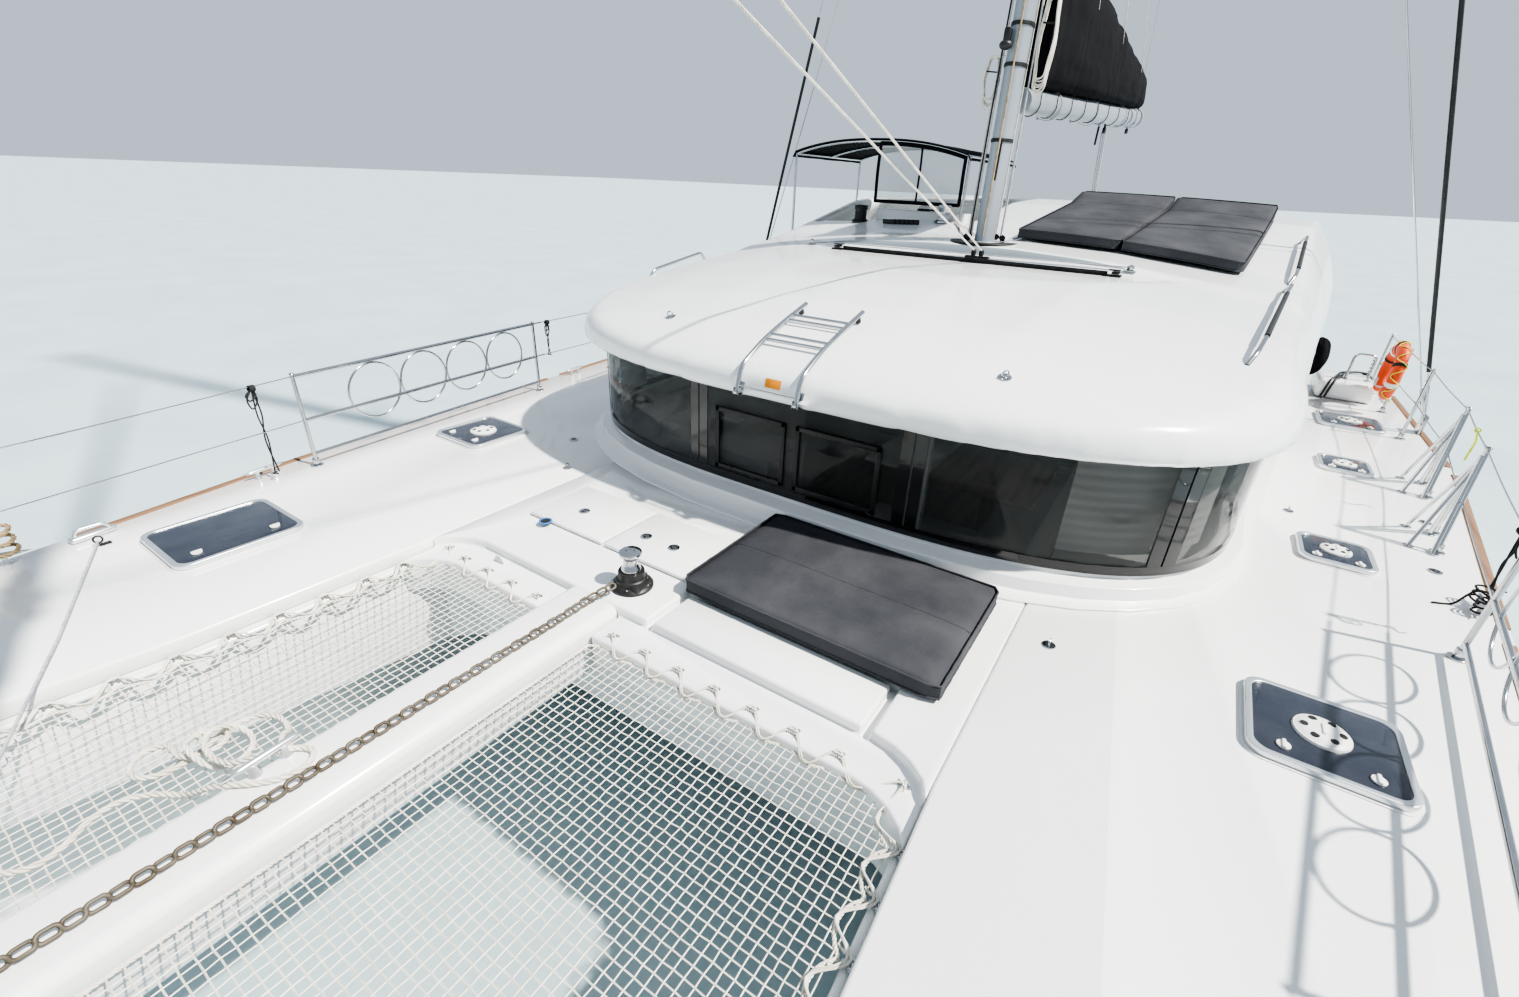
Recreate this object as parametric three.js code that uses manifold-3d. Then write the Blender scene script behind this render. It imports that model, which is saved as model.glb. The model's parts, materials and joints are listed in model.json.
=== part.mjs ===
// Sailing catamaran, afloat at her light load: two hulls, bridgedeck and saloon, rig and deck gear.
// Millimetres. +X is towards the bows, +Y to port, +Z up. The origin is amidships on the waterline.
import * as THREE from "three";
import { mergeVertices } from "three/addons/utils/BufferGeometryUtils.js";
import Module from "manifold-3d";

const wasm = await Module();
wasm.setup();

// Driving dimensions
const GAP = 0.4; // between fixed pieces that touch
const SWING = 6; // between a moving piece and what it clears
const BOW_X = 6400;
const STERN_X = -6400;
const DRAFT = 1250;
const MASTHEAD_Z = 20650;
const DECK_Z = 1650;
const DECK_THICK = 80;
const HULL_TOP_Z = DECK_Z - DECK_THICK - GAP;
const FLOOR_Z = 950;
const BRIDGE_Z = 760;
const CENTRE_HALF = 1450; // half width between the hulls' inner walls
const COCKPIT_X = -4700; // aft end of the bridgedeck
const BULKHEAD_X = -1500; // aft face of the saloon
const FOREDECK_X = 3410; // front of the foredeck
const LEDGE_X = 3600; // front of the ledge below it, where the nets begin
const LEDGE_Z = 1598;
const BEAM_X = 5650; // crossbeam between the bows
const BEAM_Z = 1553;
const SPINE_Y = -335; // the centre beam lies to starboard
const SPINE_HALF = 165;
const SILL_Z = 1780;
const HEAD_Z = 2480;
const WALL_TOP_Z = 2500;
const WALL_THICK = 60;
const LIP_Z = 2420;
const MAST_X = -1100;
const BOOM_Z = 4220;
const BOOM_END = { x: -5520, y: 410, z: 4430 };
const CHAINPLATE = { x: -3000, y: 3790 };
const SPREADER = { x: -1720, y: 900, z: 10500 };
const HOUNDS_Z = 17600;

// Colours, roughness and metalness of each finish
const FINISHES = {
  gelcoat: [0xf2f3f1, 0.3, 0],
  antifoul: [0x27313d, 0.8, 0],
  alloy: [0xc4c8cc, 0.4, 0.9],
  steel: [0xd8dadd, 0.2, 1],
  glass: [0x2a2f33, 0.1, 0],
  acrylic: [0x1b2026, 0.15, 0],
  fabric: [0x4a4d54, 0.9, 0],
  black: [0x17181a, 0.8, 0],
  net: [0xd9d4c8, 0.8, 0],
  chain: [0x8d8b86, 0.6, 0.8],
  bronze: [0x9a7a45, 0.4, 1],
  cloth: [0xe9e7e0, 0.8, 0],
  orange: [0xe0502a, 0.7, 0],
};
const materials = {};
for (const [name, [color, roughness, metalness]] of Object.entries(FINISHES)) {
  materials[name] = { color, roughness, metalness };
}

const catamaran = new THREE.Group();

// A closed three.js geometry as a solid that can be joined and cut.
function solid(geometry) {
  const bare = new THREE.BufferGeometry();
  bare.setAttribute("position", geometry.getAttribute("position").clone());
  if (geometry.index) {
    bare.setIndex(geometry.index.clone());
  }
  const merged = mergeVertices(bare, 1e-3);
  const made = new wasm.Manifold(
    new wasm.Mesh({
      numProp: 3,
      vertProperties: merged.attributes.position.array,
      triVerts: new Uint32Array(merged.index.array),
    }),
  );
  return made;
}

// One named piece of the boat.
function add(name, made, finish) {
  const data = made.getMesh();
  const geometry = new THREE.BufferGeometry();
  geometry.setAttribute("position", new THREE.BufferAttribute(data.vertProperties, 3));
  geometry.setIndex(new THREE.BufferAttribute(data.triVerts, 1));
  const mesh = new THREE.Mesh(geometry, new THREE.MeshStandardMaterial(materials[finish]));
  mesh.name = name;
  catamaran.add(mesh);
}

const join = (list) => list.reduce((all, next) => all.add(next));
const cut = (body, list) => list.reduce((left, next) => left.subtract(next), body);
const lerp = (a, b, t) => a + (b - a) * t;
const v3 = (x, y, z) => new THREE.Vector3(x, y, z);

function box(x0, x1, y0, y1, z0, z1) {
  const geometry = new THREE.BoxGeometry(x1 - x0, Math.abs(y1 - y0), z1 - z0);
  geometry.translate((x0 + x1) / 2, (y0 + y1) / 2, (z0 + z1) / 2);
  return solid(geometry);
}

// A plan outline of [x, y] points raised from z0 to z1.
function slab(points, z0, z1) {
  const shape = new THREE.Shape(points.map(([x, y]) => new THREE.Vector2(x, y)));
  const geometry = new THREE.ExtrudeGeometry(shape, { depth: z1 - z0, bevelEnabled: false });
  geometry.translate(0, 0, z0);
  return solid(geometry);
}

// A side outline of [x, z] points carried across from y0 to y1.
function profile(points, y0, y1) {
  const shape = new THREE.Shape(points.map(([x, z]) => new THREE.Vector2(x, z)));
  const geometry = new THREE.ExtrudeGeometry(shape, { depth: y1 - y0, bevelEnabled: false });
  geometry.rotateX(Math.PI / 2);
  geometry.translate(0, y1, 0);
  return solid(geometry);
}

// A cross outline of [y, z] points carried along from x0 to x1.
function section(points, x0, x1) {
  const shape = new THREE.Shape(points.map(([y, z]) => new THREE.Vector2(y, z)));
  const geometry = new THREE.ExtrudeGeometry(shape, { depth: x1 - x0, bevelEnabled: false });
  geometry.applyMatrix4(new THREE.Matrix4().makeBasis(v3(0, 1, 0), v3(0, 0, 1), v3(1, 0, 0)));
  geometry.translate(x0, 0, 0);
  return solid(geometry);
}

// A round bar, or a cone, between two points.
function bar(a, b, radius, sides = 8, radiusB = radius) {
  const way = b.clone().sub(a);
  const geometry = new THREE.CylinderGeometry(radiusB, radius, way.length(), sides);
  geometry.applyQuaternion(
    new THREE.Quaternion().setFromUnitVectors(v3(0, 1, 0), way.normalize()),
  );
  geometry.translate((a.x + b.x) / 2, (a.y + b.y) / 2, (a.z + b.z) / 2);
  return solid(geometry);
}

// Bars from point to point, each run on a little past its bends.
function chainOfBars(points, radius, sides = 8) {
  const last = points.length - 1;
  return join(
    points.slice(1).map((p, i) => {
      const from = points[i].clone();
      const to = p.clone();
      const past = to.clone().sub(from).normalize().multiplyScalar(radius * 0.5);
      return bar(i > 0 ? from.sub(past) : from, i + 1 < last ? to.add(past) : to, radius, sides);
    }),
  );
}

// A skin through equal rings of points, closed at both ends.
function loft(rings) {
  const count = rings[0].length;
  const points = rings.flat();
  const index = [];
  for (let r = 0; r + 1 < rings.length; r += 1) {
    for (let i = 0; i < count; i += 1) {
      const a = r * count + i;
      const b = r * count + ((i + 1) % count);
      index.push(a, b, b + count, a, b + count, a + count);
    }
  }
  // Each cap is a fan about a point in its middle.
  const cap = (r, followsRing) => {
    const middle = rings[r].reduce((sum, p) => sum.add(p), v3(0, 0, 0)).divideScalar(count);
    points.push(middle);
    const hub = points.length - 1;
    for (let i = 0; i < count; i += 1) {
      const a = r * count + i;
      const b = r * count + ((i + 1) % count);
      index.push(...(followsRing ? [hub, a, b] : [hub, b, a]));
    }
  };
  cap(0, false);
  cap(rings.length - 1, true);
  const build = (order) => {
    const geometry = new THREE.BufferGeometry();
    const flat = points.flatMap((p) => [p.x, p.y, p.z]);
    geometry.setAttribute("position", new THREE.Float32BufferAttribute(flat, 3));
    geometry.setIndex(order);
    return solid(geometry);
  };
  const made = build(index);
  return made.volume() > 0 ? made : build([...index].reverse());
}

// Straight-line reading of a table whose first column falls from row to row.
function reading(table, x, column) {
  const last = table.length - 1;
  if (x >= table[0][0]) {
    return table[0][column];
  }
  if (x <= table[last][0]) {
    return table[last][column];
  }
  const row = table.findIndex(([at]) => at <= x);
  const t = (table[row - 1][0] - x) / (table[row - 1][0] - table[row][0]);
  return lerp(table[row - 1][column], table[row][column], t);
}

// Port hull, station by station. Columns: x, bottom z, deck edge outboard y, waterline outboard y,
// waterline inboard y, height of the inboard haunch, deck edge inboard y
const STATIONS = [
  [BOW_X, 300, 2545, 2480, 2420, 1100, 2365],
  [6250, -250, 2620, 2500, 2400, 1080, 2280],
  [5650, -450, 2795, 2640, 2330, 1040, 1720],
  [5250, -510, 2865, 2730, 2300, 1020, 1570],
  [4700, -560, 2955, 2840, 2270, 1000, 1500],
  [3500, -640, 3190, 3050, 2230, 900, CENTRE_HALF],
  [1000, -680, 3500, 3300, 2200, 700, CENTRE_HALF],
  [-1700, -640, 3840, 3420, 2190, 700, CENTRE_HALF],
  [-4000, -500, 3850, 3440, 2200, 700, CENTRE_HALF],
  [COCKPIT_X, -430, 3850, 3440, 2200, 700, CENTRE_HALF],
  [-4850, -415, 3850, 3440, 2210, 760, 2000],
  [STERN_X, -60, 3800, 3400, 2260, 760, 2060],
];
const OUT_DECK = 2;
const IN_DECK = 6;
const FLANGE = 22; // the deck's edge stands this far out over the topside

function hullRing([x, bottom, outDeck, outWater, inWater, haunch, inDeck], side) {
  const middle = (outWater + inWater) / 2;
  const half = (outWater - inWater) / 2;
  const top = HULL_TOP_Z;
  const shoulder = Math.max(bottom + 40, -60);
  const points = [
    [outDeck - FLANGE, top],
    [lerp(outWater, outDeck, 0.7) - FLANGE, 1020],
    [outWater, 420],
    [middle + half * 0.94, shoulder],
    [middle + half * 0.62, lerp(shoulder, bottom, 0.72)],
    [middle, bottom],
    [middle - half * 0.62, lerp(shoulder, bottom, 0.72)],
    [middle - half * 0.94, shoulder],
    [inWater, 420],
    [inWater, haunch - 120],
    [inDeck, haunch + 60],
    [inDeck, top],
  ];
  return points.map(([y, z]) => v3(x, side * y, z));
}

// Stern steps. Columns: x where the step begins, its height
const STEPS = [
  [COCKPIT_X - 40, 1330],
  [-5080, 1080],
  [-5400, 830],
  [-5720, 580],
  [-6000, 340],
];
const COAMING = 190; // width left standing outboard of the steps

function sternCuts(side) {
  const cuts = STEPS.map(([x, z], i) => {
    const next = i + 1 < STEPS.length ? STEPS[i + 1][0] : STERN_X - 100;
    const outer = side * (3800 - COAMING);
    return box(next, x, Math.min(0, outer), Math.max(0, outer), z, HULL_TOP_Z + 100);
  });
  const slope = [
    [COCKPIT_X - 40, HULL_TOP_Z + 200],
    [COCKPIT_X - 40, HULL_TOP_Z - 10],
    [-5500, 1330],
    [STERN_X - 50, 560],
    [STERN_X - 50, HULL_TOP_Z + 200],
  ];
  const outer = side > 0 ? [0, 4000] : [-4000, 0];
  cuts.push(profile(slope, ...outer));
  return cuts;
}

// Deck hatches of the port side. Columns: name, x aft, x forward, y inboard, y outboard
const HATCHES = [
  ["bow", 3920, 4520, 2080, 2640],
  ["fore", 2160, 2660, 2370, 2890],
  ["mid", 310, 690, 2660, 3030],
  ["side", -1560, -1180, 2910, 3250],
  ["aft", -3120, -2620, 3020, 3520],
];
const LID_THICK = 26;
const LID_Z = DECK_Z + SWING;
const WELL_INSET = 45;
const WELL_DEPTH = 320;

function wellCut([, x0, x1, y0, y1], side, floor) {
  const low = side * (y0 + WELL_INSET);
  const high = side * (y1 - WELL_INSET);
  const [a, b] = [Math.min(low, high), Math.max(low, high)];
  return box(x0 + WELL_INSET, x1 - WELL_INSET, a, b, floor, DECK_Z + 50);
}

// Engine, its leg through the hull bottom, and the bay that holds them
const ENGINE = { x0: -4350, x1: -3550, half: 270, z0: -210, z1: 430 };
const BAY_ROOM = 90;
const LEG_X = -3950;
const LEG = { chord: 300, half: 60, bottom: -960 };
const SHAFT_Z = -840;
const hullMiddle = (x) => (reading(STATIONS, x, 3) + reading(STATIONS, x, 4)) / 2;
const RUDDER = { x: -5000, stock: 38, top: -460, bottom: -1190, fore: 150, aft: 420 };

function makeHull(side, name) {
  const y = side * hullMiddle(LEG_X);
  const bay = box(
    ENGINE.x0 - BAY_ROOM,
    ENGINE.x1 + BAY_ROOM,
    y - ENGINE.half - BAY_ROOM,
    y + ENGINE.half + BAY_ROOM,
    ENGINE.z0 - 30,
    HULL_TOP_Z + 50,
  );
  const legHole = box(
    LEG_X - LEG.chord / 2 - 20,
    LEG_X + LEG.chord / 2 + 20,
    y - LEG.half - 20,
    y + LEG.half + 20,
    -700,
    0,
  );
  const rudderY = side * hullMiddle(RUDDER.x);
  const stockHole = bar(
    v3(RUDDER.x, rudderY, -700),
    v3(RUDDER.x, rudderY, -120),
    RUDDER.stock + SWING,
    12,
  );
  const wells = HATCHES.map((row) => wellCut(row, side, DECK_Z - WELL_DEPTH));
  const shell = loft(STATIONS.map((row) => hullRing(row, side)));
  const hull = cut(shell, [...sternCuts(side), ...wells, bay, legHole, stockHole]);
  add("hull_" + name, hull, "gelcoat");
  return hull;
}

function deckOutline(side, from, to) {
  const rows = STATIONS.filter(([x]) => x <= from && x >= to);
  const outer = rows.map((row) => [row[0], side * row[OUT_DECK]]);
  const inner = rows.map((row) => [row[0], side * (row[IN_DECK] + GAP)]);
  return [...outer, ...inner.reverse()];
}

function makeDeck(side, name) {
  const plate = slab(deckOutline(side, BOW_X, COCKPIT_X), DECK_Z - DECK_THICK, DECK_Z);
  const wells = HATCHES.map((row) => wellCut(row, side, 0));
  const deck = cut(plate, wells);
  add("deck_" + name, deck, "gelcoat");
  return deck;
}

// A blade of a given outline: rows of z, leading edge x, trailing edge x, half thickness.
function blade(rows, y) {
  return loft(
    rows.map(([z, fore, aft, half]) => {
      const chord = fore - aft;
      return [
        v3(fore, y, z),
        v3(fore - chord * 0.12, y + half * 0.8, z),
        v3(fore - chord * 0.35, y + half, z),
        v3(aft, y + half * 0.12, z),
        v3(aft, y - half * 0.12, z),
        v3(fore - chord * 0.35, y - half, z),
        v3(fore - chord * 0.12, y - half * 0.8, z),
      ];
    }),
  );
}

function makeKeel(side, name, hull) {
  const y = side * hullMiddle(400);
  const rows = [
    [-400, 1900, -1100, 190],
    [-800, 1800, -1020, 170],
    [-DRAFT, 1500, -900, 130],
  ];
  const keel = cut(blade(rows, y), [hull]);
  add("keel_" + name, keel.translate([0, 0, -GAP]), "antifoul");
}

function makeRudder(side, name) {
  const y = side * hullMiddle(RUDDER.x);
  const rows = [
    [RUDDER.top, RUDDER.x + RUDDER.fore, RUDDER.x - RUDDER.aft, 55],
    [RUDDER.bottom, RUDDER.x + RUDDER.fore - 40, RUDDER.x - RUDDER.aft + 90, 40],
  ];
  const stock = bar(v3(RUDDER.x, y, RUDDER.top - 60), v3(RUDDER.x, y, -140), RUDDER.stock, 12);
  add("rudder_" + name, join([blade(rows, y), stock]), "antifoul");
}

function makeDrive(side, name) {
  const y = side * hullMiddle(LEG_X);
  const block = box(
    ENGINE.x0,
    ENGINE.x1,
    y - ENGINE.half,
    y + ENGINE.half,
    ENGINE.z0,
    ENGINE.z1,
  );
  const half = LEG.chord / 2;
  const leg = blade(
    [
      [ENGINE.z0 + 60, LEG_X + half, LEG_X - half, LEG.half],
      [LEG.bottom, LEG_X + half - 40, LEG_X - half + 60, LEG.half * 0.7],
    ],
    y,
  );
  const pod = bar(v3(LEG_X - half - 20, y, SHAFT_Z), v3(LEG_X + half, y, SHAFT_Z), 62, 10, 40);
  add("drive_" + name, join([block, leg, pod]), "antifoul");
}

const PROPELLER = { x: LEG_X - LEG.chord / 2 - 75, radius: 235, hub: 48, blades: 3 };

function makePropeller(side, name) {
  const y = side * hullMiddle(LEG_X);
  const hub = bar(
    v3(PROPELLER.x - 60, y, SHAFT_Z),
    v3(PROPELLER.x + 45, y, SHAFT_Z),
    PROPELLER.hub * 0.6,
    10,
    PROPELLER.hub,
  );
  const reach = (PROPELLER.radius - PROPELLER.hub * 0.5) / 2;
  const blades = [];
  for (let i = 0; i < PROPELLER.blades; i += 1) {
    const geometry = new THREE.CylinderGeometry(reach, reach, 14, 10);
    geometry.rotateZ(Math.PI / 2);
    geometry.scale(1, 0.72, 1);
    geometry.translate(0, 0, PROPELLER.radius - reach);
    geometry.rotateZ(side * 0.55);
    geometry.rotateX((i * 2 * Math.PI) / PROPELLER.blades);
    geometry.translate(PROPELLER.x, y, SHAFT_Z);
    blades.push(solid(geometry));
  }
  add("propeller_" + name, join([hub, ...blades]), "bronze");
}

const SIDES = [
  [1, "port"],
  [-1, "starboard"],
];
const sideWalls = []; // hulls and decks, moved in by the gap to trim what runs between them
for (const [side, name] of SIDES) {
  const hull = makeHull(side, name);
  const deck = makeDeck(side, name);
  sideWalls.push(hull.translate([0, -side * GAP, 0]), deck.translate([0, -side * GAP, 0]));
  makeKeel(side, name, hull);
  makeRudder(side, name);
  makeDrive(side, name);
  makePropeller(side, name);
}

// Hinged hatch lids
for (const [side, sideName] of SIDES) {
  for (const [name, x0, x1, y0, y1] of HATCHES) {
    const lid = box(x0, x1, side * y0, side * y1, LID_Z, LID_Z + LID_THICK);
    add("hatch_" + name + "_" + sideName, lid, "acrylic");
  }
}

// Half-breadths of the cabin in plan: a blunt superellipse at the front, then a straight taper.
// Columns of each row: front x, half-breadth where the round begins, power
const ROUND_X = 400;
const FLARE = 0.118;
const PLANS = {
  curb: [2350, 2440, 2.8],
  step: [2220, 2380, 3],
  wall: [2090, 2300, 3.2],
  roof: [2330, 2420, 3],
};

function planOutline([front, half, power], inset, aft, steps = 10) {
  const points = [];
  const reach = front - inset - ROUND_X;
  const breadth = half - inset;
  for (let i = 0; i <= steps; i += 1) {
    const angle = (i / steps) * (Math.PI / 2);
    const along = Math.cos(angle) ** (2 / power);
    const across = Math.sin(angle) ** (2 / power);
    points.push([ROUND_X + reach * along, breadth * across]);
  }
  points.push([aft, breadth + FLARE * (ROUND_X - aft)]);
  const mirrored = points.slice(1).map(([x, y]) => [x, -y]);
  return [...points.reverse(), ...mirrored];
}

// Roof surface. Columns: x, crown z, fall of the surface one metre off the middle line
const CROWN = [
  [2330, 2560, 36],
  [2200, 2650, 36],
  [1950, 2750, 36],
  [1400, 2860, 36],
  [600, 2970, 36],
  [-500, 3060, 36],
  [-760, 3095, 35],
  [-1400, 3130, 28],
  [-3400, 3400, 12],
  [-4300, 3460, 12],
];
const roofZ = (x, y) => reading(CROWN, x, 1) - reading(CROWN, x, 2) * (y / 1000) ** 2;

// Cabin walls with the window band cut out between posts
const POST_HALF = 60;
const SIDE_GLASS_X = 250;
// Posts between the panes: columns x, y of the wall's outer face there
const POSTS = [
  [2080, 760],
  [1700, 2010],
];
const DOOR = { y0: 0, y1: 1250, z0: 1000, z1: 2840, room: 40 };
const BULKHEAD = { half: 1900, top: 2900, thick: 60 };

function makeCabin() {
  const tall = slab(planOutline(PLANS.wall, 0, BULKHEAD_X), DECK_Z + GAP, WALL_TOP_Z);
  const hollow = slab(
    planOutline(PLANS.wall, WALL_THICK, BULKHEAD_X - 10),
    DECK_Z - 10,
    WALL_TOP_Z + 10,
  );
  const curb = slab(planOutline(PLANS.curb, 0, -3400), DECK_Z + GAP, DECK_Z + 14);
  const step = slab(planOutline(PLANS.step, 0, BULKHEAD_X), DECK_Z + GAP, DECK_Z + 90);
  const inside = slab(
    planOutline(PLANS.wall, WALL_THICK, BULKHEAD_X - 10),
    DECK_Z - 10,
    DECK_Z + 100,
  );
  const cockpit = box(-3500, BULKHEAD_X - 0.5, -2420, 2420, DECK_Z - 10, DECK_Z + 100);
  const band = box(SIDE_GLASS_X, 2500, -2600, 2600, SILL_Z, HEAD_Z - 10);
  const posts = [];
  for (const [side] of SIDES) {
    for (const [x, y] of POSTS) {
      const angle = y > 1500 ? 0.95 : 0.05;
      const geometry = new THREE.BoxGeometry(WALL_THICK * 2.4, POST_HALF * 2, HEAD_Z - SILL_Z + 40);
      geometry.rotateZ(side * angle);
      geometry.translate(x - 20, side * (y - 15), (SILL_Z + HEAD_Z) / 2);
      posts.push(solid(geometry));
    }
  }
  const ring = cut(tall, [hollow]);
  const bars = join(posts).intersect(ring);
  const glazed = cut(ring, [band]).add(bars);
  const rim = cut(join([curb, step]), [inside, cockpit]);
  const wide = box(
    BULKHEAD_X - BULKHEAD.thick,
    BULKHEAD_X,
    -2500,
    2500,
    DECK_Z + GAP,
    WALL_TOP_Z,
  );
  const high = box(
    BULKHEAD_X - BULKHEAD.thick,
    BULKHEAD_X,
    -BULKHEAD.half,
    BULKHEAD.half,
    DECK_Z + GAP,
    BULKHEAD.top,
  );
  const low = box(
    BULKHEAD_X - BULKHEAD.thick,
    BULKHEAD_X,
    -CENTRE_HALF + GAP,
    CENTRE_HALF - GAP,
    FLOOR_Z + GAP,
    DECK_Z + 10,
  );
  const doorway = box(
    BULKHEAD_X - 200,
    BULKHEAD_X + 50,
    DOOR.y0 + DOOR.room,
    DOOR.y1 - DOOR.room,
    DOOR.z0 + DOOR.room,
    DOOR.z1 - DOOR.room,
  );
  const hatchway = box(BULKHEAD_X - 200, BULKHEAD_X + 50, -1220, -80, 1950, 2780);
  const bulkhead = cut(join([wide, high, low]), [doorway, hatchway]);
  add("cabin_walls", join([glazed, rim, bulkhead]), "gelcoat");
}
makeCabin();

// Bonded glass outside the posts: a centre pane and one wrapped round each corner
const GLASS_THICK = 8;
const GLASS_LAP = 12;
function makeGlass() {
  const outer = planOutline(PLANS.wall, -GLASS_THICK - GAP, SIDE_GLASS_X - 40);
  const inner = planOutline(PLANS.wall, -GAP, SIDE_GLASS_X - 100);
  const band = cut(slab(outer, SILL_Z - GLASS_LAP, HEAD_Z - GLASS_LAP), [
    slab(inner, SILL_Z - 50, HEAD_Z + 50),
  ]);
  const split = POSTS[0][1];
  const centre = box(1500, 2500, -split + 3, split - 3, 1500, 2700);
  const port = box(-500, 2500, split + 3, 3000, 1500, 2700);
  const starboard = box(-500, 2500, -3000, -split - 3, 1500, 2700);
  add("glass_centre", band.intersect(centre), "glass");
  add("glass_port", band.intersect(port), "glass");
  add("glass_starboard", band.intersect(starboard), "glass");
}
makeGlass();

// Sliding door on the aft side of the bulkhead
const DOOR_X = BULKHEAD_X - BULKHEAD.thick - SWING;
function makeDoor() {
  const panel = box(DOOR_X - 34, DOOR_X, DOOR.y0, DOOR.y1, DOOR.z0, DOOR.z1);
  const pane = box(
    DOOR_X - 60,
    DOOR_X - 10,
    DOOR.y0 + 90,
    DOOR.y1 - 90,
    DOOR.z0 + 120,
    DOOR.z1 - 120,
  );
  add("saloon_door", cut(panel, [pane]), "glass");
}
makeDoor();

// Bridgedeck: floor, moulded seats, galley block and tables
function makeBridgedeck() {
  const half = CENTRE_HALF - GAP;
  const nose = [
    [3380, FLOOR_Z],
    [3380, FLOOR_Z - 60],
    [2900, BRIDGE_Z],
    [COCKPIT_X + 80, BRIDGE_Z],
    [COCKPIT_X, BRIDGE_Z + 60],
    [COCKPIT_X, FLOOR_Z],
  ];
  // Moulded blocks on the floor. Columns: x0, x1, y0, y1, top z
  const blocks = [
    [COCKPIT_X, COCKPIT_X + 90, -half, half, 1640],
    [COCKPIT_X, -4080, -half, 700, 1370],
    [-2900, -1900, 900, half, 1370],
    [1000, 1850, 150, half, 1370],
    [-300, 1000, 900, half, 1370],
    [-1250, 500, -half, -820, 1850],
    [1250, 1850, -half, -500, 1720],
  ];
  // Tables: columns x0, x1, y0, y1, top z
  const tables = [
    [-3750, -3000, -300, 750, 1650],
    [80, 880, -60, 700, 1640],
  ];
  const pieces = [profile(nose, -half, half)];
  for (const [x0, x1, y0, y1, top] of blocks) {
    pieces.push(box(x0, x1, y0, y1, FLOOR_Z - 20, top));
  }
  for (const [x0, x1, y0, y1, top] of tables) {
    const x = (x0 + x1) / 2;
    const y = (y0 + y1) / 2;
    pieces.push(box(x0, x1, y0, y1, top - 35, top));
    pieces.push(bar(v3(x, y, FLOOR_Z - 20), v3(x, y, top - 20), 60, 10));
  }
  add("bridgedeck", join(pieces), "gelcoat");
}
makeBridgedeck();

// Foredeck lockers: columns name, x aft, x forward, y starboard, y port
const LOCKERS = [
  ["starboard", 2600, 3060, -1250, -650],
  ["centre", 2600, 3060, -630, -30],
];
// Round corner in which the foredeck's front runs out to the side decks. Columns: x forward of the front, y
const SHOULDER = [
  [0, 1190],
  [14, 1270],
  [48, 1345],
  [100, 1410],
  [165, CENTRE_HALF - GAP],
];
// The raised step in front of the cushion, and the groove around it
const STEP_BLOCK = { aft: 3125, y0: 50, y1: 1130, groove: 38 };

// The foredeck's plan with its front at x, on both sides or from y0 to port
function foredeckPlan(aft, front, y0, port, starboard) {
  const half = CENTRE_HALF - GAP;
  const left = SHOULDER.map(([x, y]) => [front + x, y]);
  const right = SHOULDER.map(([x, y]) => [front + x, -y]).reverse();
  return [
    ...(starboard ? [[aft, -half], ...right] : [[aft, y0], [front, y0]]),
    ...(port ? [...left, [aft, half]] : [[front, y0], [aft, y0]]),
  ];
}

function makeForedeck() {
  const block = slab(foredeckPlan(1990, FOREDECK_X, 0, true, true), FLOOR_Z + GAP, DECK_Z);
  const besideSpine = [SPINE_Y - SPINE_HALF - 6, SPINE_Y + SPINE_HALF + 6];
  const ledges = [
    slab(foredeckPlan(3000, LEDGE_X, besideSpine[1], true, false), DECK_Z - 260, LEDGE_Z),
    slab(foredeckPlan(3000, LEDGE_X, besideSpine[0], false, true), DECK_Z - 260, LEDGE_Z),
  ];
  const { aft, y0, y1, groove } = STEP_BLOCK;
  const grooves = [
    box(aft - groove, FOREDECK_X + 1, y0 - groove, y0, LEDGE_Z, DECK_Z + 10),
    box(aft - groove, FOREDECK_X + 1, y1, y1 + groove, LEDGE_Z, DECK_Z + 10),
    box(aft - groove, aft, y0 - groove, y1 + groove, LEDGE_Z, DECK_Z + 10),
  ];
  const wells = LOCKERS.map(([, x0, x1, y0, y1]) =>
    box(x0 + 30, x1 - 30, y0 + 30, y1 - 30, DECK_Z - 450, DECK_Z + 10),
  );
  add("foredeck", cut(join([block, ...ledges]), [...wells, ...grooves]), "gelcoat");
}
makeForedeck();
for (const [name, x0, x1, y0, y1] of LOCKERS) {
  const lid = box(x0, x1, y0, y1, LID_Z - 3, LID_Z - 3 + 22);
  add("locker_lid_" + name, lid, "gelcoat");
}

// Crossbeam with its striker, and the centre beam back to the foredeck
const BEAM_R = 105;
const STRIKER_Z = 2010;
function makeBeams() {
  const reach = reading(STATIONS, BEAM_X + BEAM_R, IN_DECK);
  const tie = reach - 190;
  const beam = bar(v3(BEAM_X, -reach, BEAM_Z), v3(BEAM_X, reach, BEAM_Z), BEAM_R, 14);
  const post = bar(v3(BEAM_X, 0, BEAM_Z), v3(BEAM_X, 0, STRIKER_Z), 32, 8);
  const stay = chainOfBars(
    [v3(BEAM_X, -tie, BEAM_Z + 60), v3(BEAM_X, 0, STRIKER_Z - 30), v3(BEAM_X, tie, BEAM_Z + 60)],
    14,
    6,
  );
  add("crossbeam", cut(join([beam, post, stay]), sideWalls), "alloy");
  const outline = [
    [SPINE_Y - SPINE_HALF, DECK_Z - 30],
    [SPINE_Y - SPINE_HALF + 30, DECK_Z],
    [SPINE_Y + SPINE_HALF - 30, DECK_Z],
    [SPINE_Y + SPINE_HALF, DECK_Z - 30],
    [SPINE_Y + SPINE_HALF - 25, DECK_Z - 290],
    [SPINE_Y - SPINE_HALF + 25, DECK_Z - 290],
  ];
  add("centre_beam", section(outline, FOREDECK_X + GAP, BEAM_X - BEAM_R - GAP), "gelcoat");
}
makeBeams();

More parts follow.
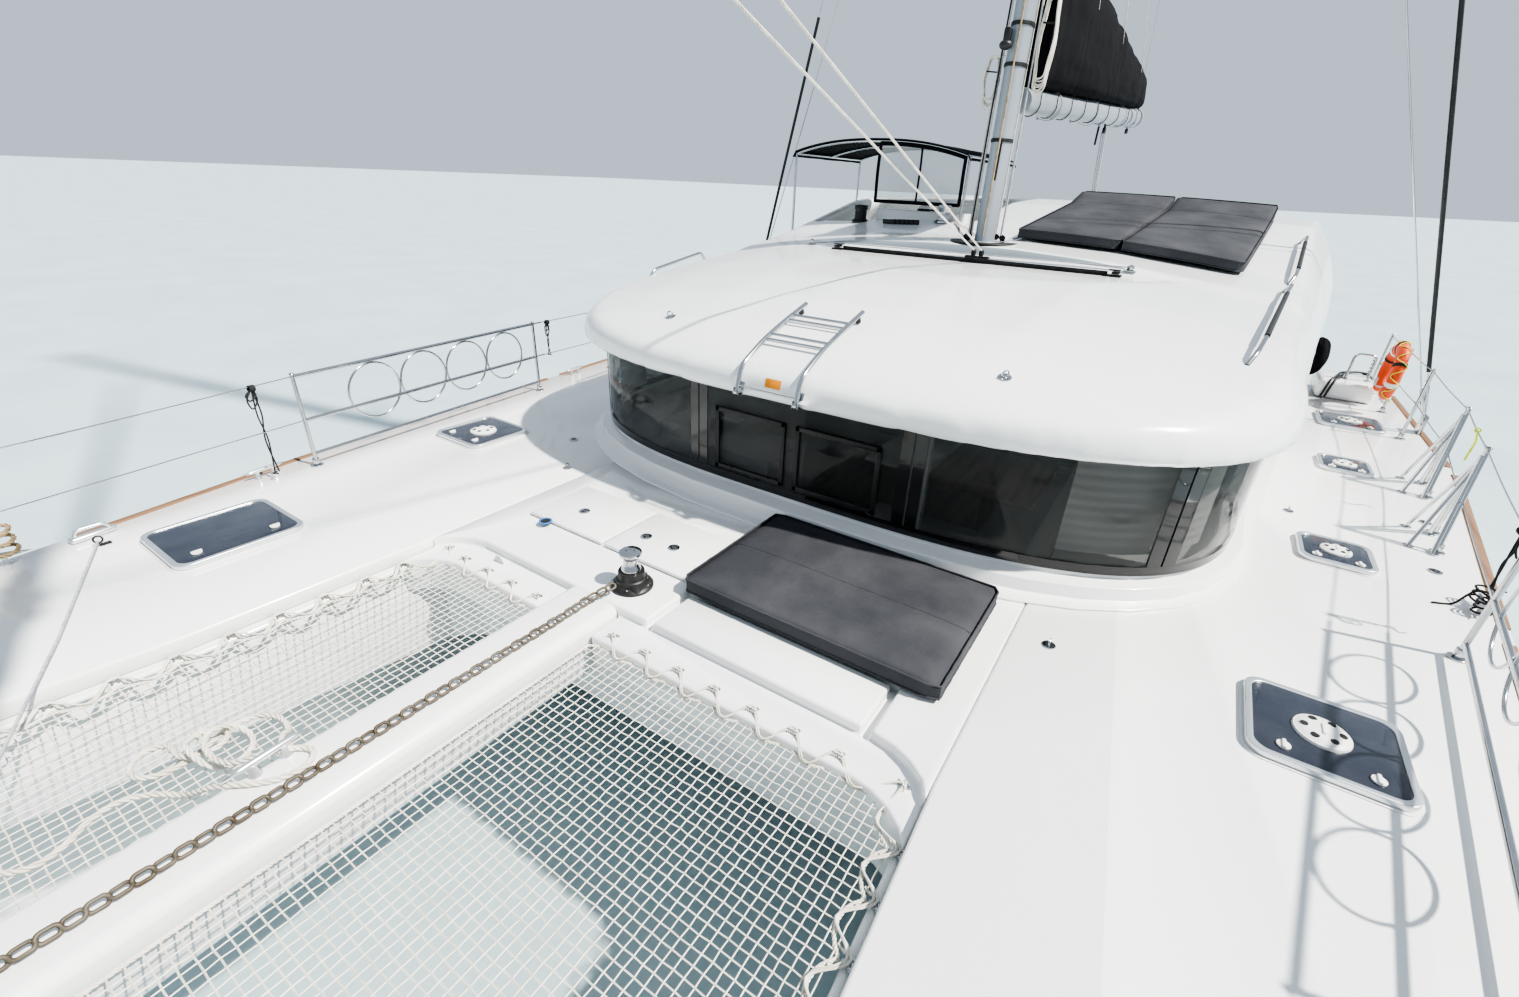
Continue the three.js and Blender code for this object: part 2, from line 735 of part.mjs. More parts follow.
// Trampoline nets between the beams and the hulls
const NET_Z = DECK_Z - 95;
const NET_THICK = 14;
function makeNets() {
  const fore = BEAM_X - BEAM_R - 60;
  const aft = LEDGE_X + 25;
  const edge = (x) => reading(STATIONS, x, IN_DECK) - 50;
  const outer = [5250, 4700].map((x) => [x, edge(x)]);
  const corner = SHOULDER.map(([x, y], i) => [aft + x + 9 * i, y - 14 * i]).reverse();
  const port = [
    [fore, SPINE_Y + SPINE_HALF + 20],
    [fore, edge(fore)],
    ...outer,
    ...corner,
    [aft, SPINE_Y + SPINE_HALF + 20],
  ];
  const starboard = [
    [fore, SPINE_Y - SPINE_HALF - 20],
    [fore, -edge(fore)],
    ...[...outer, ...corner].map(([x, y]) => [x, -y]),
    [aft, SPINE_Y - SPINE_HALF - 20],
  ];
  add("net_port", slab(port, NET_Z - NET_THICK / 2, NET_Z + NET_THICK / 2), "net");
  add("net_starboard", slab(starboard, NET_Z - NET_THICK / 2, NET_Z + NET_THICK / 2), "net");
}
makeNets();

// Windlass, chain and anchor
const WINDLASS = { x: 3240, y: -240, top: 130 };
const CHAIN_Y = SPINE_Y + 45;
function makeGroundTackle() {
  const { x, y } = WINDLASS;
  const plinth = new THREE.CylinderGeometry(95, 110, 55, 14);
  plinth.rotateX(Math.PI / 2);
  plinth.translate(x, y, DECK_Z + GAP + 27.5);
  const gypsy = bar(v3(x, y, DECK_Z + 40), v3(x, y, DECK_Z + 95), 66, 14);
  add("windlass_base", join([solid(plinth), gypsy]), "steel");
  const drum = new THREE.LatheGeometry(
    [
      [0, 100],
      [48, 100],
      [36, 125],
      [34, 160],
      [58, 190],
      [54, 203],
      [0, 206],
    ].map(([r, h]) => new THREE.Vector2(r, h)),
    16,
  );
  drum.rotateX(Math.PI / 2);
  drum.translate(x, y, DECK_Z);
  add("windlass_drum", solid(drum), "steel");
  const route = [
    v3(x + 118, y - 12, DECK_Z + 52),
    v3(x + 260, CHAIN_Y - 5, DECK_Z + 24),
    v3(x + 420, CHAIN_Y, DECK_Z + 22),
    v3(BEAM_X - 210, CHAIN_Y, DECK_Z + 22),
    v3(BEAM_X + 20, CHAIN_Y, DECK_Z + 66),
    v3(BEAM_X + 260, CHAIN_Y, DECK_Z + 60),
  ];
  add("chain", chainOfBars(route, 17, 6), "chain");
  const cheeks = [-1, 1].map((s) =>
    profile(
      [
        [BEAM_X - 100, DECK_Z + 18],
        [BEAM_X + 340, DECK_Z + 18],
        [BEAM_X + 380, DECK_Z - 10],
        [BEAM_X + 340, DECK_Z - 60],
        [BEAM_X + 80, DECK_Z + 14],
        [BEAM_X - 100, DECK_Z + 14],
      ],
      CHAIN_Y + s * 45 - 5,
      CHAIN_Y + s * 45 + 5,
    ),
  );
  const plate = box(BEAM_X - 60, BEAM_X + 340, CHAIN_Y - 50, CHAIN_Y + 50, DECK_Z + 16.5, DECK_Z + 22);
  const shank = chainOfBars(
    [
      v3(BEAM_X + 290, CHAIN_Y, DECK_Z - 10),
      v3(BEAM_X + 240, CHAIN_Y, DECK_Z - 260),
      v3(BEAM_X - 180, CHAIN_Y, DECK_Z - 520),
    ],
    26,
    6,
  );
  const shackle = bar(v3(BEAM_X + 290, CHAIN_Y, DECK_Z - 20), v3(BEAM_X + 290, CHAIN_Y, DECK_Z + 20), 20, 6);
  const fluke = loft([
    [
      v3(BEAM_X + 330, CHAIN_Y, DECK_Z - 640),
      v3(BEAM_X + 325, CHAIN_Y + 10, DECK_Z - 655),
      v3(BEAM_X + 325, CHAIN_Y - 10, DECK_Z - 655),
    ],
    [
      v3(BEAM_X - 260, CHAIN_Y, DECK_Z - 480),
      v3(BEAM_X - 280, CHAIN_Y + 230, DECK_Z - 560),
      v3(BEAM_X - 280, CHAIN_Y - 230, DECK_Z - 560),
    ],
  ]);
  add("anchor", join([plate, ...cheeks, shackle, shank, fluke]), "steel");
}
makeGroundTackle();

// Coachroof: ribs from the visor aft, each with its rim and its crowned top
const ROOF_AFT = -4300;
const RIM_HEIGHT = 90;
const ROOF_THICK = 85;
const SALOON_ROOF_THICK = 160;
// Level shelf cut across the roof in front of the mast, for the jib's track
const SHELF = { z: 2975, fore: 700, aft: -655, top: -760, half: 1750 };
const LADDER = { x: 2375, z: 2470, y: -40, half: 190, length: 800, tube: 14 };
const HELM_WELL = { x0: -4000, x1: -2150, y0: -2330, y1: -450 };

function roofRibs(inset) {
  const outline = planOutline(PLANS.roof, inset, ROOF_AFT, 12);
  const half = outline.slice(1, (outline.length + 1) / 2).reverse();
  const along = CROWN.map(([x]) => x).filter((x) => x < ROUND_X);
  const breadth = PLANS.roof[1] - inset;
  return [...half.slice(1), ...along.map((x) => [x, breadth + FLARE * (ROUND_X - x)])];
}

// Where the section's points lie, as shares of its half-breadth. Columns: share forward, share aft
const SHARES = [
  [1, 0.975],
  [0.985, 0.93],
  [0.94, 0.865],
  [0.72, 0.75],
  [0.42, 0.42],
  [0.14, 0.14],
];

// The roof's top from the rim inwards, at one rib: [y, z] from port to starboard.
function ribPoints(x, halfY, drop) {
  const back = Math.max(0, ROUND_X - x);
  const aft = Math.min(1, back / (ROUND_X + 3400));
  const edgeTop = Math.min(roofZ(x, halfY) - 60, LIP_Z + RIM_HEIGHT + 0.06 * back);
  const port = SHARES.map(([fore, rear], i) => {
    const y = halfY * lerp(fore, rear, aft);
    const crown = roofZ(x, y);
    const rise = i < 2 ? i * 0.55 : 1;
    return [y, lerp(edgeTop, crown, rise) - drop];
  });
  const starboard = [...port].reverse().map(([y, z]) => [-y, z]);
  return [...port, ...starboard];
}

function makeRoof() {
  const ribs = roofRibs(0);
  const rings = ribs.map(([x, y]) => {
    const top = ribPoints(x, y, 0);
    const floor = [
      [-y, LIP_Z],
      [y, LIP_Z],
    ];
    return [...top, ...floor].map(([py, pz]) => v3(x, py, pz));
  });
  const brow = rings[0].map(({ x, y, z }) =>
    v3(x + 9, y * 0.55, z > LIP_Z ? lerp(LIP_Z + RIM_HEIGHT / 2, z, 0.4) : z),
  );
  const block = loft([brow, ...rings]);
  const soffit = slab(planOutline(PLANS.roof, 70, ROOF_AFT + 70), LIP_Z - 50, WALL_TOP_Z + GAP);
  const inner = roofRibs(240).filter(([x]) => x > BULKHEAD_X + 50);
  const low = WALL_TOP_Z - 50;
  const ceilingRing = ([x, y], thick) =>
    [...ribPoints(x, y, thick), [-y, low], [y, low]].map(([py, pz]) =>
      v3(x, py, pz > low ? Math.max(pz, low + 20) : low),
    );
  const saloonEnd = BULKHEAD_X + 20;
  const breadthAt = (x) => PLANS.roof[1] - 240 + FLARE * (ROUND_X - x);
  const saloon = loft(
    [...inner, [saloonEnd, breadthAt(saloonEnd)]].map((rib) => ceilingRing(rib, SALOON_ROOF_THICK)),
  );
  const cockpit = loft(
    [BULKHEAD_X - BULKHEAD.thick - 60, -3400, ROOF_AFT + 120].map((x) =>
      ceilingRing([x, breadthAt(x)], ROOF_THICK),
    ),
  );
  const slot = box(
    BULKHEAD_X - BULKHEAD.thick - 70,
    BULKHEAD_X + 30,
    -BULKHEAD.half - 5,
    BULKHEAD.half + 5,
    WALL_TOP_Z - 50,
    BULKHEAD.top + GAP,
  );
  const helm = box(HELM_WELL.x0, HELM_WELL.x1, HELM_WELL.y0, HELM_WELL.y1, 2000, 4000);
  const posts = [
    [-4150, 2250],
    [-4150, -2250],
  ].map(([x, y]) => bar(v3(x, y, DECK_Z + GAP), v3(x, y, WALL_TOP_Z + 120), 38, 10));
  const shelf = profile(
    [
      [SHELF.aft, SHELF.z],
      [SHELF.fore, SHELF.z],
      [SHELF.fore, SHELF.z + 400],
      [SHELF.top, SHELF.z + 400],
      [SHELF.top, SHELF.z + 135],
    ],
    -SHELF.half,
    SHELF.half,
  );
  const shell = cut(block, [soffit, saloon, cockpit, slot, helm, shelf]);
  const feet = [-1, 1].map((s) => {
    const y = LADDER.y + s * (LADDER.half + LADDER.tube + SWING);
    return box(LADDER.x - 100, LADDER.x + 18, y, y + s * 10, LADDER.z - 18, LADDER.z + 18);
  });
  const roof = join([shell, ...posts, ...feet]);
  add("coachroof", roof, "gelcoat");
  return roof;
}
const roof = makeRoof();

// A piece trimmed to stand on the roof.
const onRoof = (piece) => cut(piece, [roof]).translate([0, 0, GAP]);

// Mast with its step, spreaders, masthead and the lug that carries the boom
const MAST_CHORD = 130;
const MAST_WIDE = 80;
const GOOSENECK = { x: MAST_X - 215, half: 24, top: BOOM_Z + 50, bottom: BOOM_Z - 50 };
function makeMast() {
  const oval = (x, chord, wide, z) =>
    Array.from({ length: 12 }, (_, i) => {
      const angle = (i / 12) * 2 * Math.PI;
      return v3(x + chord * Math.cos(angle), wide * Math.sin(angle), z);
    });
  const tube = loft([
    oval(MAST_X, MAST_CHORD, MAST_WIDE, roofZ(MAST_X, 0) - 60),
    oval(MAST_X, MAST_CHORD, MAST_WIDE, HOUNDS_Z),
    oval(MAST_X, MAST_CHORD * 0.8, MAST_WIDE * 0.8, MASTHEAD_Z - 250),
  ]);
  const foot = loft([
    oval(MAST_X, 260, 200, roofZ(MAST_X, 0) - 60),
    oval(MAST_X, 220, 160, roofZ(MAST_X, 0) + 55),
  ]);
  const crane = box(MAST_X - 330, MAST_X + 190, -35, 35, MASTHEAD_Z - 300, MASTHEAD_Z - 210);
  const light = bar(v3(MAST_X, 0, MASTHEAD_Z - 220), v3(MAST_X, 0, MASTHEAD_Z), 22, 6);
  const spreaders = SIDES.map(([side]) =>
    bar(
      v3(MAST_X - 30, side * 40, SPREADER.z - 90),
      v3(SPREADER.x, side * (SPREADER.y - 34), SPREADER.z),
      46,
      6,
      24,
    ),
  );
  const lug = box(
    GOOSENECK.x - GOOSENECK.half,
    MAST_X - 60,
    -GOOSENECK.half,
    GOOSENECK.half,
    GOOSENECK.bottom,
    GOOSENECK.top,
  );
  const mast = onRoof(join([tube, foot, crane, light, ...spreaders, lug]));
  add("mast", mast, "alloy");
  return mast;
}
const mast = makeMast();

// The boom lies a little to port of the middle line and rises aft
const BOOM_R = 100;
const boomAt = (t) =>
  v3(lerp(GOOSENECK.x - 90, BOOM_END.x, t), lerp(8, BOOM_END.y, t), lerp(BOOM_Z, BOOM_END.z, t));
function makeBoom() {
  const spar = bar(boomAt(0), boomAt(1), BOOM_R, 12);
  const plates = [GOOSENECK.bottom - SWING - 12, GOOSENECK.top + SWING].map((z) =>
    box(GOOSENECK.x - 180, GOOSENECK.x + 26, -26, 26, z, z + 12),
  );
  const end = bar(boomAt(0.99), boomAt(1.012), BOOM_R + 12, 12);
  add("boom", join([spar, end, ...plates]), "alloy");
}
makeBoom();

// Bag that holds the lowered mainsail on top of the boom. Columns: share of the boom, height, half width
const BAG = [
  [0.02, 1050, 125],
  [0.3, 920, 155],
  [0.5, 760, 150],
  [0.8, 500, 125],
  [0.96, 370, 85],
];
function makeBag() {
  const rings = BAG.map(([t, height, half]) => {
    const { x, y, z } = boomAt(t);
    const base = z + BOOM_R + 4;
    return [
      [0, 0],
      [half * 0.75, 30],
      [half, height * 0.35],
      [half * 0.72, height * 0.8],
      [half * 0.2, height],
      [-half * 0.2, height],
      [-half * 0.72, height * 0.8],
      [-half, height * 0.35],
      [-half * 0.75, 30],
    ].map(([across, up]) => v3(x, y + across, base + up));
  });
  add("sail_bag", loft(rings), "black");
}
makeBag();

// Rolled jib round its stay, from the striker's head to the mast
const STAY_FOOT = v3(BEAM_X, 0, STRIKER_Z + 20);
const STAY_HEAD = v3(MAST_X + MAST_CHORD + 6, 0, HOUNDS_Z);
const onStay = (t) => STAY_FOOT.clone().lerp(STAY_HEAD, t);
function makeJib() {
  const drum = bar(onStay(0.012), onStay(0.022), 95, 14);
  const fork = bar(onStay(0), onStay(0.014), 30, 8);
  const low = bar(onStay(0.02), onStay(0.05), 55, 10, 90);
  const sail = bar(onStay(0.05), onStay(0.95), 90, 10, 42);
  const foil = bar(onStay(0.94), onStay(1), 16, 8);
  add("furled_jib", cut(join([drum, fork, low, sail, foil]), [mast]), "cloth");
}
makeJib();

// Shrouds of each side, from the chainplate over the spreader's tip to tangs on the mast
const WIRE_R = 9;
const TANG = { half: 24, out: 26 };
function makeShrouds(side, name) {
  const tangY = side * (MAST_WIDE + GAP + TANG.out / 2);
  const foot = v3(CHAINPLATE.x, side * CHAINPLATE.y, DECK_Z + 150);
  const tip = v3(SPREADER.x, side * SPREADER.y, SPREADER.z);
  const top = v3(MAST_X, tangY, HOUNDS_Z - 60);
  const lowTop = v3(MAST_X, tangY, SPREADER.z - 330);
  const wires = [
    [foot, tip],
    [tip, top],
    [foot.clone().add(v3(60, 0, -60)), lowTop],
  ].map(([from, to]) => bar(from, to, WIRE_R, 6));
  const blocks = [top, lowTop].map(({ x, z }) =>
    box(
      x - TANG.half,
      x + TANG.half,
      side * (MAST_WIDE + GAP),
      side * (MAST_WIDE + GAP + TANG.out),
      z - TANG.half,
      z + TANG.half,
    ),
  );
  const ends = box(tip.x - 14, tip.x + 14, tip.y - 14, tip.y + 14, tip.z - 20, tip.z + 20);
  const plate = box(
    CHAINPLATE.x - 60,
    CHAINPLATE.x + 100,
    side * (CHAINPLATE.y - 12),
    side * (CHAINPLATE.y + 12),
    DECK_Z + GAP,
    DECK_Z + 175,
  );
  add("shrouds_" + name, join([...wires, ...blocks, ends, plate]), "steel");
}
for (const [side, name] of SIDES) {
  makeShrouds(side, name);
}

// Jib track across the roof in front of the mast, with its car
const TRACK = { x: -550, half: 1120, car: 120, z: SHELF.z + GAP };
function makeTrack() {
  const { x, half, car, z } = TRACK;
  const rail = box(x - 22, x + 22, -half, half, z, z + 34);
  const slider = box(x - 60, x + 60, car - 75, car + 75, z, z + 92);
  const ends = [-1, 1].map((s) => box(x - 40, x + 40, s * half, s * (half + 110), z, z + 52));
  add("jib_track", join([rail, slider, ...ends]), "black");
}
makeTrack();

// Folding ladder lying on the visor; it swings over the lip down to the foredeck
// Side rail: columns distance along, height over the chord
const LADDER_RAIL = [
  [0, 0],
  [40, 118],
  [260, 122],
  [500, 88],
  [LADDER.length, 30],
];
const LADDER_RUNGS = [
  [10, 14],
  [330, 112],
  [590, 70],
];
function makeLadder() {
  const { x, z, y, half, tube } = LADDER;
  const slope = Math.atan2(roofZ(x - LADDER.length, y) + 45 - z, LADDER.length);
  const at = (along, lift, across) =>
    v3(x - along * Math.cos(slope), y + across, z + along * Math.sin(slope) + lift);
  const rails = [-half, half].map((across) =>
    chainOfBars(LADDER_RAIL.map(([along, lift]) => at(along, lift, across)), tube, 6),
  );
  const rungs = LADDER_RUNGS.map(([along, lift]) =>
    bar(at(along, lift, -half), at(along, lift, half), tube - 2, 6),
  );
  add("roof_ladder", join([...rails, ...rungs]), "steel");
}
makeLadder();

// Raised headrest at the sun pads' aft end: share of the length where it starts, height
const HEADREST = { share: 0.8, rise: 70 };
// Cushions: name, corners as x, y and underside z in order round, thickness, headrest's rise
function pad(name, corners, thick, rise = 0) {
  const low = corners.map(([x, y, z]) => v3(x, y, z));
  const high = corners.map(([x, y, z]) => v3(x, y, z + thick));
  const parts = [loft([low, high])];
  if (rise > 0) {
    const [front0, front1, aft1, aft0] = high;
    const start0 = front0.clone().lerp(aft0, HEADREST.share);
    const start1 = front1.clone().lerp(aft1, HEADREST.share);
    const up = v3(0, 0, rise);
    const base = [start0, start1, aft1, aft0].map((p) => p.clone().add(v3(0, 0, -thick / 2)));
    parts.push(loft([base, [start0, start1, aft1.clone().add(up), aft0.clone().add(up)]]));
  }
  add(name, join(parts), "fabric");
}
const PAD_THICK = 85;
const onCrown = (x, y) => [x, y, roofZ(x, y) + 26];
function makePads() {
  const aft = -3380;
  // Columns: name, x and y of the two front corners, y of the aft corners
  const pads = [
    ["sun_pad_inboard", [-1320, 215], [-1290, 1060], [350, 1265]],
    ["sun_pad_outboard", [-1290, 1075], [-1210, 1970], [1280, 2150]],
  ];
  for (const [name, inner, outer, [a0, a1]] of pads) {
    const corners = [onCrown(...inner), onCrown(...outer), onCrown(aft, a1), onCrown(aft, a0)];
    pad(name, corners, PAD_THICK, HEADREST.rise);
  }
  const z = DECK_Z + 20;
  pad(
    "foredeck_cushion",
    [
      [2260, 10, z],
      [3140, 10, z],
      [3140, 1330, z],
      [2260, 1330, z],
    ],
    85,
  );
}
makePads();

// Helm station in its well: floor, console, seat and steps
const HELM_FLOOR_Z = 2100;
const WHEEL = { x: -2520, y: -1050, z: 2960, radius: 330, tilt: 0.22 };
function makeHelm() {
  const room = 12;
  const { x0, x1, y0, y1 } = HELM_WELL;
  const blocks = [
    [x0 + room, x1 - room, y0 + room, y1 - room, HELM_FLOOR_Z, HELM_FLOOR_Z + 50],
    [x0 + 500, x1 - room, y0 + room, -CENTRE_HALF - 100, DECK_Z + 20, HELM_FLOOR_Z + 10],
    [x1 - 250, x1 - room, -1560, -540, HELM_FLOOR_Z, 3290],
    [-3620, -3150, -1980, y1 - room - 40, HELM_FLOOR_Z, 2640],
    [-3690, -3610, -1980, y1 - room - 40, HELM_FLOOR_Z, 3060],
    [x0 + room, x0 + 350, -1250, y1 - room, FLOOR_Z + GAP, 1330],
    [x0 + room + 260, x0 + 610, -1250, y1 - room, FLOOR_Z + GAP, 1720],
    [x0 + 520, x0 + 800, -1250, y1 - room, FLOOR_Z + GAP, HELM_FLOOR_Z + 10],
  ];
  const station = join(blocks.map((b) => box(...b)));
  const boss = bar(v3(x1 - 200, WHEEL.y, WHEEL.z - 20), v3(WHEEL.x + 60, WHEEL.y, WHEEL.z), 45, 10);
  add("helm_station", join([station, boss]), "gelcoat");
  const rim = new THREE.TorusGeometry(WHEEL.radius, 15, 6, 24);
  rim.rotateY(Math.PI / 2);
  rim.translate(WHEEL.x, WHEEL.y, WHEEL.z);
  const spokes = [0, 1, 2, 3, 4].map((i) => {
    const angle = (i / 5) * 2 * Math.PI;
    const out = v3(0, Math.sin(angle), Math.cos(angle)).multiplyScalar(WHEEL.radius);
    const hub = v3(WHEEL.x, WHEEL.y, WHEEL.z);
    return bar(hub, hub.clone().add(out), 9, 6);
  });
  const hub = bar(v3(WHEEL.x - 35, WHEEL.y, WHEEL.z), v3(WHEEL.x + 40, WHEEL.y, WHEEL.z), 55, 10);
  add("helm_wheel", join([solid(rim), ...spokes, hub]), "steel");
}
makeHelm();

// Awning over the helm on its tube frame
const AWNING = { x0: -3800, x1: -2050, y0: -2600, y1: -560, edge: 3850, crown: 3985 };
function makeAwning() {
  const { x0, x1, y0, y1, edge, crown } = AWNING;
  const tube = 15;
  const middle = (y0 + y1) / 2;
  const hoop = (x) => [
    v3(x, y0, edge - 20),
    v3(x, lerp(y0, y1, 0.25), crown - 45),
    v3(x, lerp(y0, y1, 0.75), crown - 45),
    v3(x, y1, edge - 20),
  ];
  const pieces = [x1 - 30, x0 + 30].map((x) => chainOfBars(hoop(x), tube, 6));
  for (const y of [y0, y1]) {
    pieces.push(bar(v3(x0 + 30, y, edge - 20), v3(x1 - 30, y, edge - 20), tube, 6));
    for (const x of [x1 - 30, x0 + 30]) {
      pieces.push(bar(v3(x, y, 2700), v3(x, y, edge - 20), tube, 6));
    }
  }
  const frame = onRoof(join(pieces));
  const top = join(frame.decompose().filter((piece) => piece.boundingBox().max[2] > edge - 100));
  add("awning_frame", top, "steel");
  const sheet = [
    [y0 - 45, edge - 60],
    [y0 - 45, edge + 12],
    [lerp(y0, y1, 0.25), crown - 5],
    [middle, crown + 20],
    [lerp(y0, y1, 0.75), crown - 5],
    [y1 + 45, edge + 12],
    [y1 + 45, edge - 60],
    [y1 + 30, edge - 60],
    [y1 + 22, edge - 2],
    [lerp(y0, y1, 0.75), crown - 25],
    [middle, crown - 2],
    [lerp(y0, y1, 0.25), crown - 25],
    [y0 - 22, edge - 2],
    [y0 - 30, edge - 60],
  ];
  add("awning", section(sheet, x0 - 20, x1 + 20), "black");
}
makeAwning();

// Rails of each side. Posts stand in from the deck's edge
const POST_IN = 235;
const POST_TOP = DECK_Z + 620;
const TUBE = 13;
const RAIL_WIRE = 6;
const railY = (x) => reading(STATIONS, x, OUT_DECK) - POST_IN;
// Columns: x, lean of the top in x
const POST_ROWS = [
  [5750, 0],
  [3470, 0],
  [1380, 0],
  [50, -170],
  [-290, 170],
  [-1030, -170],
  [-1380, 170],
  [-2620, 0],
  [-3600, 0],
  [-4560, 0],
];
// The ringed panel stands between the posts of this place in the table and the one before it
const PANEL_POST = 2;
const RINGS = { from: 1540, to: 3150, radius: 201, count: 4 };
function makeRail(side, name) {
  const tops = POST_ROWS.map(([x, lean]) => v3(x + lean, side * railY(x + lean), POST_TOP));
  const lows = POST_ROWS.map(([x], i) => v3(x, side * railY(x), DECK_Z).lerp(tops[i], 0.52));
  const pieces = POST_ROWS.map(([x], i) =>
    bar(v3(x, side * railY(x), DECK_Z + GAP), tops[i].clone().setZ(POST_TOP + 8), TUBE, 6),
  );
  for (let i = 1; i < tops.length; i += 1) {
    if (tops[i].distanceTo(tops[i - 1]) > 50) {
      const thick = i === PANEL_POST ? TUBE : RAIL_WIRE;
      pieces.push(bar(tops[i - 1], tops[i], thick, 4));
      pieces.push(bar(lows[i - 1], lows[i], thick, 4));
    }
  }
  const bow = [
    v3(5750, side * railY(5750), POST_TOP),
    v3(6180, side * 2560, POST_TOP + 30),
    v3(6300, side * 2455, POST_TOP + 30),
    v3(6180, side * 2350, POST_TOP + 30),
    v3(5900, side * 2080, POST_TOP + 10),
    v3(5850, side * 2080, DECK_Z + GAP + 20),
  ];
  pieces.push(chainOfBars(bow, TUBE, 6));
  pieces.push(bar(v3(6200, side * 2450, DECK_Z + GAP), v3(6290, side * 2450, POST_TOP + 20), TUBE, 6));
  const pitch = (RINGS.to - RINGS.from) / RINGS.count;
  for (let i = 0; i < RINGS.count; i += 1) {
    const x = RINGS.from + pitch * (i + 0.5);
    const ring = new THREE.TorusGeometry(RINGS.radius, 9, 4, 14);
    ring.rotateX(Math.PI / 2);
    ring.translate(x, side * railY(x), POST_TOP - RINGS.radius - 8);
    pieces.push(solid(ring));
  }
  const under = box(-5000, BOW_X, 1500 * side, 4000 * side, DECK_Z - 100, DECK_Z + GAP);
  add("rail_" + name, cut(join(pieces), [under]), "steel");
}
for (const [side, name] of SIDES) {
  makeRail(side, name);
}

// Horseshoe lifebuoy hung inside the lifelines of the port quarter
const BUOY = { x: -3600, y: 3545, z: 2040, wide: 222, high: 252, thick: 62, flat: 50, half: 1.6 };
function makeLifebuoy() {
  const { x, y, z, wide, high, thick, flat, half } = BUOY;
  const steps = 12;
  const rings = Array.from({ length: steps }, (_, i) => {
    const angle = Math.PI * (0.5 - half / 2 + (half * i) / (steps - 1));
    const centre = v3(x + wide * Math.cos(angle), y, z + high * Math.sin(angle));
    return Array.from({ length: 8 }, (_unused, k) => {
      const turn = (k / 8) * 2 * Math.PI;
      const out = v3(Math.cos(angle), 0, Math.sin(angle)).multiplyScalar(thick * Math.cos(turn));
      return centre.clone().add(out).add(v3(0, flat * Math.sin(turn), 0));
    });
  });
  add("lifebuoy", loft(rings), "orange");
}
makeLifebuoy();

// Mooring rope: made fast at the middle beam, loose on the starboard net, then along the
// net's forward edge to its coil on the starboard foredeck
const ROPE_R = 11;
const ROPE = [
  [4722, -505, 1672],
  [4695, -572, 1650],
  [4658, -652, 1590],
  [4640, -745, 1575],
  [4668, -828, 1575],
  [4738, -862, 1575],
  [4812, -845, 1575],
  [4885, -812, 1575],
  [4950, -798, 1575],
  [5012, -812, 1575],
  [5054, -862, 1575],
  [5048, -928, 1575],
  [4996, -968, 1575],
  [4944, -944, 1577],
  [4936, -885, 1586],
  [4938, -822, 1599],
  [4905, -770, 1600],
  [4850, -757, 1598],
  [4803, -782, 1598],
  [4790, -830, 1598],
  [4816, -872, 1598],
  [4864, -878, 1600],
  [4901, -845, 1614],
  [4914, -785, 1634],
  [4902, -715, 1600],
  [4862, -668, 1577],
  [4808, -662, 1575],
  [4760, -698, 1575],
  [4746, -754, 1588],
  [4778, -798, 1628],
  [4836, -800, 1644],
  [4872, -752, 1644],
  [4878, -690, 1628],
  [4864, -630, 1626],
  [4836, -570, 1642],
  [4790, -518, 1668],
  [4738, -478, 1671],
  [4690, -440, 1664],
  [4672, -388, 1663],
  [4716, -346, 1663],
  [4785, -356, 1663],
  [4848, -402, 1664],
  [4900, -462, 1666],
  [4942, -540, 1634],
  [4985, -635, 1580],
  [5040, -722, 1575],
  [5112, -778, 1575],
  [5190, -770, 1575],
  [5262, -718, 1575],
  [5335, -700, 1575],
  [5395, -745, 1575],
  [5430, -840, 1575],
  [5438, -1000, 1575],
  [5440, -1180, 1575],
  [5438, -1360, 1575],
  [5434, -1480, 1578],
  [5428, -1540, 1598],
  [5418, -1600, 1652],
  [5404, -1650, 1678],
  [5378, -1730, 1670],
  [5328, -1850, 1664],
  [5305, -1960, 1662],
  [5302, -2062, 1662],
  [5304, -2150, 1662],
];
const COIL = { x: 5470, y: -2150, turnR: 144, across: 3, layers: 2 };
function makeRope() {
  const wide = COIL.across * ROPE_R;
  const high = COIL.layers * 2 * ROPE_R;
  const ring = new THREE.LatheGeometry(
    [
      [COIL.turnR - wide, 0],
      [COIL.turnR + wide, 0],
      [COIL.turnR + wide, high],
      [COIL.turnR - wide, high],
      [COIL.turnR - wide, 0],
    ].map(([r, h]) => new THREE.Vector2(r, h)),
    24,
  );
  ring.rotateX(Math.PI / 2);
  ring.translate(COIL.x, COIL.y, DECK_Z + GAP);
  const coil = solid(ring);
  const circle = new THREE.Shape();
  circle.absarc(0, 0, ROPE_R, 0, 2 * Math.PI, false);
  const path = new THREE.CatmullRomCurve3(ROPE.map((p) => v3(...p)), false, "centripetal");
  const tube = solid(
    new THREE.ExtrudeGeometry(circle, { extrudePath: path, steps: 80, curveSegments: 4 }),
  );
  const room = coil.scale([1, 1, 1.1]).translate([0, GAP, -0.1 * DECK_Z]);
  add("mooring_rope", cut(tube, [room]), "cloth");
  add("mooring_coil", coil, "cloth");
}
makeRope();

export default catamaran;
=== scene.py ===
"""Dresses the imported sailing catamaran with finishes, fittings, soft goods, ropes, camera and light.

Metres, +X to the bows, +Y to port, +Z up.
"""
import json
import math

import bpy
from mathutils import Matrix, Vector, noise

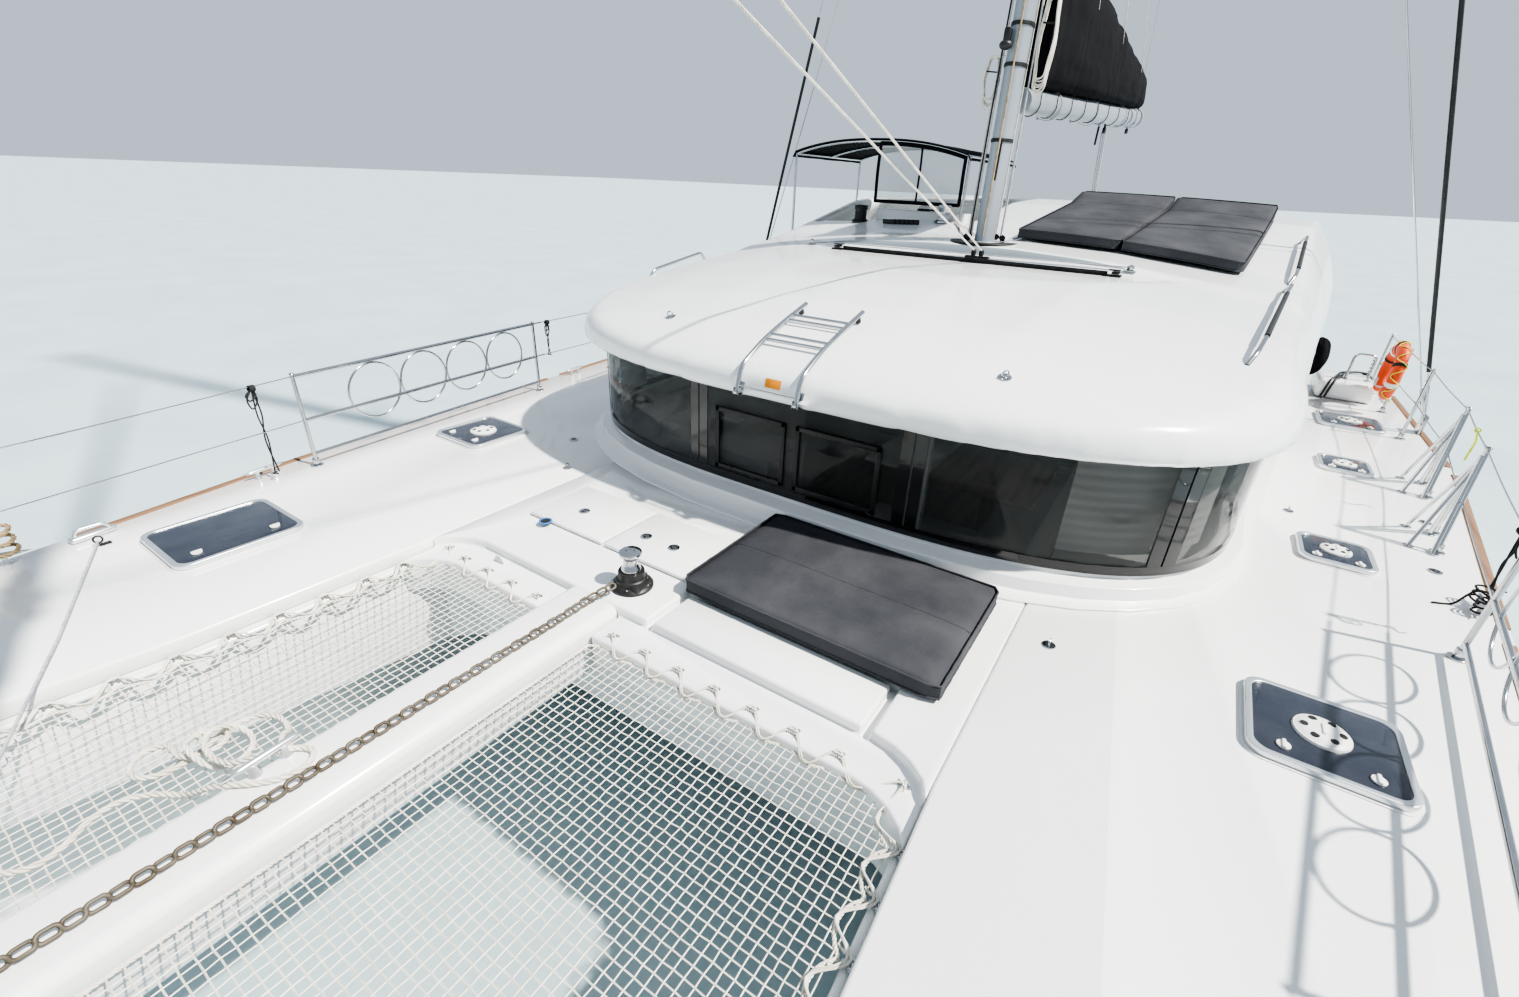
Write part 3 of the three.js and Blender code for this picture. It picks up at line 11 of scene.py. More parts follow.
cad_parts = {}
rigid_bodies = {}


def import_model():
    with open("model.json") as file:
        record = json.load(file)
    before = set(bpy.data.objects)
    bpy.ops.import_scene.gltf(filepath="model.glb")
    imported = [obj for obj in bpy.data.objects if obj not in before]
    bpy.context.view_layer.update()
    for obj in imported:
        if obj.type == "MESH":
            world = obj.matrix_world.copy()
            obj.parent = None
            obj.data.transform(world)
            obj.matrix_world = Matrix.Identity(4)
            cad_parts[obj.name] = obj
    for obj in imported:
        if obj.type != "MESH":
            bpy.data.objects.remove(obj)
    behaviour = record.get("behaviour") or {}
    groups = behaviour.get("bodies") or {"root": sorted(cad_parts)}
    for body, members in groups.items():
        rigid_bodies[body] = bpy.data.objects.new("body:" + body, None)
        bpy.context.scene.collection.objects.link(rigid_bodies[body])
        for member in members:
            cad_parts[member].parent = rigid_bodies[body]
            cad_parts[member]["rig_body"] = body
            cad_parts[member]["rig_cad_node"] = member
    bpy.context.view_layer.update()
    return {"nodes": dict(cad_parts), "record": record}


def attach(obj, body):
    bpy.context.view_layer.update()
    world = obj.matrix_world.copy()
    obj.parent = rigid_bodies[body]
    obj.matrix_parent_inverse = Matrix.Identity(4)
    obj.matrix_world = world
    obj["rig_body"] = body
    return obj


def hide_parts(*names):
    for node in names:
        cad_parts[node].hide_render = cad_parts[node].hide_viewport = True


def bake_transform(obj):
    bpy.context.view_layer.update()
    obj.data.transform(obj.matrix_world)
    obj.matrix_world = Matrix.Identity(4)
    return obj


bl_info = {
    "name": "Sailing catamaran dressing",
    "version": (1, 0, 0),
    "blender": (4, 5, 0),
    "location": "3D View > Sidebar > Catamaran",
    "description": "Builds the finishes, fittings, soft goods and ropes of a cruising catamaran",
    "category": "Object",
}

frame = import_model()
NODES = frame["nodes"]
SIDES = (("port", 1), ("starboard", -1))
BODY_OF = {n: body for body, members in frame["record"]["behaviour"]["bodies"].items() for n in members}
SLOT_OF = {row["node"]: row["material_slot"] for row in frame["record"]["subparts"]}
UP = Vector((0, 0, 1))
DOWN = Vector((0, 0, -1))
# Height just above the side decks
ON_DECK = 1.6505

# Deck edge of the port side: x, y
DECK_EDGE = (
    (6.4, 2.545), (6.25, 2.62), (5.65, 2.795), (5.25, 2.865), (4.7, 2.955),
    (3.5, 3.19), (1.0, 3.5), (-1.7, 3.84), (-4.0, 3.85), (-4.7, 3.85),
)
# Inner edge of the bows: x, y
BOW_EDGE = ((6.4, 2.365), (6.25, 2.28), (5.65, 1.72), (5.25, 1.57), (4.7, 1.5), (3.5, 1.45), (-4.7, 1.45))


def read_edge(rows, x):
    """Straight-line reading of rows whose x falls."""
    if x >= rows[0][0]:
        return rows[0][1]
    for (x0, y0), (x1, y1) in zip(rows, rows[1:]):
        if x >= x1:
            return y0 + (y1 - y0) * (x0 - x) / (x0 - x1)
    return rows[-1][1]


def edge_y(x):
    """How far outboard the port deck's edge lies at x."""
    return read_edge(DECK_EDGE, x)


def deselect():
    """Leaves nothing selected."""
    bpy.ops.object.select_all(action="DESELECT")


def pick(obj):
    """Makes obj the only selected and the active object."""
    deselect()
    obj.select_set(True)
    bpy.context.view_layer.objects.active = obj
    return obj


def settle(obj):
    """Puts an object's place into its mesh."""
    pick(obj)
    bpy.ops.object.transform_apply(location=True, rotation=True, scale=True)
    return obj


def modify(obj, kind, **settings):
    """Adds one modifier and applies it."""
    pick(obj)
    modifier = obj.modifiers.new(kind.title(), kind)
    for key, value in settings.items():
        setattr(modifier, key, value)
    bpy.ops.object.modifier_apply(modifier=modifier.name)
    return obj


def soften(obj, width, segments=2, angle=0.6):
    """Rounds the sharp edges."""
    return modify(obj, "BEVEL", width=width, segments=segments, limit_method="ANGLE", angle_limit=angle)


def turn_to(axis):
    """Rotation that brings +Z onto an axis."""
    return Vector(axis).to_track_quat("Z", "Y").to_euler()


def block(size, at, edge=0.0, turn=(0, 0, 0), segments=2):
    """A box of a size, with rounded edges."""
    deselect()
    bpy.ops.mesh.primitive_cube_add(size=1, location=at, rotation=turn)
    obj = bpy.context.object
    obj.scale = size
    settle(obj)
    if edge:
        soften(obj, edge, segments)
    return obj


def drum(radius, depth, at, axis=(0, 0, 1), sides=32, edge=0.0):
    """A round bar."""
    deselect()
    bpy.ops.mesh.primitive_cone_add(
        vertices=sides, radius1=radius, radius2=radius, depth=depth, location=at, rotation=turn_to(axis)
    )
    obj = settle(bpy.context.object)
    if edge:
        soften(obj, edge)
    return obj


def hoop(radius, thick, at, axis=(0, 0, 1), around=40, sides=10):
    """A ring of round bar."""
    deselect()
    bpy.ops.mesh.primitive_torus_add(
        major_radius=radius, minor_radius=thick, location=at, rotation=turn_to(axis),
        major_segments=around, minor_segments=sides,
    )
    return settle(bpy.context.object)


def ball(radius, at, scale=(1, 1, 1), sides=20):
    """A sphere, stretched by scale."""
    deselect()
    bpy.ops.mesh.primitive_uv_sphere_add(radius=radius, location=at, segments=sides, ring_count=sides // 2)
    obj = bpy.context.object
    obj.scale = scale
    return settle(obj)


def traced(runs, closed=False, at=(0, 0, 0), **settings):
    """A mesh made from a curve through lists of points."""
    data = bpy.data.curves.new("trace", "CURVE")
    for key, value in settings.items():
        setattr(data, key, value)
    for points in runs:
        spline = data.splines.new("POLY")
        spline.points.add(len(points) - 1)
        spline.use_cyclic_u = closed
        for slot, point in zip(spline.points, points):
            slot.co = (*point, 1)
    obj = bpy.data.objects.new("trace", data)
    obj.location = at
    bpy.context.scene.collection.objects.link(obj)
    pick(obj)
    bpy.ops.object.convert(target="MESH")
    return bpy.context.object


def pipe(runs, radius, detail=2, closed=False):
    """Round bars that follow lists of points."""
    return traced(runs, closed, dimensions="3D", bevel_depth=radius, bevel_resolution=detail,
                  use_fill_caps=True)


def flow(points, steps=6):
    """Points of a smooth curve through the given ones."""
    nodes = [Vector(p) for p in points]
    ends = [nodes[0] * 2 - nodes[1], *nodes, nodes[-1] * 2 - nodes[-2]]
    out = []
    for a, b, c, d in zip(ends, ends[1:], ends[2:], ends[3:]):
        for i in range(steps):
            t = i / steps
            out.append(
                0.5 * ((2 * b) + (c - a) * t + (2 * a - 5 * b + 4 * c - d) * t ** 2
                       + (3 * b - a - 3 * c + d) * t ** 3)
            )
    return [*out, nodes[-1]]


def bend(points, radius, steps=5):
    """The points with each corner rounded."""
    nodes = [Vector(p) for p in points]
    out = [nodes[0]]
    for a, b, c in zip(nodes, nodes[1:], nodes[2:]):
        reach = min(radius, (a - b).length * 0.45, (c - b).length * 0.45)
        start = b + (a - b).normalized() * reach
        end = b + (c - b).normalized() * reach
        for i in range(steps + 1):
            t = i / steps
            out.append(start * (1 - t) ** 2 + b * 2 * t * (1 - t) + end * t ** 2)
    return [*out, nodes[-1]]


def round_z(radius, turns, z=0.0):
    """A step of a radius out from an upright axis, at a share of a whole turn, and up by z."""
    return Vector((radius * math.cos(math.tau * turns), radius * math.sin(math.tau * turns), z))


def rounded_plan(x0, x1, y0, y1, radius, steps=6):
    """Points of a rectangle with round corners."""
    corners = ((x1, y1, 0), (x0, y1, 1), (x0, y0, 2), (x1, y0, 3))
    points = []
    for x, y, quarter in corners:
        cx = x + (radius if x == x0 else -radius)
        cy = y + (radius if y == y0 else -radius)
        for i in range(steps + 1):
            angle = (quarter + i / steps) * math.pi / 2
            points.append((cx + radius * math.cos(angle), cy + radius * math.sin(angle)))
    return points


def plate(outlines, low, high, edge=0.0):
    """A flat plate between two heights: its outline, and then the outlines of its holes."""
    runs = [[(x, y, 0) for x, y in outline] for outline in outlines]
    return weld(settle(traced(
        runs, True, (0, 0, (high + low) / 2), dimensions="2D", fill_mode="BOTH",
        extrude=(high - low) / 2 - edge, bevel_depth=edge, bevel_resolution=2, offset=-edge,
    )))


def turned(profile, at, axis=(0, 0, 1), steps=32):
    """A turned shape from radius and height pairs along an axis."""
    obj = traced([[(radius, 0, height) for radius, height in profile]], dimensions="3D")
    modify(obj, "SCREW", steps=steps, render_steps=steps, axis="Z", use_merge_vertices=True)
    weld(obj)
    obj.location = at
    obj.rotation_euler = turn_to(axis)
    return settle(obj)


def weld(obj, distance=1e-5):
    """Merges doubled points and turns all faces outwards."""
    pick(obj)
    bpy.ops.object.mode_set(mode="EDIT")
    bpy.ops.mesh.select_all(action="SELECT")
    bpy.ops.mesh.remove_doubles(threshold=distance)
    bpy.ops.mesh.normals_make_consistent(inside=False)
    bpy.ops.object.mode_set(mode="OBJECT")
    return obj


def joined(parts):
    """Several objects as one."""
    deselect()
    for part in parts:
        part.select_set(True)
    bpy.context.view_layer.objects.active = parts[0]
    if len(parts) > 1:
        bpy.ops.object.join()
    return bpy.context.object


def copied(obj, mirror=False):
    """A copy with its own mesh, mirrored to the other side of the boat if asked."""
    new = obj.copy()
    new.data = obj.data.copy()
    bpy.context.scene.collection.objects.link(new)
    if mirror:
        new.scale = (1, -1, 1)
    settle(new)
    return weld(new, 1e-7) if mirror else new


def done(name, parts, finish, angle=0.6, body="boat"):
    """Joins parts into one named piece with its finish, riding on a body; body None leaves it free."""
    obj = joined(list(parts))
    obj.name = name
    obj.data.name = name
    obj.data.materials.clear()
    obj.data.materials.append(FINISH[finish])
    pick(obj)
    bpy.ops.object.shade_smooth_by_angle(angle=angle)
    if body:
        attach(obj, body)
    return obj


def stand_in(name, parts, finish, *nodes, angle=0.6):
    """A finished piece in place of CAD nodes, on their body."""
    piece = done(name, parts, finish, angle, BODY_OF[nodes[0]])
    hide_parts(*nodes)
    return piece


def merged(node):
    """A free copy of a CAD node with its doubled points merged and its flat faces joined."""
    source = NODES[node]
    obj = source.copy()
    obj.data = source.data.copy()
    bpy.context.scene.collection.objects.link(obj)
    obj.parent = None
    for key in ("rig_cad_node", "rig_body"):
        del obj[key]
    pick(obj)
    bpy.ops.object.mode_set(mode="EDIT")
    bpy.ops.mesh.select_all(action="SELECT")
    bpy.ops.mesh.remove_doubles(threshold=1e-4)
    bpy.ops.mesh.dissolve_limited(angle_limit=0.01)
    bpy.ops.object.mode_set(mode="OBJECT")
    return obj


class Sheet:
    """One material while its nodes are being laid out."""

    def __init__(self, name, colour, roughness, metallic=0.0, **sockets):
        self.material = bpy.data.materials.new(name)
        self.material.use_nodes = True
        self.tree = self.material.node_tree
        self.shader = self.tree.nodes["Principled BSDF"]
        self.shader.inputs["Base Color"].default_value = (*colour, 1)
        self.shader.inputs["Roughness"].default_value = roughness
        self.shader.inputs["Metallic"].default_value = metallic
        for key, value in sockets.items():
            self.shader.inputs[key.replace("_", " ")].default_value = value

    def group(self, effect, **values):
        """Adds a shared effect."""
        node = self.tree.nodes.new("ShaderNodeGroup")
        node.node_tree = effect
        for key, value in values.items():
            node.inputs[key.replace("_", " ")].default_value = value
        return node

    def feed(self, output, socket):
        """Joins an output to one of the shader's sockets."""
        self.tree.links.new(output, self.shader.inputs[socket])
        return self

    def patchy(self, light, dark, scale, share, **more):
        """Two colours mixed in soft patches."""
        node = self.group(PATCHES, Light=(*light, 1), Dark=(*dark, 1), Scale=scale, Share=share, **more)
        return self.feed(node.outputs["Colour"], "Base Color")

    def relief(self, scale, height, stretch=(1, 1, 1)):
        """A fine uneven surface."""
        node = self.group(RELIEF, Scale=scale, Height=height, Stretch=stretch)
        return self.feed(node.outputs["Normal"], "Normal")

    def woven(self, scale, height):
        """A woven surface."""
        node = self.group(WEAVE, Scale=scale, Height=height)
        return self.feed(node.outputs["Normal"], "Normal")


def new_effect(name, inputs, outputs):
    """An empty shader node group with sockets and its own input and output nodes."""
    tree = bpy.data.node_groups.new(name, "ShaderNodeTree")
    for label, kind, default in inputs:
        socket = tree.interface.new_socket(label, in_out="INPUT", socket_type="NodeSocket" + kind)
        socket.default_value = default
    for label, kind in outputs:
        tree.interface.new_socket(label, in_out="OUTPUT", socket_type="NodeSocket" + kind)
    return tree, tree.nodes.new("NodeGroupInput"), tree.nodes.new("NodeGroupOutput")


def put(tree, kind, **settings):
    """Adds a node; settings whose names are sockets fill those, and sockets given as outputs are linked."""
    node = tree.nodes.new("ShaderNode" + kind)
    for key, value in settings.items():
        label = key.replace("_", " ")
        if hasattr(node, key) and not isinstance(value, bpy.types.NodeSocket):
            setattr(node, key, value)
        elif isinstance(value, bpy.types.NodeSocket):
            tree.links.new(value, node.inputs[int(key[1:]) if key[1:].isdigit() else label])
        else:
            node.inputs[int(key[1:]) if key[1:].isdigit() else label].default_value = value
    return node


def patch_effect():
    """Soft patches of a second colour, with fine specks in them."""
    tree, given, result = new_effect(
        "Soft patches",
        (("Light", "Color", (1, 1, 1, 1)), ("Dark", "Color", (0, 0, 0, 1)), ("Scale", "Float", 1.0),
         ("Share", "Float", 0.5), ("Stretch", "Vector", (1, 1, 1))),
        (("Colour", "Color"), ("Mask", "Float")),
    )
    place = put(tree, "TexCoord")
    sized = put(tree, "VectorMath", operation="MULTIPLY", i0=place.outputs["Object"],
                i1=given.outputs["Stretch"])
    cloud = put(tree, "TexNoise", Vector=sized.outputs[0], Scale=given.outputs["Scale"], Detail=6.0)
    spread = put(tree, "MapRange", Value=cloud.outputs["Fac"], From_Min=0.38, From_Max=0.68)
    share = put(tree, "Math", operation="MULTIPLY", i0=spread.outputs[0], i1=given.outputs["Share"])
    mix = put(tree, "MixRGB", Fac=share.outputs[0], Color1=given.outputs["Light"], Color2=given.outputs["Dark"])
    tree.links.new(mix.outputs[0], result.inputs["Colour"])
    tree.links.new(share.outputs[0], result.inputs["Mask"])
    return tree


def relief_effect():
    """Small bumps at one scale."""
    tree, given, result = new_effect(
        "Fine relief",
        (("Scale", "Float", 50.0), ("Height", "Float", 0.001), ("Stretch", "Vector", (1, 1, 1))),
        (("Normal", "Vector"),),
    )
    place = put(tree, "TexCoord")
    sized = put(tree, "VectorMath", operation="MULTIPLY", i0=place.outputs["Object"],
                i1=given.outputs["Stretch"])
    grain = put(tree, "TexNoise", Vector=sized.outputs[0], Scale=given.outputs["Scale"], Detail=4.0)
    bump = put(tree, "Bump", Height=grain.outputs["Fac"], Distance=given.outputs["Height"], Strength=1.0)
    tree.links.new(bump.outputs["Normal"], result.inputs["Normal"])
    return tree


def weave_effect():
    """Threads that cross at right angles, with soft creases under them."""
    tree, given, result = new_effect(
        "Weave", (("Scale", "Float", 600.0), ("Height", "Float", 0.0005)),
        (("Normal", "Vector"), ("Mask", "Float"))
    )
    place = put(tree, "TexCoord")
    threads = []
    for axis in ("X", "Y", "Z"):
        wave = put(tree, "TexWave", Vector=place.outputs["Object"], Scale=given.outputs["Scale"])
        wave.bands_direction = axis
        threads.append(wave.outputs["Fac"])
    pair = put(tree, "Math", operation="MAXIMUM", i0=threads[0], i1=threads[1])
    third = put(tree, "Math", operation="MAXIMUM", i0=pair.outputs[0], i1=threads[2])
    crease = put(tree, "TexNoise", Vector=place.outputs["Object"], Scale=7.0, Detail=3.0)
    bump = put(tree, "Bump", Height=third.outputs[0], Distance=given.outputs["Height"], Strength=0.6)
    soft = put(tree, "Bump", Height=crease.outputs["Fac"], Distance=0.02, Strength=0.35,
               Normal=bump.outputs["Normal"])
    tree.links.new(soft.outputs["Normal"], result.inputs["Normal"])
    tree.links.new(third.outputs[0], result.inputs["Mask"])
    return tree


PATCHES = patch_effect()
RELIEF = relief_effect()
WEAVE = weave_effect()


def make_finishes(looks):
    """All the boat's finishes, by plain names."""
    hull_white = tuple(looks.gelcoat)
    sheets = {
        "gelcoat": Sheet("Gelcoat", hull_white, 0.22, Coat_Weight=0.4, Coat_Roughness=0.06)
            .patchy(hull_white, tuple(c * 0.91 for c in hull_white), 0.7, 0.35).relief(3.0, 0.0012),
        "track": Sheet("Black track", (0.02, 0.02, 0.022), 0.3, 0.6)
            .patchy((0.02, 0.02, 0.022), (0.05, 0.05, 0.05), 12.0, 0.5).relief(200.0, 0.0003),
        "grip": Sheet("Non-slip gelcoat", hull_white, 0.55)
            .patchy((0.84, 0.85, 0.84), (0.74, 0.75, 0.74), 1.3, 0.5).relief(260.0, 0.0012),
        "inside": Sheet("Shadowed gelcoat", (0.7, 0.71, 0.71), 0.4)
            .patchy((0.72, 0.71, 0.68), (0.6, 0.59, 0.56), 1.0, 0.4).relief(30.0, 0.0004),
        "underwater_paint": Sheet("Antifouling", looks.underwater, 0.75)
            .patchy(looks.underwater, (0.05, 0.07, 0.08), 2.2, 0.8).relief(60.0, 0.001),
        "alloy": Sheet("Anodised alloy", (0.72, 0.74, 0.76), 0.34, 0.85)
            .patchy((0.74, 0.76, 0.78), (0.6, 0.62, 0.64), 3.0, 0.5).relief(90.0, 0.0002, (1, 1, 0.05)),
        "spar": Sheet("Painted spar", (0.33, 0.36, 0.4), 0.38, 0.25)
            .patchy((0.34, 0.37, 0.41), (0.29, 0.31, 0.34), 2.0, 0.5).relief(90.0, 0.0002, (1, 1, 0.05)),
        # Painted shade: grey for the forward-facing riser behind the jib track, white roof that lies in shade
        "riser_shade": Sheet("Painted shade behind jib track", (0.22, 0.26, 0.29), 0.5)
            .patchy((0.22, 0.26, 0.29), (0.19, 0.22, 0.25), 2.0, 0.5).relief(40.0, 0.0003),
        "stainless": Sheet("Polished stainless", (0.52, 0.53, 0.55), 0.18, 1.0)
            .patchy((0.54, 0.55, 0.57), (0.4, 0.39, 0.37), 9.0, 0.35).relief(160.0, 0.0001),
        "glass": Sheet("Tinted glass", (0.03, 0.035, 0.035), 0.04, IOR=1.45, Alpha=0.4)
            .patchy((0.05, 0.055, 0.055), (0.035, 0.04, 0.04), 2.0, 0.6).relief(1.5, 0.0005),
        "band": Sheet("Black window band", (0.012, 0.012, 0.013), 0.12, Coat_Weight=0.5)
            .patchy((0.012, 0.012, 0.013), (0.022, 0.022, 0.022), 6.0, 0.6).relief(2.0, 0.0004),
        "smoked_acrylic": Sheet("Smoked acrylic", (0.02, 0.024, 0.035), 0.16, Coat_Weight=0.6)
            .patchy((0.02, 0.025, 0.04), (0.06, 0.065, 0.08), 5.0, 0.5).woven(420.0, 0.0003),
        "black": Sheet("Black plastic", (0.02, 0.02, 0.02), 0.45)
            .patchy((0.018, 0.018, 0.018), (0.05, 0.05, 0.05), 12.0, 0.4).relief(300.0, 0.0003),
        "white": Sheet("White plastic", (0.8, 0.8, 0.78), 0.35)
            .patchy((0.82, 0.82, 0.8), (0.7, 0.69, 0.66), 14.0, 0.5).relief(220.0, 0.0002),
        "canvas": Sheet("Black canvas", (0.01, 0.01, 0.011), 0.9, Specular_IOR_Level=0.12)
            .patchy(looks.canvas, (0.018, 0.018, 0.02), 3.0, 0.5).woven(380.0, 0.0006),
        "upholstery": Sheet("Grey upholstery", (0.04, 0.042, 0.05), 0.75, Specular_IOR_Level=0.25)
            .patchy(looks.upholstery, (0.09, 0.091, 0.1), 2.6, 0.7).woven(520.0, 0.0004),
        "orange_cover": Sheet("Orange cover", (0.8, 0.13, 0.03), 0.5, Sheen_Weight=0.1)
            .patchy(looks.cover, (0.6, 0.08, 0.02), 6.0, 0.6).woven(260.0, 0.0006),
        "sailcloth": Sheet("Sailcloth", (0.8, 0.8, 0.77), 0.7)
            .patchy((0.82, 0.82, 0.79), (0.68, 0.67, 0.62), 1.6, 0.6).woven(300.0, 0.0005),
        "rope": Sheet("White cord", (0.74, 0.7, 0.62), 0.85)
            .patchy((0.78, 0.75, 0.68), (0.55, 0.5, 0.42), 18.0, 0.7).relief(500.0, 0.0015),
        "net": Sheet("Net twine", (0.76, 0.72, 0.64), 0.85)
            .patchy((0.8, 0.77, 0.7), (0.6, 0.54, 0.45), 9.0, 0.6).relief(700.0, 0.001),
        "tan": Sheet("Tan cord", (0.45, 0.34, 0.2), 0.85)
            .patchy((0.52, 0.4, 0.25), (0.3, 0.2, 0.1), 22.0, 0.8).relief(420.0, 0.002),
        "line": Sheet("Grey line", (0.42, 0.43, 0.45), 0.8)
            .patchy((0.5, 0.5, 0.52), (0.3, 0.31, 0.34), 40.0, 0.8).relief(700.0, 0.001),
        "lashing": Sheet("Black line", (0.015, 0.015, 0.016), 0.8)
            .patchy((0.015, 0.015, 0.016), (0.05, 0.05, 0.05), 40.0, 0.6).relief(700.0, 0.001),
        "yellow": Sheet("Yellow line", (0.7, 0.75, 0.1), 0.75)
            .patchy((0.72, 0.78, 0.12), (0.4, 0.42, 0.06), 40.0, 0.6).relief(700.0, 0.001),
        "teak": Sheet("Teak", (0.22, 0.12, 0.065), 0.6)
            .patchy((0.26, 0.15, 0.085), (0.16, 0.085, 0.045), 9.0, 0.9, Stretch=(0.25, 4, 4))
            .relief(60.0, 0.0015, (0.1, 3, 3)),
        "chain": Sheet("Galvanised chain", (0.15, 0.13, 0.1), 0.6, 0.5)
            .patchy((0.17, 0.15, 0.12), (0.08, 0.055, 0.03), 14.0, 0.8).relief(220.0, 0.001),
        "bronze": Sheet("Bronze", (0.5, 0.36, 0.17), 0.35, 1.0)
            .patchy((0.52, 0.38, 0.18), (0.3, 0.24, 0.14), 14.0, 0.7).relief(120.0, 0.0004),
        "wood": Sheet("Cabin wood", (0.32, 0.22, 0.13), 0.4)
            .patchy((0.36, 0.25, 0.15), (0.22, 0.14, 0.08), 5.0, 0.9, Stretch=(0.2, 3, 3))
            .relief(50.0, 0.0004, (0.1, 3, 3)),
        "label": Sheet("Orange label", (0.85, 0.3, 0.03), 0.4)
            .patchy((0.88, 0.32, 0.03), (0.7, 0.22, 0.02), 30.0, 0.5).relief(300.0, 0.0001),
        "blue": Sheet("Blue cap", (0.05, 0.2, 0.5), 0.35)
            .patchy((0.05, 0.2, 0.5), (0.03, 0.12, 0.3), 40.0, 0.5).relief(300.0, 0.0001),
        "clear": Sheet("Clear sheet", (0.6, 0.62, 0.62), 0.12, Alpha=0.35)
            .patchy((0.62, 0.64, 0.64), (0.5, 0.5, 0.5), 3.0, 0.5).relief(6.0, 0.002),
        "floor": Sheet("Pale floor", (0.5, 0.6, 0.63), 0.5)
            .patchy((0.5, 0.6, 0.63), (0.42, 0.53, 0.56), 0.5, 0.6).relief(2.0, 0.004),
    }
    return {name: sheet.material for name, sheet in sheets.items()}


# The finishes by name, filled by the first operator
FINISH = {}


class CatamaranView(bpy.types.PropertyGroup):
    """Where the picture is taken from, and its light."""

    place: bpy.props.FloatVectorProperty(
        name="Camera place", description="Where the camera stands, in the boat's frame",
        default=(5.2, 1.761, 3.523), subtype="TRANSLATION", unit="LENGTH",
    )
    yaw: bpy.props.FloatProperty(
        name="Yaw", description="Turn of the view from straight aft", default=math.radians(32.643),
        subtype="ANGLE", unit="ROTATION",
    )
    pitch: bpy.props.FloatProperty(
        name="Pitch", description="Tilt of the view below the horizon", default=math.radians(26.299),
        subtype="ANGLE", unit="ROTATION",
    )
    roll: bpy.props.FloatProperty(
        name="Roll", description="Turn of the picture about the view", default=math.radians(2.535),
        subtype="ANGLE", unit="ROTATION",
    )
    lens: bpy.props.FloatProperty(
        name="Lens", description="Focal length on a 36 mm sensor", default=15.256, min=5, unit="CAMERA",
    )
    sun: bpy.props.FloatVectorProperty(
        name="Sun", description="Direction towards the sun", default=(-0.17, 0.78, 1.0), subtype="XYZ",
    )
    sun_strength: bpy.props.FloatProperty(
        name="Sun strength", description="Strength of the sun", default=5.2, min=0,
    )
    sky_strength: bpy.props.FloatProperty(
        name="Sky strength", description="Strength of the sky", default=0.5, min=0,
    )


class CatamaranSizes(bpy.types.PropertyGroup):
    """Sizes of the fittings and soft goods."""

    net_pitch: bpy.props.FloatProperty(
        name="Net mesh", description="Side of one square of the nets", default=0.038, min=0.02, unit="LENGTH",
    )
    net_cord: bpy.props.FloatProperty(
        name="Net cord", description="Diameter of the nets' cord", default=0.0052, min=0.001, unit="LENGTH",
    )
    clip_pitch: bpy.props.FloatProperty(
        name="Clip spacing", description="Distance between the nets' clips", default=0.195, min=0.05,
        unit="LENGTH",
    )
    rope_lay: bpy.props.FloatProperty(
        name="Rope lay", description="Length of one turn of the mooring rope's strands", default=0.085,
        min=0.02, unit="LENGTH",
    )
    wire: bpy.props.FloatProperty(
        name="Lifeline", description="Diameter of the lifelines", default=0.008, min=0.002, unit="LENGTH",
    )
    tube: bpy.props.FloatProperty(
        name="Rail tube", description="Diameter of posts and rails", default=0.026, min=0.01, unit="LENGTH",
    )
    piping: bpy.props.FloatProperty(
        name="Piping", description="Diameter of the cord sewn into the pads' edges", default=0.011, min=0.003,
        unit="LENGTH",
    )


class CatamaranLooks(bpy.types.PropertyGroup):
    """Colours that differ from boat to boat."""

    gelcoat: bpy.props.FloatVectorProperty(
        name="Gelcoat", description="Hulls, decks and roof", default=(0.86, 0.87, 0.86), min=0, max=1,
        subtype="COLOR",
    )
    underwater: bpy.props.FloatVectorProperty(
        name="Antifouling", description="Paint below the waterline", default=(0.02, 0.03, 0.07), min=0, max=1,
        subtype="COLOR",
    )
    upholstery: bpy.props.FloatVectorProperty(
        name="Pads", description="Sun pads and cushion", default=(0.048, 0.05, 0.057), min=0, max=1,
        subtype="COLOR",
    )
    canvas: bpy.props.FloatVectorProperty(
        name="Canvas", description="Sail bag and awning", default=(0.013, 0.013, 0.015), min=0, max=1,
        subtype="COLOR",
    )
    cover: bpy.props.FloatVectorProperty(
        name="Lifebuoy cover", description="Cover of the lifebuoy", default=(0.8, 0.09, 0.02), min=0, max=1,
        subtype="COLOR",
    )


def even(points, step):
    """A path's points spaced evenly along it."""
    nodes = [Vector(p) for p in points]
    length = path_length(nodes)
    count = max(1, round(length / step))
    gap = length / count
    out = [nodes[0].copy()]
    owed = gap
    for a, b in zip(nodes, nodes[1:]):
        run = (b - a).length
        if not run:
            continue
        at = owed
        while at <= run + 1e-9 and len(out) < count:
            out.append(a.lerp(b, at / run))
            at += gap
        owed = at - run
    return [*out, nodes[-1].copy()]


def path_length(points):
    """Length of a run of points."""
    return sum((Vector(b) - Vector(a)).length for a, b in zip(points, points[1:]))


def laid(points, radius, lay, detail=1):
    """Three strands twisted about a path."""
    path = even(points, lay / 11)
    runs = [[], [], []]
    side = Vector((0.31, 0.2, 0.93))
    travelled = 0.0
    for i, point in enumerate(path):
        way = (path[min(i + 1, len(path) - 1)] - path[max(i - 1, 0)]).normalized()
        side = (side - way * side.dot(way)).normalized()
        other = way.cross(side)
        for k, run in enumerate(runs):
            angle = math.tau * (travelled / lay + k / 3)
            run.append(point + (side * math.cos(angle) + other * math.sin(angle)) * radius * 0.53)
        if i + 1 < len(path):
            travelled += (path[i + 1] - point).length
    return pipe(runs, radius * 0.47, detail)


def mix(a, b, t):
    """The value a share t of the way from a to b."""
    return a + (b - a) * t


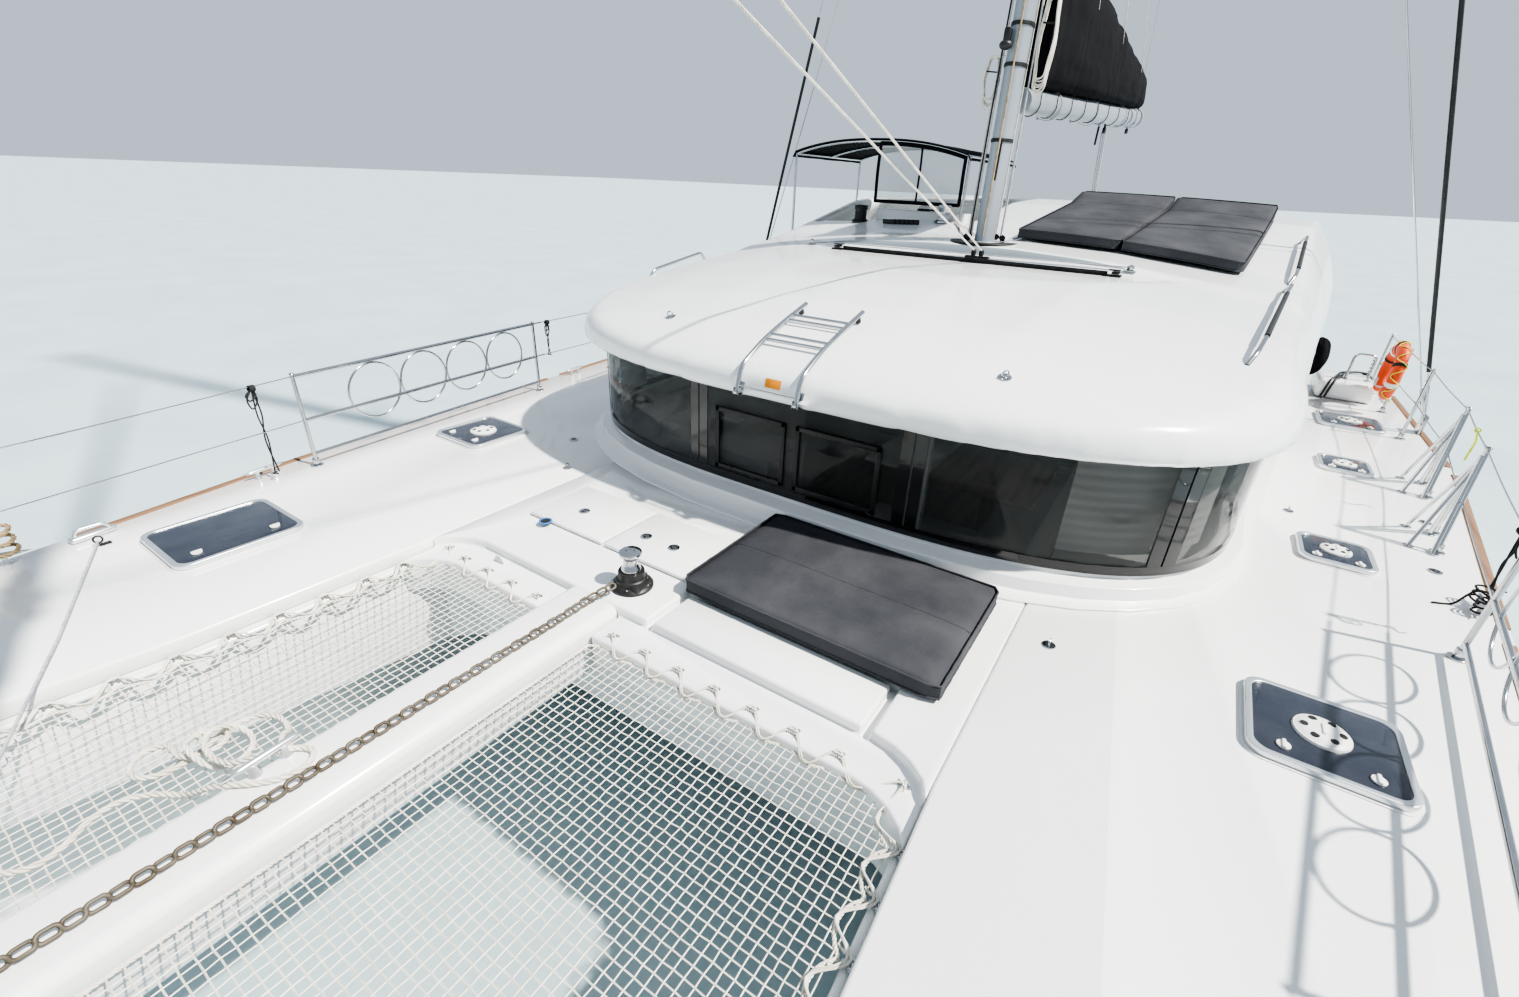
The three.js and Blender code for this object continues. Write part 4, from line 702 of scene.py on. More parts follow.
def wave(i, j=0):
    """A repeatable number from -1 to 1."""
    value = math.sin(i * 12.9898 + j * 78.233) * 43758.5453
    return (value - math.floor(value)) * 2 - 1


class CATAMARAN_OT_finishes(bpy.types.Operator):
    """Lays out the finishes"""

    bl_idname = "catamaran.finishes"
    bl_label = "Finishes"

    def execute(self, context):
        FINISH.update(make_finishes(context.scene.catamaran_looks))
        for name, node in NODES.items():
            node.data.materials.clear()
            node.data.materials.append(FINISH[SLOT_OF[name]])
        return {"FINISHED"}


class CATAMARAN_OT_stage(bpy.types.Operator):
    """Places the camera, the pale floor at the waterline and the light"""

    bl_idname = "catamaran.stage"
    bl_label = "Stage"

    def execute(self, context):
        view = context.scene.catamaran_view
        look = Vector((
            -math.cos(view.yaw) * math.cos(view.pitch), -math.sin(view.yaw) * math.cos(view.pitch),
            -math.sin(view.pitch),
        ))
        across = look.cross(UP).normalized()
        above = across.cross(look)
        right = across * math.cos(view.roll) + above * math.sin(view.roll)
        up = above * math.cos(view.roll) - across * math.sin(view.roll)
        lens = bpy.data.cameras.new("Camera")
        lens.lens = view.lens
        lens.sensor_width = 36
        lens.sensor_fit = "HORIZONTAL"
        lens.clip_start = 0.02
        lens.clip_end = 2000
        camera = bpy.data.objects.new("Camera", lens)
        context.scene.collection.objects.link(camera)
        turn = Matrix((right, up, -look)).transposed().to_4x4()
        camera.matrix_world = Matrix.Translation(view.place) @ turn
        context.scene.camera = camera

        deselect()
        bpy.ops.mesh.primitive_plane_add(size=900)
        floor = bpy.context.object
        floor.name = "floor"
        floor.data.materials.append(FINISH["floor"])

        light = bpy.data.lights.new("Sun", "SUN")
        light.energy = view.sun_strength
        light.angle = math.radians(1.6)
        light.color = (1.0, 0.965, 0.9)
        sun = bpy.data.objects.new("Sun", light)
        sun.rotation_euler = turn_to(view.sun)
        context.scene.collection.objects.link(sun)

        world = bpy.data.worlds.new("Sky")
        world.use_nodes = True
        sky = world.node_tree
        backdrop = sky.nodes["Background"]
        backdrop.inputs["Strength"].default_value = view.sky_strength
        backdrop.inputs["Color"].default_value = (0.72, 0.82, 0.94, 1)
        context.scene.world = world
        context.scene.view_settings.look = "AgX - High Contrast"
        context.scene.view_settings.exposure = 0.4
        return {"FINISHED"}


# CAD nodes shown as smooth mouldings: node, finish, edge radius, facet angle smoothed
MOULDINGS = (
    ("hull_port", "gelcoat", 0.012, 0.75),
    ("hull_starboard", "gelcoat", 0.012, 0.75),
    ("deck_port", "gelcoat", 0.014, 0.6),
    ("deck_starboard", "gelcoat", 0.014, 0.6),
    ("keel_port", "underwater_paint", 0.01, 0.6),
    ("keel_starboard", "underwater_paint", 0.01, 0.6),
    ("rudder_port", "underwater_paint", 0.006, 0.6),
    ("rudder_starboard", "underwater_paint", 0.006, 0.6),
    ("drive_port", "alloy", 0.006, 0.6),
    ("drive_starboard", "alloy", 0.006, 0.6),
    ("propeller_port", "bronze", 0.002, 0.9),
    ("propeller_starboard", "bronze", 0.002, 0.9),
    ("bridgedeck", "gelcoat", 0.014, 0.6),
    ("foredeck", "gelcoat", 0.02, 0.6),
    ("locker_lid_starboard", "gelcoat", 0.008, 0.6),
    ("locker_lid_centre", "gelcoat", 0.008, 0.6),
    ("crossbeam", "alloy", 0.003, 0.6),
    ("centre_beam", "gelcoat", 0.016, 0.6),
    ("cabin_walls", "gelcoat", 0.006, 0.6),
    ("glass_centre", "glass", 0.002, 0.5),
    ("glass_port", "glass", 0.002, 0.5),
    ("glass_starboard", "glass", 0.002, 0.5),
    ("saloon_door", "glass", 0.004, 0.6),
    ("helm_station", "gelcoat", 0.014, 0.6),
    ("anchor", "chain", 0.005, 0.6),
)


class CATAMARAN_OT_mouldings(bpy.types.Operator):
    """Rounds and smooths the moulded, cast and rolled pieces"""

    bl_idname = "catamaran.mouldings"
    bl_label = "Mouldings"

    def execute(self, context):
        for node, finish, edge, angle in MOULDINGS:
            stand_in(node + "_skin", [soften(merged(node), edge, 2, angle)], finish, node, angle=angle)
        return {"FINISHED"}


class CATAMARAN_OT_roof(bpy.types.Operator):
    """Fairs the coachroof into one smooth moulding"""

    bl_idname = "catamaran.roof"
    bl_label = "Coachroof"

    def execute(self, context):
        roof = modify(merged("coachroof"), "REMESH", mode="VOXEL", voxel_size=0.034)
        modify(roof, "SMOOTH", factor=0.5, iterations=10)
        stand_in("coachroof_moulding", [roof], "gelcoat", "coachroof", angle=1.2)
        return {"FINISHED"}


# Hatches: place, x aft, x forward, y inboard, y outboard, vent (share of x, share of y, radius)
HATCHES = (
    ("bow", 3.92, 4.52, 2.08, 2.64, None),
    ("fore", 2.16, 2.66, 2.37, 2.89, (0.5, 0.48, 0.094)),
    ("mid", 0.31, 0.69, 2.66, 3.03, (0.5, 0.5, 0.076)),
    ("side", -1.56, -1.18, 2.91, 3.25, (0.5, 0.5, 0.076)),
    ("aft", -3.12, -2.62, 3.02, 3.52, (0.5, 0.5, 0.094)),
)
# Heights of the lids' lower and upper faces
LID_Z = 1.656
LID_TOP = LID_Z + 0.026


class CATAMARAN_OT_hatches(bpy.types.Operator):
    """Builds the deck hatches: frames, lids, lenses, vents and handles"""

    bl_idname = "catamaran.hatches"
    bl_label = "Deck hatches"

    def execute(self, context):
        for place, x0, x1, y0, y1, vent in HATCHES:
            def outline(inset, radius):
                return rounded_plan(x0 + inset, x1 - inset, y0 + inset, y1 - inset, radius)

            ring = plate([outline(0, 0.07), outline(0.026, 0.055)], LID_Z, LID_TOP, 0.004)
            flange = plate([outline(-0.012, 0.075), outline(0.05, 0.04)], 1.6503, 1.6545, 0.001)
            lens = plate([outline(0.026, 0.055)], LID_Z + 0.006, LID_Z + 0.022, 0.002)
            cx, cy = (x0 + x1) / 2, (y0 + y1) / 2
            handles = []
            for sign in (-1, 1):
                if vent:
                    at = Vector((x1 - (x1 - x0) * 0.17, cy + sign * (y1 - y0) * 0.27, LID_TOP))
                else:
                    at = Vector((cx + sign * (x1 - x0) * 0.3, y0 + (y1 - y0) * 0.2, LID_TOP))
                handles += [drum(0.024, 0.008, at, edge=0.002),
                            block((0.05, 0.014, 0.012), at + UP * 0.006, 0.004)]
            if vent:
                share_x, share_y, radius = vent
                middle = Vector((x0 + share_x * (x1 - x0), y0 + share_y * (y1 - y0), LID_Z + 0.02))
                dome = ((0, 0.026), (radius * 0.5, 0.025), (radius * 0.82, 0.02), (radius * 0.9, 0.014),
                        (radius, 0.012), (radius * 1.03, 0.004), (radius * 1.03, 0), (0, 0))
                handles.append(turned(dome, middle))
                handles.append(block((radius * 0.7, 0.012, 0.008), middle + UP * 0.028, 0.003))
                # Thin black discs on the dome: painted shade for the dark inside of the vent's holes
                holes = joined([drum(radius * 0.15, 0.003,
                                     middle + round_z(radius * 0.64, (k + 0.5) / 6, 0.0232))
                                for k in range(6)])
            vents = joined(handles)
            for side, sign in SIDES:
                mirror = sign < 0
                body = f"hatch_{place}_{side}"
                done(f"{body}_frame", [copied(ring, mirror)], "alloy", body=body)
                pane = done(f"{body}_lens", [copied(lens, mirror)], "smoked_acrylic", body=body)
                done(f"{body}_vent", [copied(vents, mirror)], "white", body=body)
                # The vent's holes are black discs of painted shade
                if vent:
                    done(f"{body}_vent_hole_shade", [copied(holes, mirror)], "black", body=body)
                done(f"{body}_seat", [copied(flange, mirror)], "white")
                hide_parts(body)
            for obj in (ring, flange, lens, vents, *([holes] if vent else [])):
                bpy.data.objects.remove(obj)
        return {"FINISHED"}


# Each net: side, y of its straight inboard edge, y of its first clip on the ledge, how many clips stand there
NETS = (("port", 1, -0.15, -0.067, 7), ("starboard", -1, -0.52, -0.6, 4))
# Heights of the nets and of the ledge their clips stand on, and the clips' x there
NET_Z = 1.563
LEDGE_Z = 1.598
CLIP_X = 3.545


def net_clips(sign, first, count, pitch):
    """A net's clips in order: along the ledge, round its corner, along the hull and along the crossbeam."""
    clips = [(Vector((CLIP_X, first + sign * pitch * k)), Vector((1, 0)), LEDGE_Z) for k in range(count)]
    clips.append((Vector((3.53, sign * 1.36)), Vector((0.8, -0.6 * sign)), LEDGE_Z))
    for k in range(9):
        x = 3.768 + pitch * k
        clips.append((Vector((x, sign * (read_edge(BOW_EDGE, x) - 0.022))), Vector((0, -sign)), 1.572))
    y = 1.5
    while y > (0.0 if sign > 0 else 0.6):
        clips.append((Vector((5.53, sign * y)), Vector((-1, 0)), 1.57))
        y -= pitch
    return clips


def net_border(clips, inboard):
    """The net's own edge: drawn in between its clips, straight along the middle of the boat."""
    border = [Vector((3.63, inboard))]
    for (a, inward_a, _), (b, inward_b, _) in zip(clips, clips[1:]):
        for step in range(8):
            t = step / 8
            inward = inward_a.lerp(inward_b, t).normalized()
            border.append(a.lerp(b, t) + inward * (0.03 + 0.048 * math.sin(math.pi * t) ** 0.8))
    border.append(clips[-1][0] + clips[-1][1] * 0.03)
    border.append(Vector((5.47, inboard)))
    return border


def spans(border, axis, value):
    """Where a line across the net enters and leaves its edge."""
    hits = []
    other = 1 - axis
    for a, b in zip(border, (*border[1:], border[0])):
        if (a[axis] - value) * (b[axis] - value) < 0:
            t = (value - a[axis]) / (b[axis] - a[axis])
            hits.append(a[other] + (b[other] - a[other]) * t)
    return (min(hits), max(hits)) if len(hits) > 1 else None


def net_cords(border, axis, pitch):
    """The net's cords along one direction, woven over and under at the crossings."""
    runs = []
    other = 1 - axis
    first = math.ceil(min(p[axis] for p in border) / pitch)
    last = math.floor(max(p[axis] for p in border) / pitch)
    for i in range(first, last + 1):
        ends = spans(border, axis, i * pitch)
        if not ends or ends[1] - ends[0] < pitch:
            continue
        at = [ends[0], *[j * pitch for j in range(math.ceil(ends[0] / pitch), math.floor(ends[1] / pitch) + 1)],
              ends[1]]
        run = []
        for along in at:
            j = round(along / pitch)
            over = 0.0014 * (1 if (i + j + axis) % 2 else -1)
            place = [0.0, 0.0, NET_Z + over]
            place[axis] = i * pitch + 0.0016 * wave(i, j)
            place[other] = along
            run.append(place)
        runs.append(run)
    return runs


class CATAMARAN_OT_nets(bpy.types.Operator):
    """Weaves the two square-mesh nets and laces them to their clips"""

    bl_idname = "catamaran.nets"
    bl_label = "Trampoline nets"

    def execute(self, context):
        sizes = context.scene.catamaran_sizes
        for side, sign, inboard, first, count in NETS:
            clips = net_clips(sign, first, count, sizes.clip_pitch)
            border = net_border(clips, inboard)
            cords = [*net_cords(border, 0, sizes.net_pitch), *net_cords(border, 1, sizes.net_pitch)]
            mesh = pipe(cords, sizes.net_cord / 2, 0)
            edge = laid([(*p, NET_Z) for p in (*border, border[0])], 0.0075, 0.045, 1)
            stand_in(f"net_{side}_mesh", [mesh, edge], "net", f"net_{side}", angle=1.2)
            hooks, loops = [], []
            for at, inward, base in clips:
                way = Vector((-inward.y, inward.x))
                turn = (0, 0, math.atan2(inward.y, inward.x))
                for shift in (-0.014, 0.014):
                    place = at + way * shift
                    hooks.append(block((0.034, 0.008, 0.009), (place.x, place.y, base + 0.005), 0.002, turn))
                    hooks.append(block((0.006, 0.016, 0.02), (*(place + inward * 0.014), base + 0.01), 0.002,
                                       turn))
                hooks.append(block((0.012, 0.044, 0.004), (*(at - inward * 0.012), base + 0.002), 0.001, turn))
                for shift in (-0.014, 0.014):
                    near, far = at + way * shift + inward * 0.008, at + way * shift * 2.4 + inward * 0.042
                    loops.append(flow([
                        (*far, NET_Z - 0.006), (*near.lerp(far, 0.4), mix(base, NET_Z, 0.4) + 0.008),
                        (*(near - inward * 0.004), base + 0.016), (*near.lerp(far, 0.45), (base + NET_Z) / 2),
                        (*(far + inward * 0.006), NET_Z + 0.008),
                    ], 5))
            for shift in (-0.006, 0.006):
                run = []
                for (a, inward_a, base), (b, inward_b, _) in zip(clips, clips[1:]):
                    inward = inward_a.lerp(inward_b, 0.5).normalized()
                    middle = a.lerp(b, 0.5 + 3 * shift) + inward * 0.084
                    run.append((*(a - inward_a * shift), base + 0.019))
                    run.append((*middle, NET_Z + 0.009 + shift * 0.4))
                loops.append(flow(run, 6))
            done(f"net_{side}_clips", hooks, "stainless")
            done(f"net_{side}_lacing", [pipe(loops, 0.0042, 1)], "rope", 1.2)
            flange = [(x, sign * (read_edge(BOW_EDGE, x) - 0.024), 1.555)
                      for x in (3.62, 3.9, 4.3, 4.7, 5.0, 5.25, 5.44)]
            lip = pipe([flow(flange, 4)], 0.014, 2)
            done(f"net_{side}_ledge", [lip], "gelcoat", 0.9)
        return {"FINISHED"}


# The mooring rope's route, from its bare end over its cleat and the net to where the coil begins
ROPE = (
    (4.722, -0.505, 1.672), (4.695, -0.572, 1.65), (4.658, -0.652, 1.59), (4.64, -0.745, 1.575),
    (4.668, -0.828, 1.575), (4.738, -0.862, 1.575), (4.812, -0.845, 1.575), (4.885, -0.812, 1.575),
    (4.95, -0.798, 1.575), (5.012, -0.812, 1.575), (5.054, -0.862, 1.575), (5.048, -0.928, 1.575),
    (4.996, -0.968, 1.575), (4.944, -0.944, 1.577), (4.936, -0.885, 1.586), (4.938, -0.822, 1.599),
    (4.905, -0.77, 1.6), (4.85, -0.757, 1.598), (4.803, -0.782, 1.598), (4.79, -0.83, 1.598),
    (4.816, -0.872, 1.598), (4.864, -0.878, 1.6), (4.901, -0.845, 1.614), (4.914, -0.785, 1.634),
    (4.902, -0.715, 1.6), (4.862, -0.668, 1.577), (4.808, -0.662, 1.575), (4.76, -0.698, 1.575),
    (4.746, -0.754, 1.588), (4.778, -0.798, 1.628), (4.836, -0.8, 1.644), (4.872, -0.752, 1.644),
    (4.878, -0.69, 1.628), (4.864, -0.63, 1.626), (4.836, -0.57, 1.642), (4.79, -0.518, 1.668),
    (4.738, -0.478, 1.671), (4.69, -0.44, 1.664), (4.672, -0.388, 1.663), (4.716, -0.346, 1.663),
    (4.785, -0.356, 1.663), (4.848, -0.402, 1.664), (4.9, -0.462, 1.666), (4.942, -0.54, 1.634),
    (4.985, -0.635, 1.58), (5.04, -0.722, 1.575), (5.112, -0.778, 1.575), (5.19, -0.77, 1.575),
    (5.262, -0.718, 1.575), (5.335, -0.7, 1.575), (5.395, -0.745, 1.575), (5.43, -0.84, 1.575),
    (5.438, -1.0, 1.575), (5.44, -1.18, 1.575), (5.438, -1.36, 1.575), (5.434, -1.48, 1.578),
    (5.428, -1.54, 1.598), (5.418, -1.6, 1.652), (5.404, -1.65, 1.678), (5.378, -1.73, 1.67),
    (5.328, -1.85, 1.664), (5.305, -1.96, 1.662), (5.302, -2.062, 1.662), (5.304, -2.15, 1.662),
)
# The rope's radius
ROPE_R = 0.011
# The coil's middle: x, y
COIL = (5.47, -2.15)
# Turns of the coil from where the rope comes in: radius, height of the rope's middle
COIL_TURNS = ((0.166, 1.662), (0.144, 1.662), (0.122, 1.662), (0.122, 1.6842), (0.144, 1.6842), (0.166, 1.6842))


def coil_path(steps=40):
    """The coil's turns, each easing into the next over its last part."""
    points = []
    for (r0, z0), (r1, z1) in zip(COIL_TURNS, (*COIL_TURNS[1:], COIL_TURNS[-1])):
        for i in range(steps):
            t = i / steps
            ease = max(0.0, (t - 0.8) / 0.2)
            ease = ease * ease * (3 - 2 * ease)
            radius = r0 + (r1 - r0) * ease
            angle = math.pi + math.tau * t
            points.append((COIL[0] + radius * math.cos(angle), COIL[1] + radius * math.sin(angle),
                           z0 + (z1 - z0) * ease))
    return points[:-2]


class CATAMARAN_OT_mooring_rope(bpy.types.Operator):
    """Lays the three-strand mooring rope about its cleat, over the net and into its coil"""

    bl_idname = "catamaran.mooring_rope"
    bl_label = "Mooring rope"

    def execute(self, context):
        lay = context.scene.catamaran_sizes.rope_lay
        path = even([*flow(ROPE, 8)[:-1], *[Vector(p) for p in coil_path()]], 0.012)
        whole = [laid(path, ROPE_R, lay, 2)]
        rope = stand_in("mooring_rope_laid", whole, "rope", "mooring_rope", "mooring_coil", angle=1.2)
        ties = [hoop(0.033, 0.004, (COIL[0] + 0.144 * math.cos(a), COIL[1] + 0.144 * math.sin(a), 1.673),
                     (-math.sin(a), math.cos(a), 0), 24, 8) for a in (0.5, 0.56)]
        tie = done("mooring_coil_tie", ties, "lashing", 1.2)
        tuft = []
        for k in range(14):
            start = Vector(ROPE[0]) + Vector((0.004, 0.006, 0.002))
            way = Vector((0.5 + 0.5 * wave(k, 1), 0.7 + 0.4 * wave(k, 2), 0.15 + 0.3 * wave(k, 3))).normalized()
            tuft.append([start, start + way * 0.02, start + way * 0.045 - UP * 0.006])
        frayed = done("mooring_rope_end", [pipe(tuft, 0.0011, 0)], "rope", 1.2)
        tuple(path[0])
        path_length(path)
        [tuple(p) for p in path]
        return {"FINISHED"}


def cleat(at, turn, length=0.28):
    """A deck cleat: a bar with two feet, its horns tapering upwards."""
    half = length / 2
    bar = turned(((0, -half), (0.007, -half + 0.002), (0.011, -half * 0.6), (0.0135, 0), (0.011, half * 0.6),
                  (0.007, half - 0.002), (0, half)), (0, 0, 0.052), (1, 0, 0), 20)
    feet = [turned(((0, 0), (0.022, 0), (0.021, 0.006), (0.012, 0.02), (0.0115, 0.045), (0, 0.05)), (x, 0, 0),
                   (0, 0, 1), 20) for x in (-0.05, 0.05)]
    whole = joined([bar, *feet])
    whole.location = at
    whole.rotation_euler = (0, 0, turn)
    return settle(whole)


class CATAMARAN_OT_deck_fittings(bpy.types.Operator):
    """Dresses the decks with their rub rails, cleats and fairleads"""

    bl_idname = "catamaran.deck_fittings"
    bl_label = "Deck fittings"

    def execute(self, context):
        for side, sign in SIDES:
            rail = []
            for x0, x1 in ((4.7, 1.08), (0.9, -1.75), (-1.95, -4.5)):
                def strip(u, v, x0=x0, x1=x1):
                    x = mix(x0, x1, v)
                    i = round(u * 4) % 4
                    out, up = ((0.012, 0.0), (0.012, 0.03), (-0.042, 0.03), (-0.042, 0.0))[i]
                    return (x, sign * (edge_y(x) + out - 0.01), 1.6275 + up)

                rail.append(soften(shaped(strip, 4, 24, 0.0, True), 0.006))
            done(f"rub_rail_{side}", rail, "teak", 0.9)
            horns = [cleat((x, sign * (edge_y(x) - 0.115), ON_DECK), turn * sign)
                     for x, turn in ((3.75, -0.2), (0.77, -0.13), (-4.2, 0.0))]
            x, y = 4.64, sign * (edge_y(4.64) - 0.1)
            base = block((0.2, 0.05, 0.03), (x, y, 1.665), 0.012, (0, 0, -0.17 * sign))
            bow = bend([(x - 0.08, y, 1.66), (x - 0.06, y, 1.71), (x + 0.06, y, 1.71), (x + 0.08, y, 1.66)],
                       0.03)
            done(f"deck_cleats_{side}", [*horns, base, pipe([bow], 0.009, 3)], "alloy", 0.9)
        done("beam_cleat", [cleat((4.778, -0.459, ON_DECK), 0.1)], "alloy", 0.9)
        return {"FINISHED"}


def shaped(place, across, along, thick=0.0, caps=False):
    """A grid laid out by a rule from its two shares, 0 to 1, thickened inwards if asked."""
    deselect()
    bpy.ops.mesh.primitive_grid_add(x_subdivisions=across, y_subdivisions=along, size=1)
    obj = bpy.context.object
    for vertex in obj.data.vertices:
        vertex.co = place(vertex.co.x + 0.5, vertex.co.y + 0.5)
    if thick:
        weld(obj, 1e-4)
        modify(obj, "SOLIDIFY", thickness=thick, offset=0.0)
    if caps:
        pick(obj)
        bpy.ops.object.mode_set(mode="EDIT")
        bpy.ops.mesh.select_all(action="SELECT")
        bpy.ops.mesh.remove_doubles(threshold=1e-4)
        bpy.ops.mesh.select_all(action="DESELECT")
        bpy.ops.mesh.select_non_manifold()
        bpy.ops.mesh.edge_face_add()
        bpy.ops.object.mode_set(mode="OBJECT")
    return weld(obj, 1e-4)


def creases(x, y, z, scale, height):
    """How far soft cloth stands out at a point."""
    value = noise.noise(Vector((x, y, z)) * scale)
    fold = 1 - abs(noise.noise(Vector((x, y * 0.5, z)) * scale * 1.7 + Vector((7, 3, 1))))
    return height * (value + fold ** 4 * 0.8)


# Cabin wall in plan: front x, half width, how square its corners are; it runs straight aft from the middle
WALL = (2.09, 2.3, 3.2)
WALL_BEND_X = 0.4
# How much wider the side gets with each metre aft
WALL_FLARE = 0.118


def wall_plan(out, aft, steps=60):
    """Points of the cabin's plan, that far outside its wall, from starboard round the front to port."""
    front, half, power = WALL
    reach, half = front + out - WALL_BEND_X, half + out
    side = []
    for i in range(steps + 1):
        angle = i / steps * math.pi / 2
        side.append((WALL_BEND_X + reach * math.cos(angle) ** (2 / power),
                     half * math.sin(angle) ** (2 / power)))
    side.append((aft, half + WALL_FLARE * (WALL_BEND_X - aft)))
    return [*((x, -y) for x, y in reversed(side)), *side[1:]]


def along_plan(points):
    """A rule that gives the point at a distance along a plan, and the distance nearest a point."""
    nodes = [Vector(p) for p in points]
    marks = [0.0]
    for a, b in zip(nodes, nodes[1:]):
        marks.append(marks[-1] + (b - a).length)

    def at(distance):
        for mark, following, a, b in zip(marks, marks[1:], nodes, nodes[1:]):
            if distance <= following:
                return a.lerp(b, max(0.0, (distance - mark) / (following - mark)))
        return nodes[-1]

    def nearest(x, y):
        return min(zip(marks, nodes), key=lambda row: (row[1] - Vector((x, y))).length)[0]

    return at, nearest


class CATAMARAN_OT_cabin(bpy.types.Operator):
    """Adds the black window bands, the opening ports and the saloon behind the glass"""

    bl_idname = "catamaran.cabin"
    bl_label = "Cabin"

    def execute(self, context):
        at, nearest = along_plan(wall_plan(0.0098, 0.215))
        ends = [nearest(0.215, -2.4), nearest(0.215, 2.4)]
        lines = [nearest(1.7, -2.02), nearest(2.1, -0.76), nearest(2.1, 0.76), nearest(1.7, 2.02)]
        bands = []

        def strip(low, high, z0, z1):
            count = max(2, int((high - low) / 0.06))

            def place(u, v):
                point = at(mix(low, high, u))
                return (point.x, point.y, mix(z0, z1, v))

            bands.append(shaped(place, count, 2, 0.0016))

        strip(ends[0], ends[1], 1.769, 1.822)
        strip(ends[0], ends[1], 2.405, 2.466)
        for line, half in zip(lines, (0.085, 0.07, 0.07, 0.085)):
            for low, high in ((line - half, line - 0.006), (line + 0.006, line + half)):
                strip(low, high, 1.8225, 2.4045)
        for low in (ends[0], ends[1] - 0.16):
            strip(low, low + 0.16, 1.8225, 2.4045)
        done("window_bands", bands, "band")

        frames = []
        for y0, y1 in ((-0.56, -0.075), (0.025, 0.54)):
            outer = [(y0, 1.855), (y1, 1.855), (y1, 2.235), (y0, 2.235)]
            x = at(nearest(2.1, (y0 + y1) / 2)).x + 0.006
            for (ya, za), (yb, zb) in zip(outer, (*outer[1:], outer[0])):
                flat = abs(ya - yb) > 0.1
                size = (0.016, abs(ya - yb) + 0.03, 0.03) if flat else (0.016, 0.03, abs(za - zb) + 0.03)
                frames.append(block(size, (x, (ya + yb) / 2, (za + zb) / 2), 0.004))
            for y in (y0 + 0.1, y1 - 0.1):
                frames.append(block((0.02, 0.035, 0.014), (x + 0.01, y, 1.87), 0.004))
        done("opening_ports", frames, "black")

        timber = [block((2.9, 2.7, 0.012), (0.42, 0, 0.968), 0.002)]
        timber.append(block((0.9, 0.75, 0.03), (0.6, 0.85, 1.66), 0.012))
        timber.append(drum(0.05, 0.68, (0.6, 0.85, 1.31)))
        done("saloon_timber", timber, "wood")
        seats = [block((2.0, 0.5, 0.42), (0.75, 1.16, 1.19), 0.04),
                 block((0.5, 1.1, 0.42), (1.55, 0.8, 1.19), 0.04),
                 block((2.1, 0.12, 0.42), (0.75, 1.38, 1.5), 0.04)]
        done("saloon_seats", seats, "inside")
        galley = [block((2.2, 0.6, 0.9), (0.6, -1.12, 1.41), 0.02),
                  block((0.5, 0.9, 0.9), (1.65, -0.75, 1.41), 0.02),
                  block((0.9, 0.5, 0.02), (0.4, -1.1, 1.87), 0.005),
                  block((0.4, 0.4, 0.02), (1.2, -1.1, 1.87), 0.005)]
        done("saloon_galley", galley, "white")
        blinds = []
        inner, inner_near = along_plan(wall_plan(-0.075, 0.3))
        for x0, y0, x1, y1 in ((1.0, -2.3, 1.62, -2.0), (1.9, 1.5, 1.3, 2.2)):
            low, high = sorted((inner_near(x0, y0), inner_near(x1, y1)))

            def hang(u, v, low=low, high=high):
                point = inner(mix(low, high, u))
                return (point.x + 0.004 * math.sin(v * 60), point.y, mix(1.84, 2.38, v))

            blinds.append(shaped(hang, 10, 60, 0.002))
        done("saloon_blinds", blinds, "sailcloth", 1.0)
        return {"FINISHED"}


# Roof surface: x, crown z, fall one metre off the middle line
CROWN = (
    (2.33, 2.56, 0.036), (2.2, 2.65, 0.036), (1.95, 2.75, 0.036), (1.4, 2.86, 0.036), (0.6, 2.97, 0.036),
    (-0.5, 3.06, 0.036), (-0.76, 3.095, 0.035), (-1.4, 3.13, 0.028), (-3.4, 3.4, 0.012), (-4.3, 3.46, 0.012),
)


def roof_z(x, y):
    """Height of the coachroof's upper surface."""
    return read_edge([row[:2] for row in CROWN], x) - read_edge([(row[0], row[2]) for row in CROWN], x) * y * y


# Padded pieces: node; corners front inboard, front outboard, aft outboard, aft inboard; whether on the roof
PADS = (
    ("sun_pad_inboard", (-1.32, 0.215), (-1.29, 1.06), (-3.38, 1.265), (-3.38, 0.35), True),
    ("sun_pad_outboard", (-1.29, 1.075), (-1.21, 1.97), (-3.38, 2.15), (-3.38, 1.28), True),
    ("foredeck_cushion", (3.14, 0.01), (3.14, 1.33), (2.26, 1.33), (2.26, 0.01), False),
)
PAD_THICK = 0.085


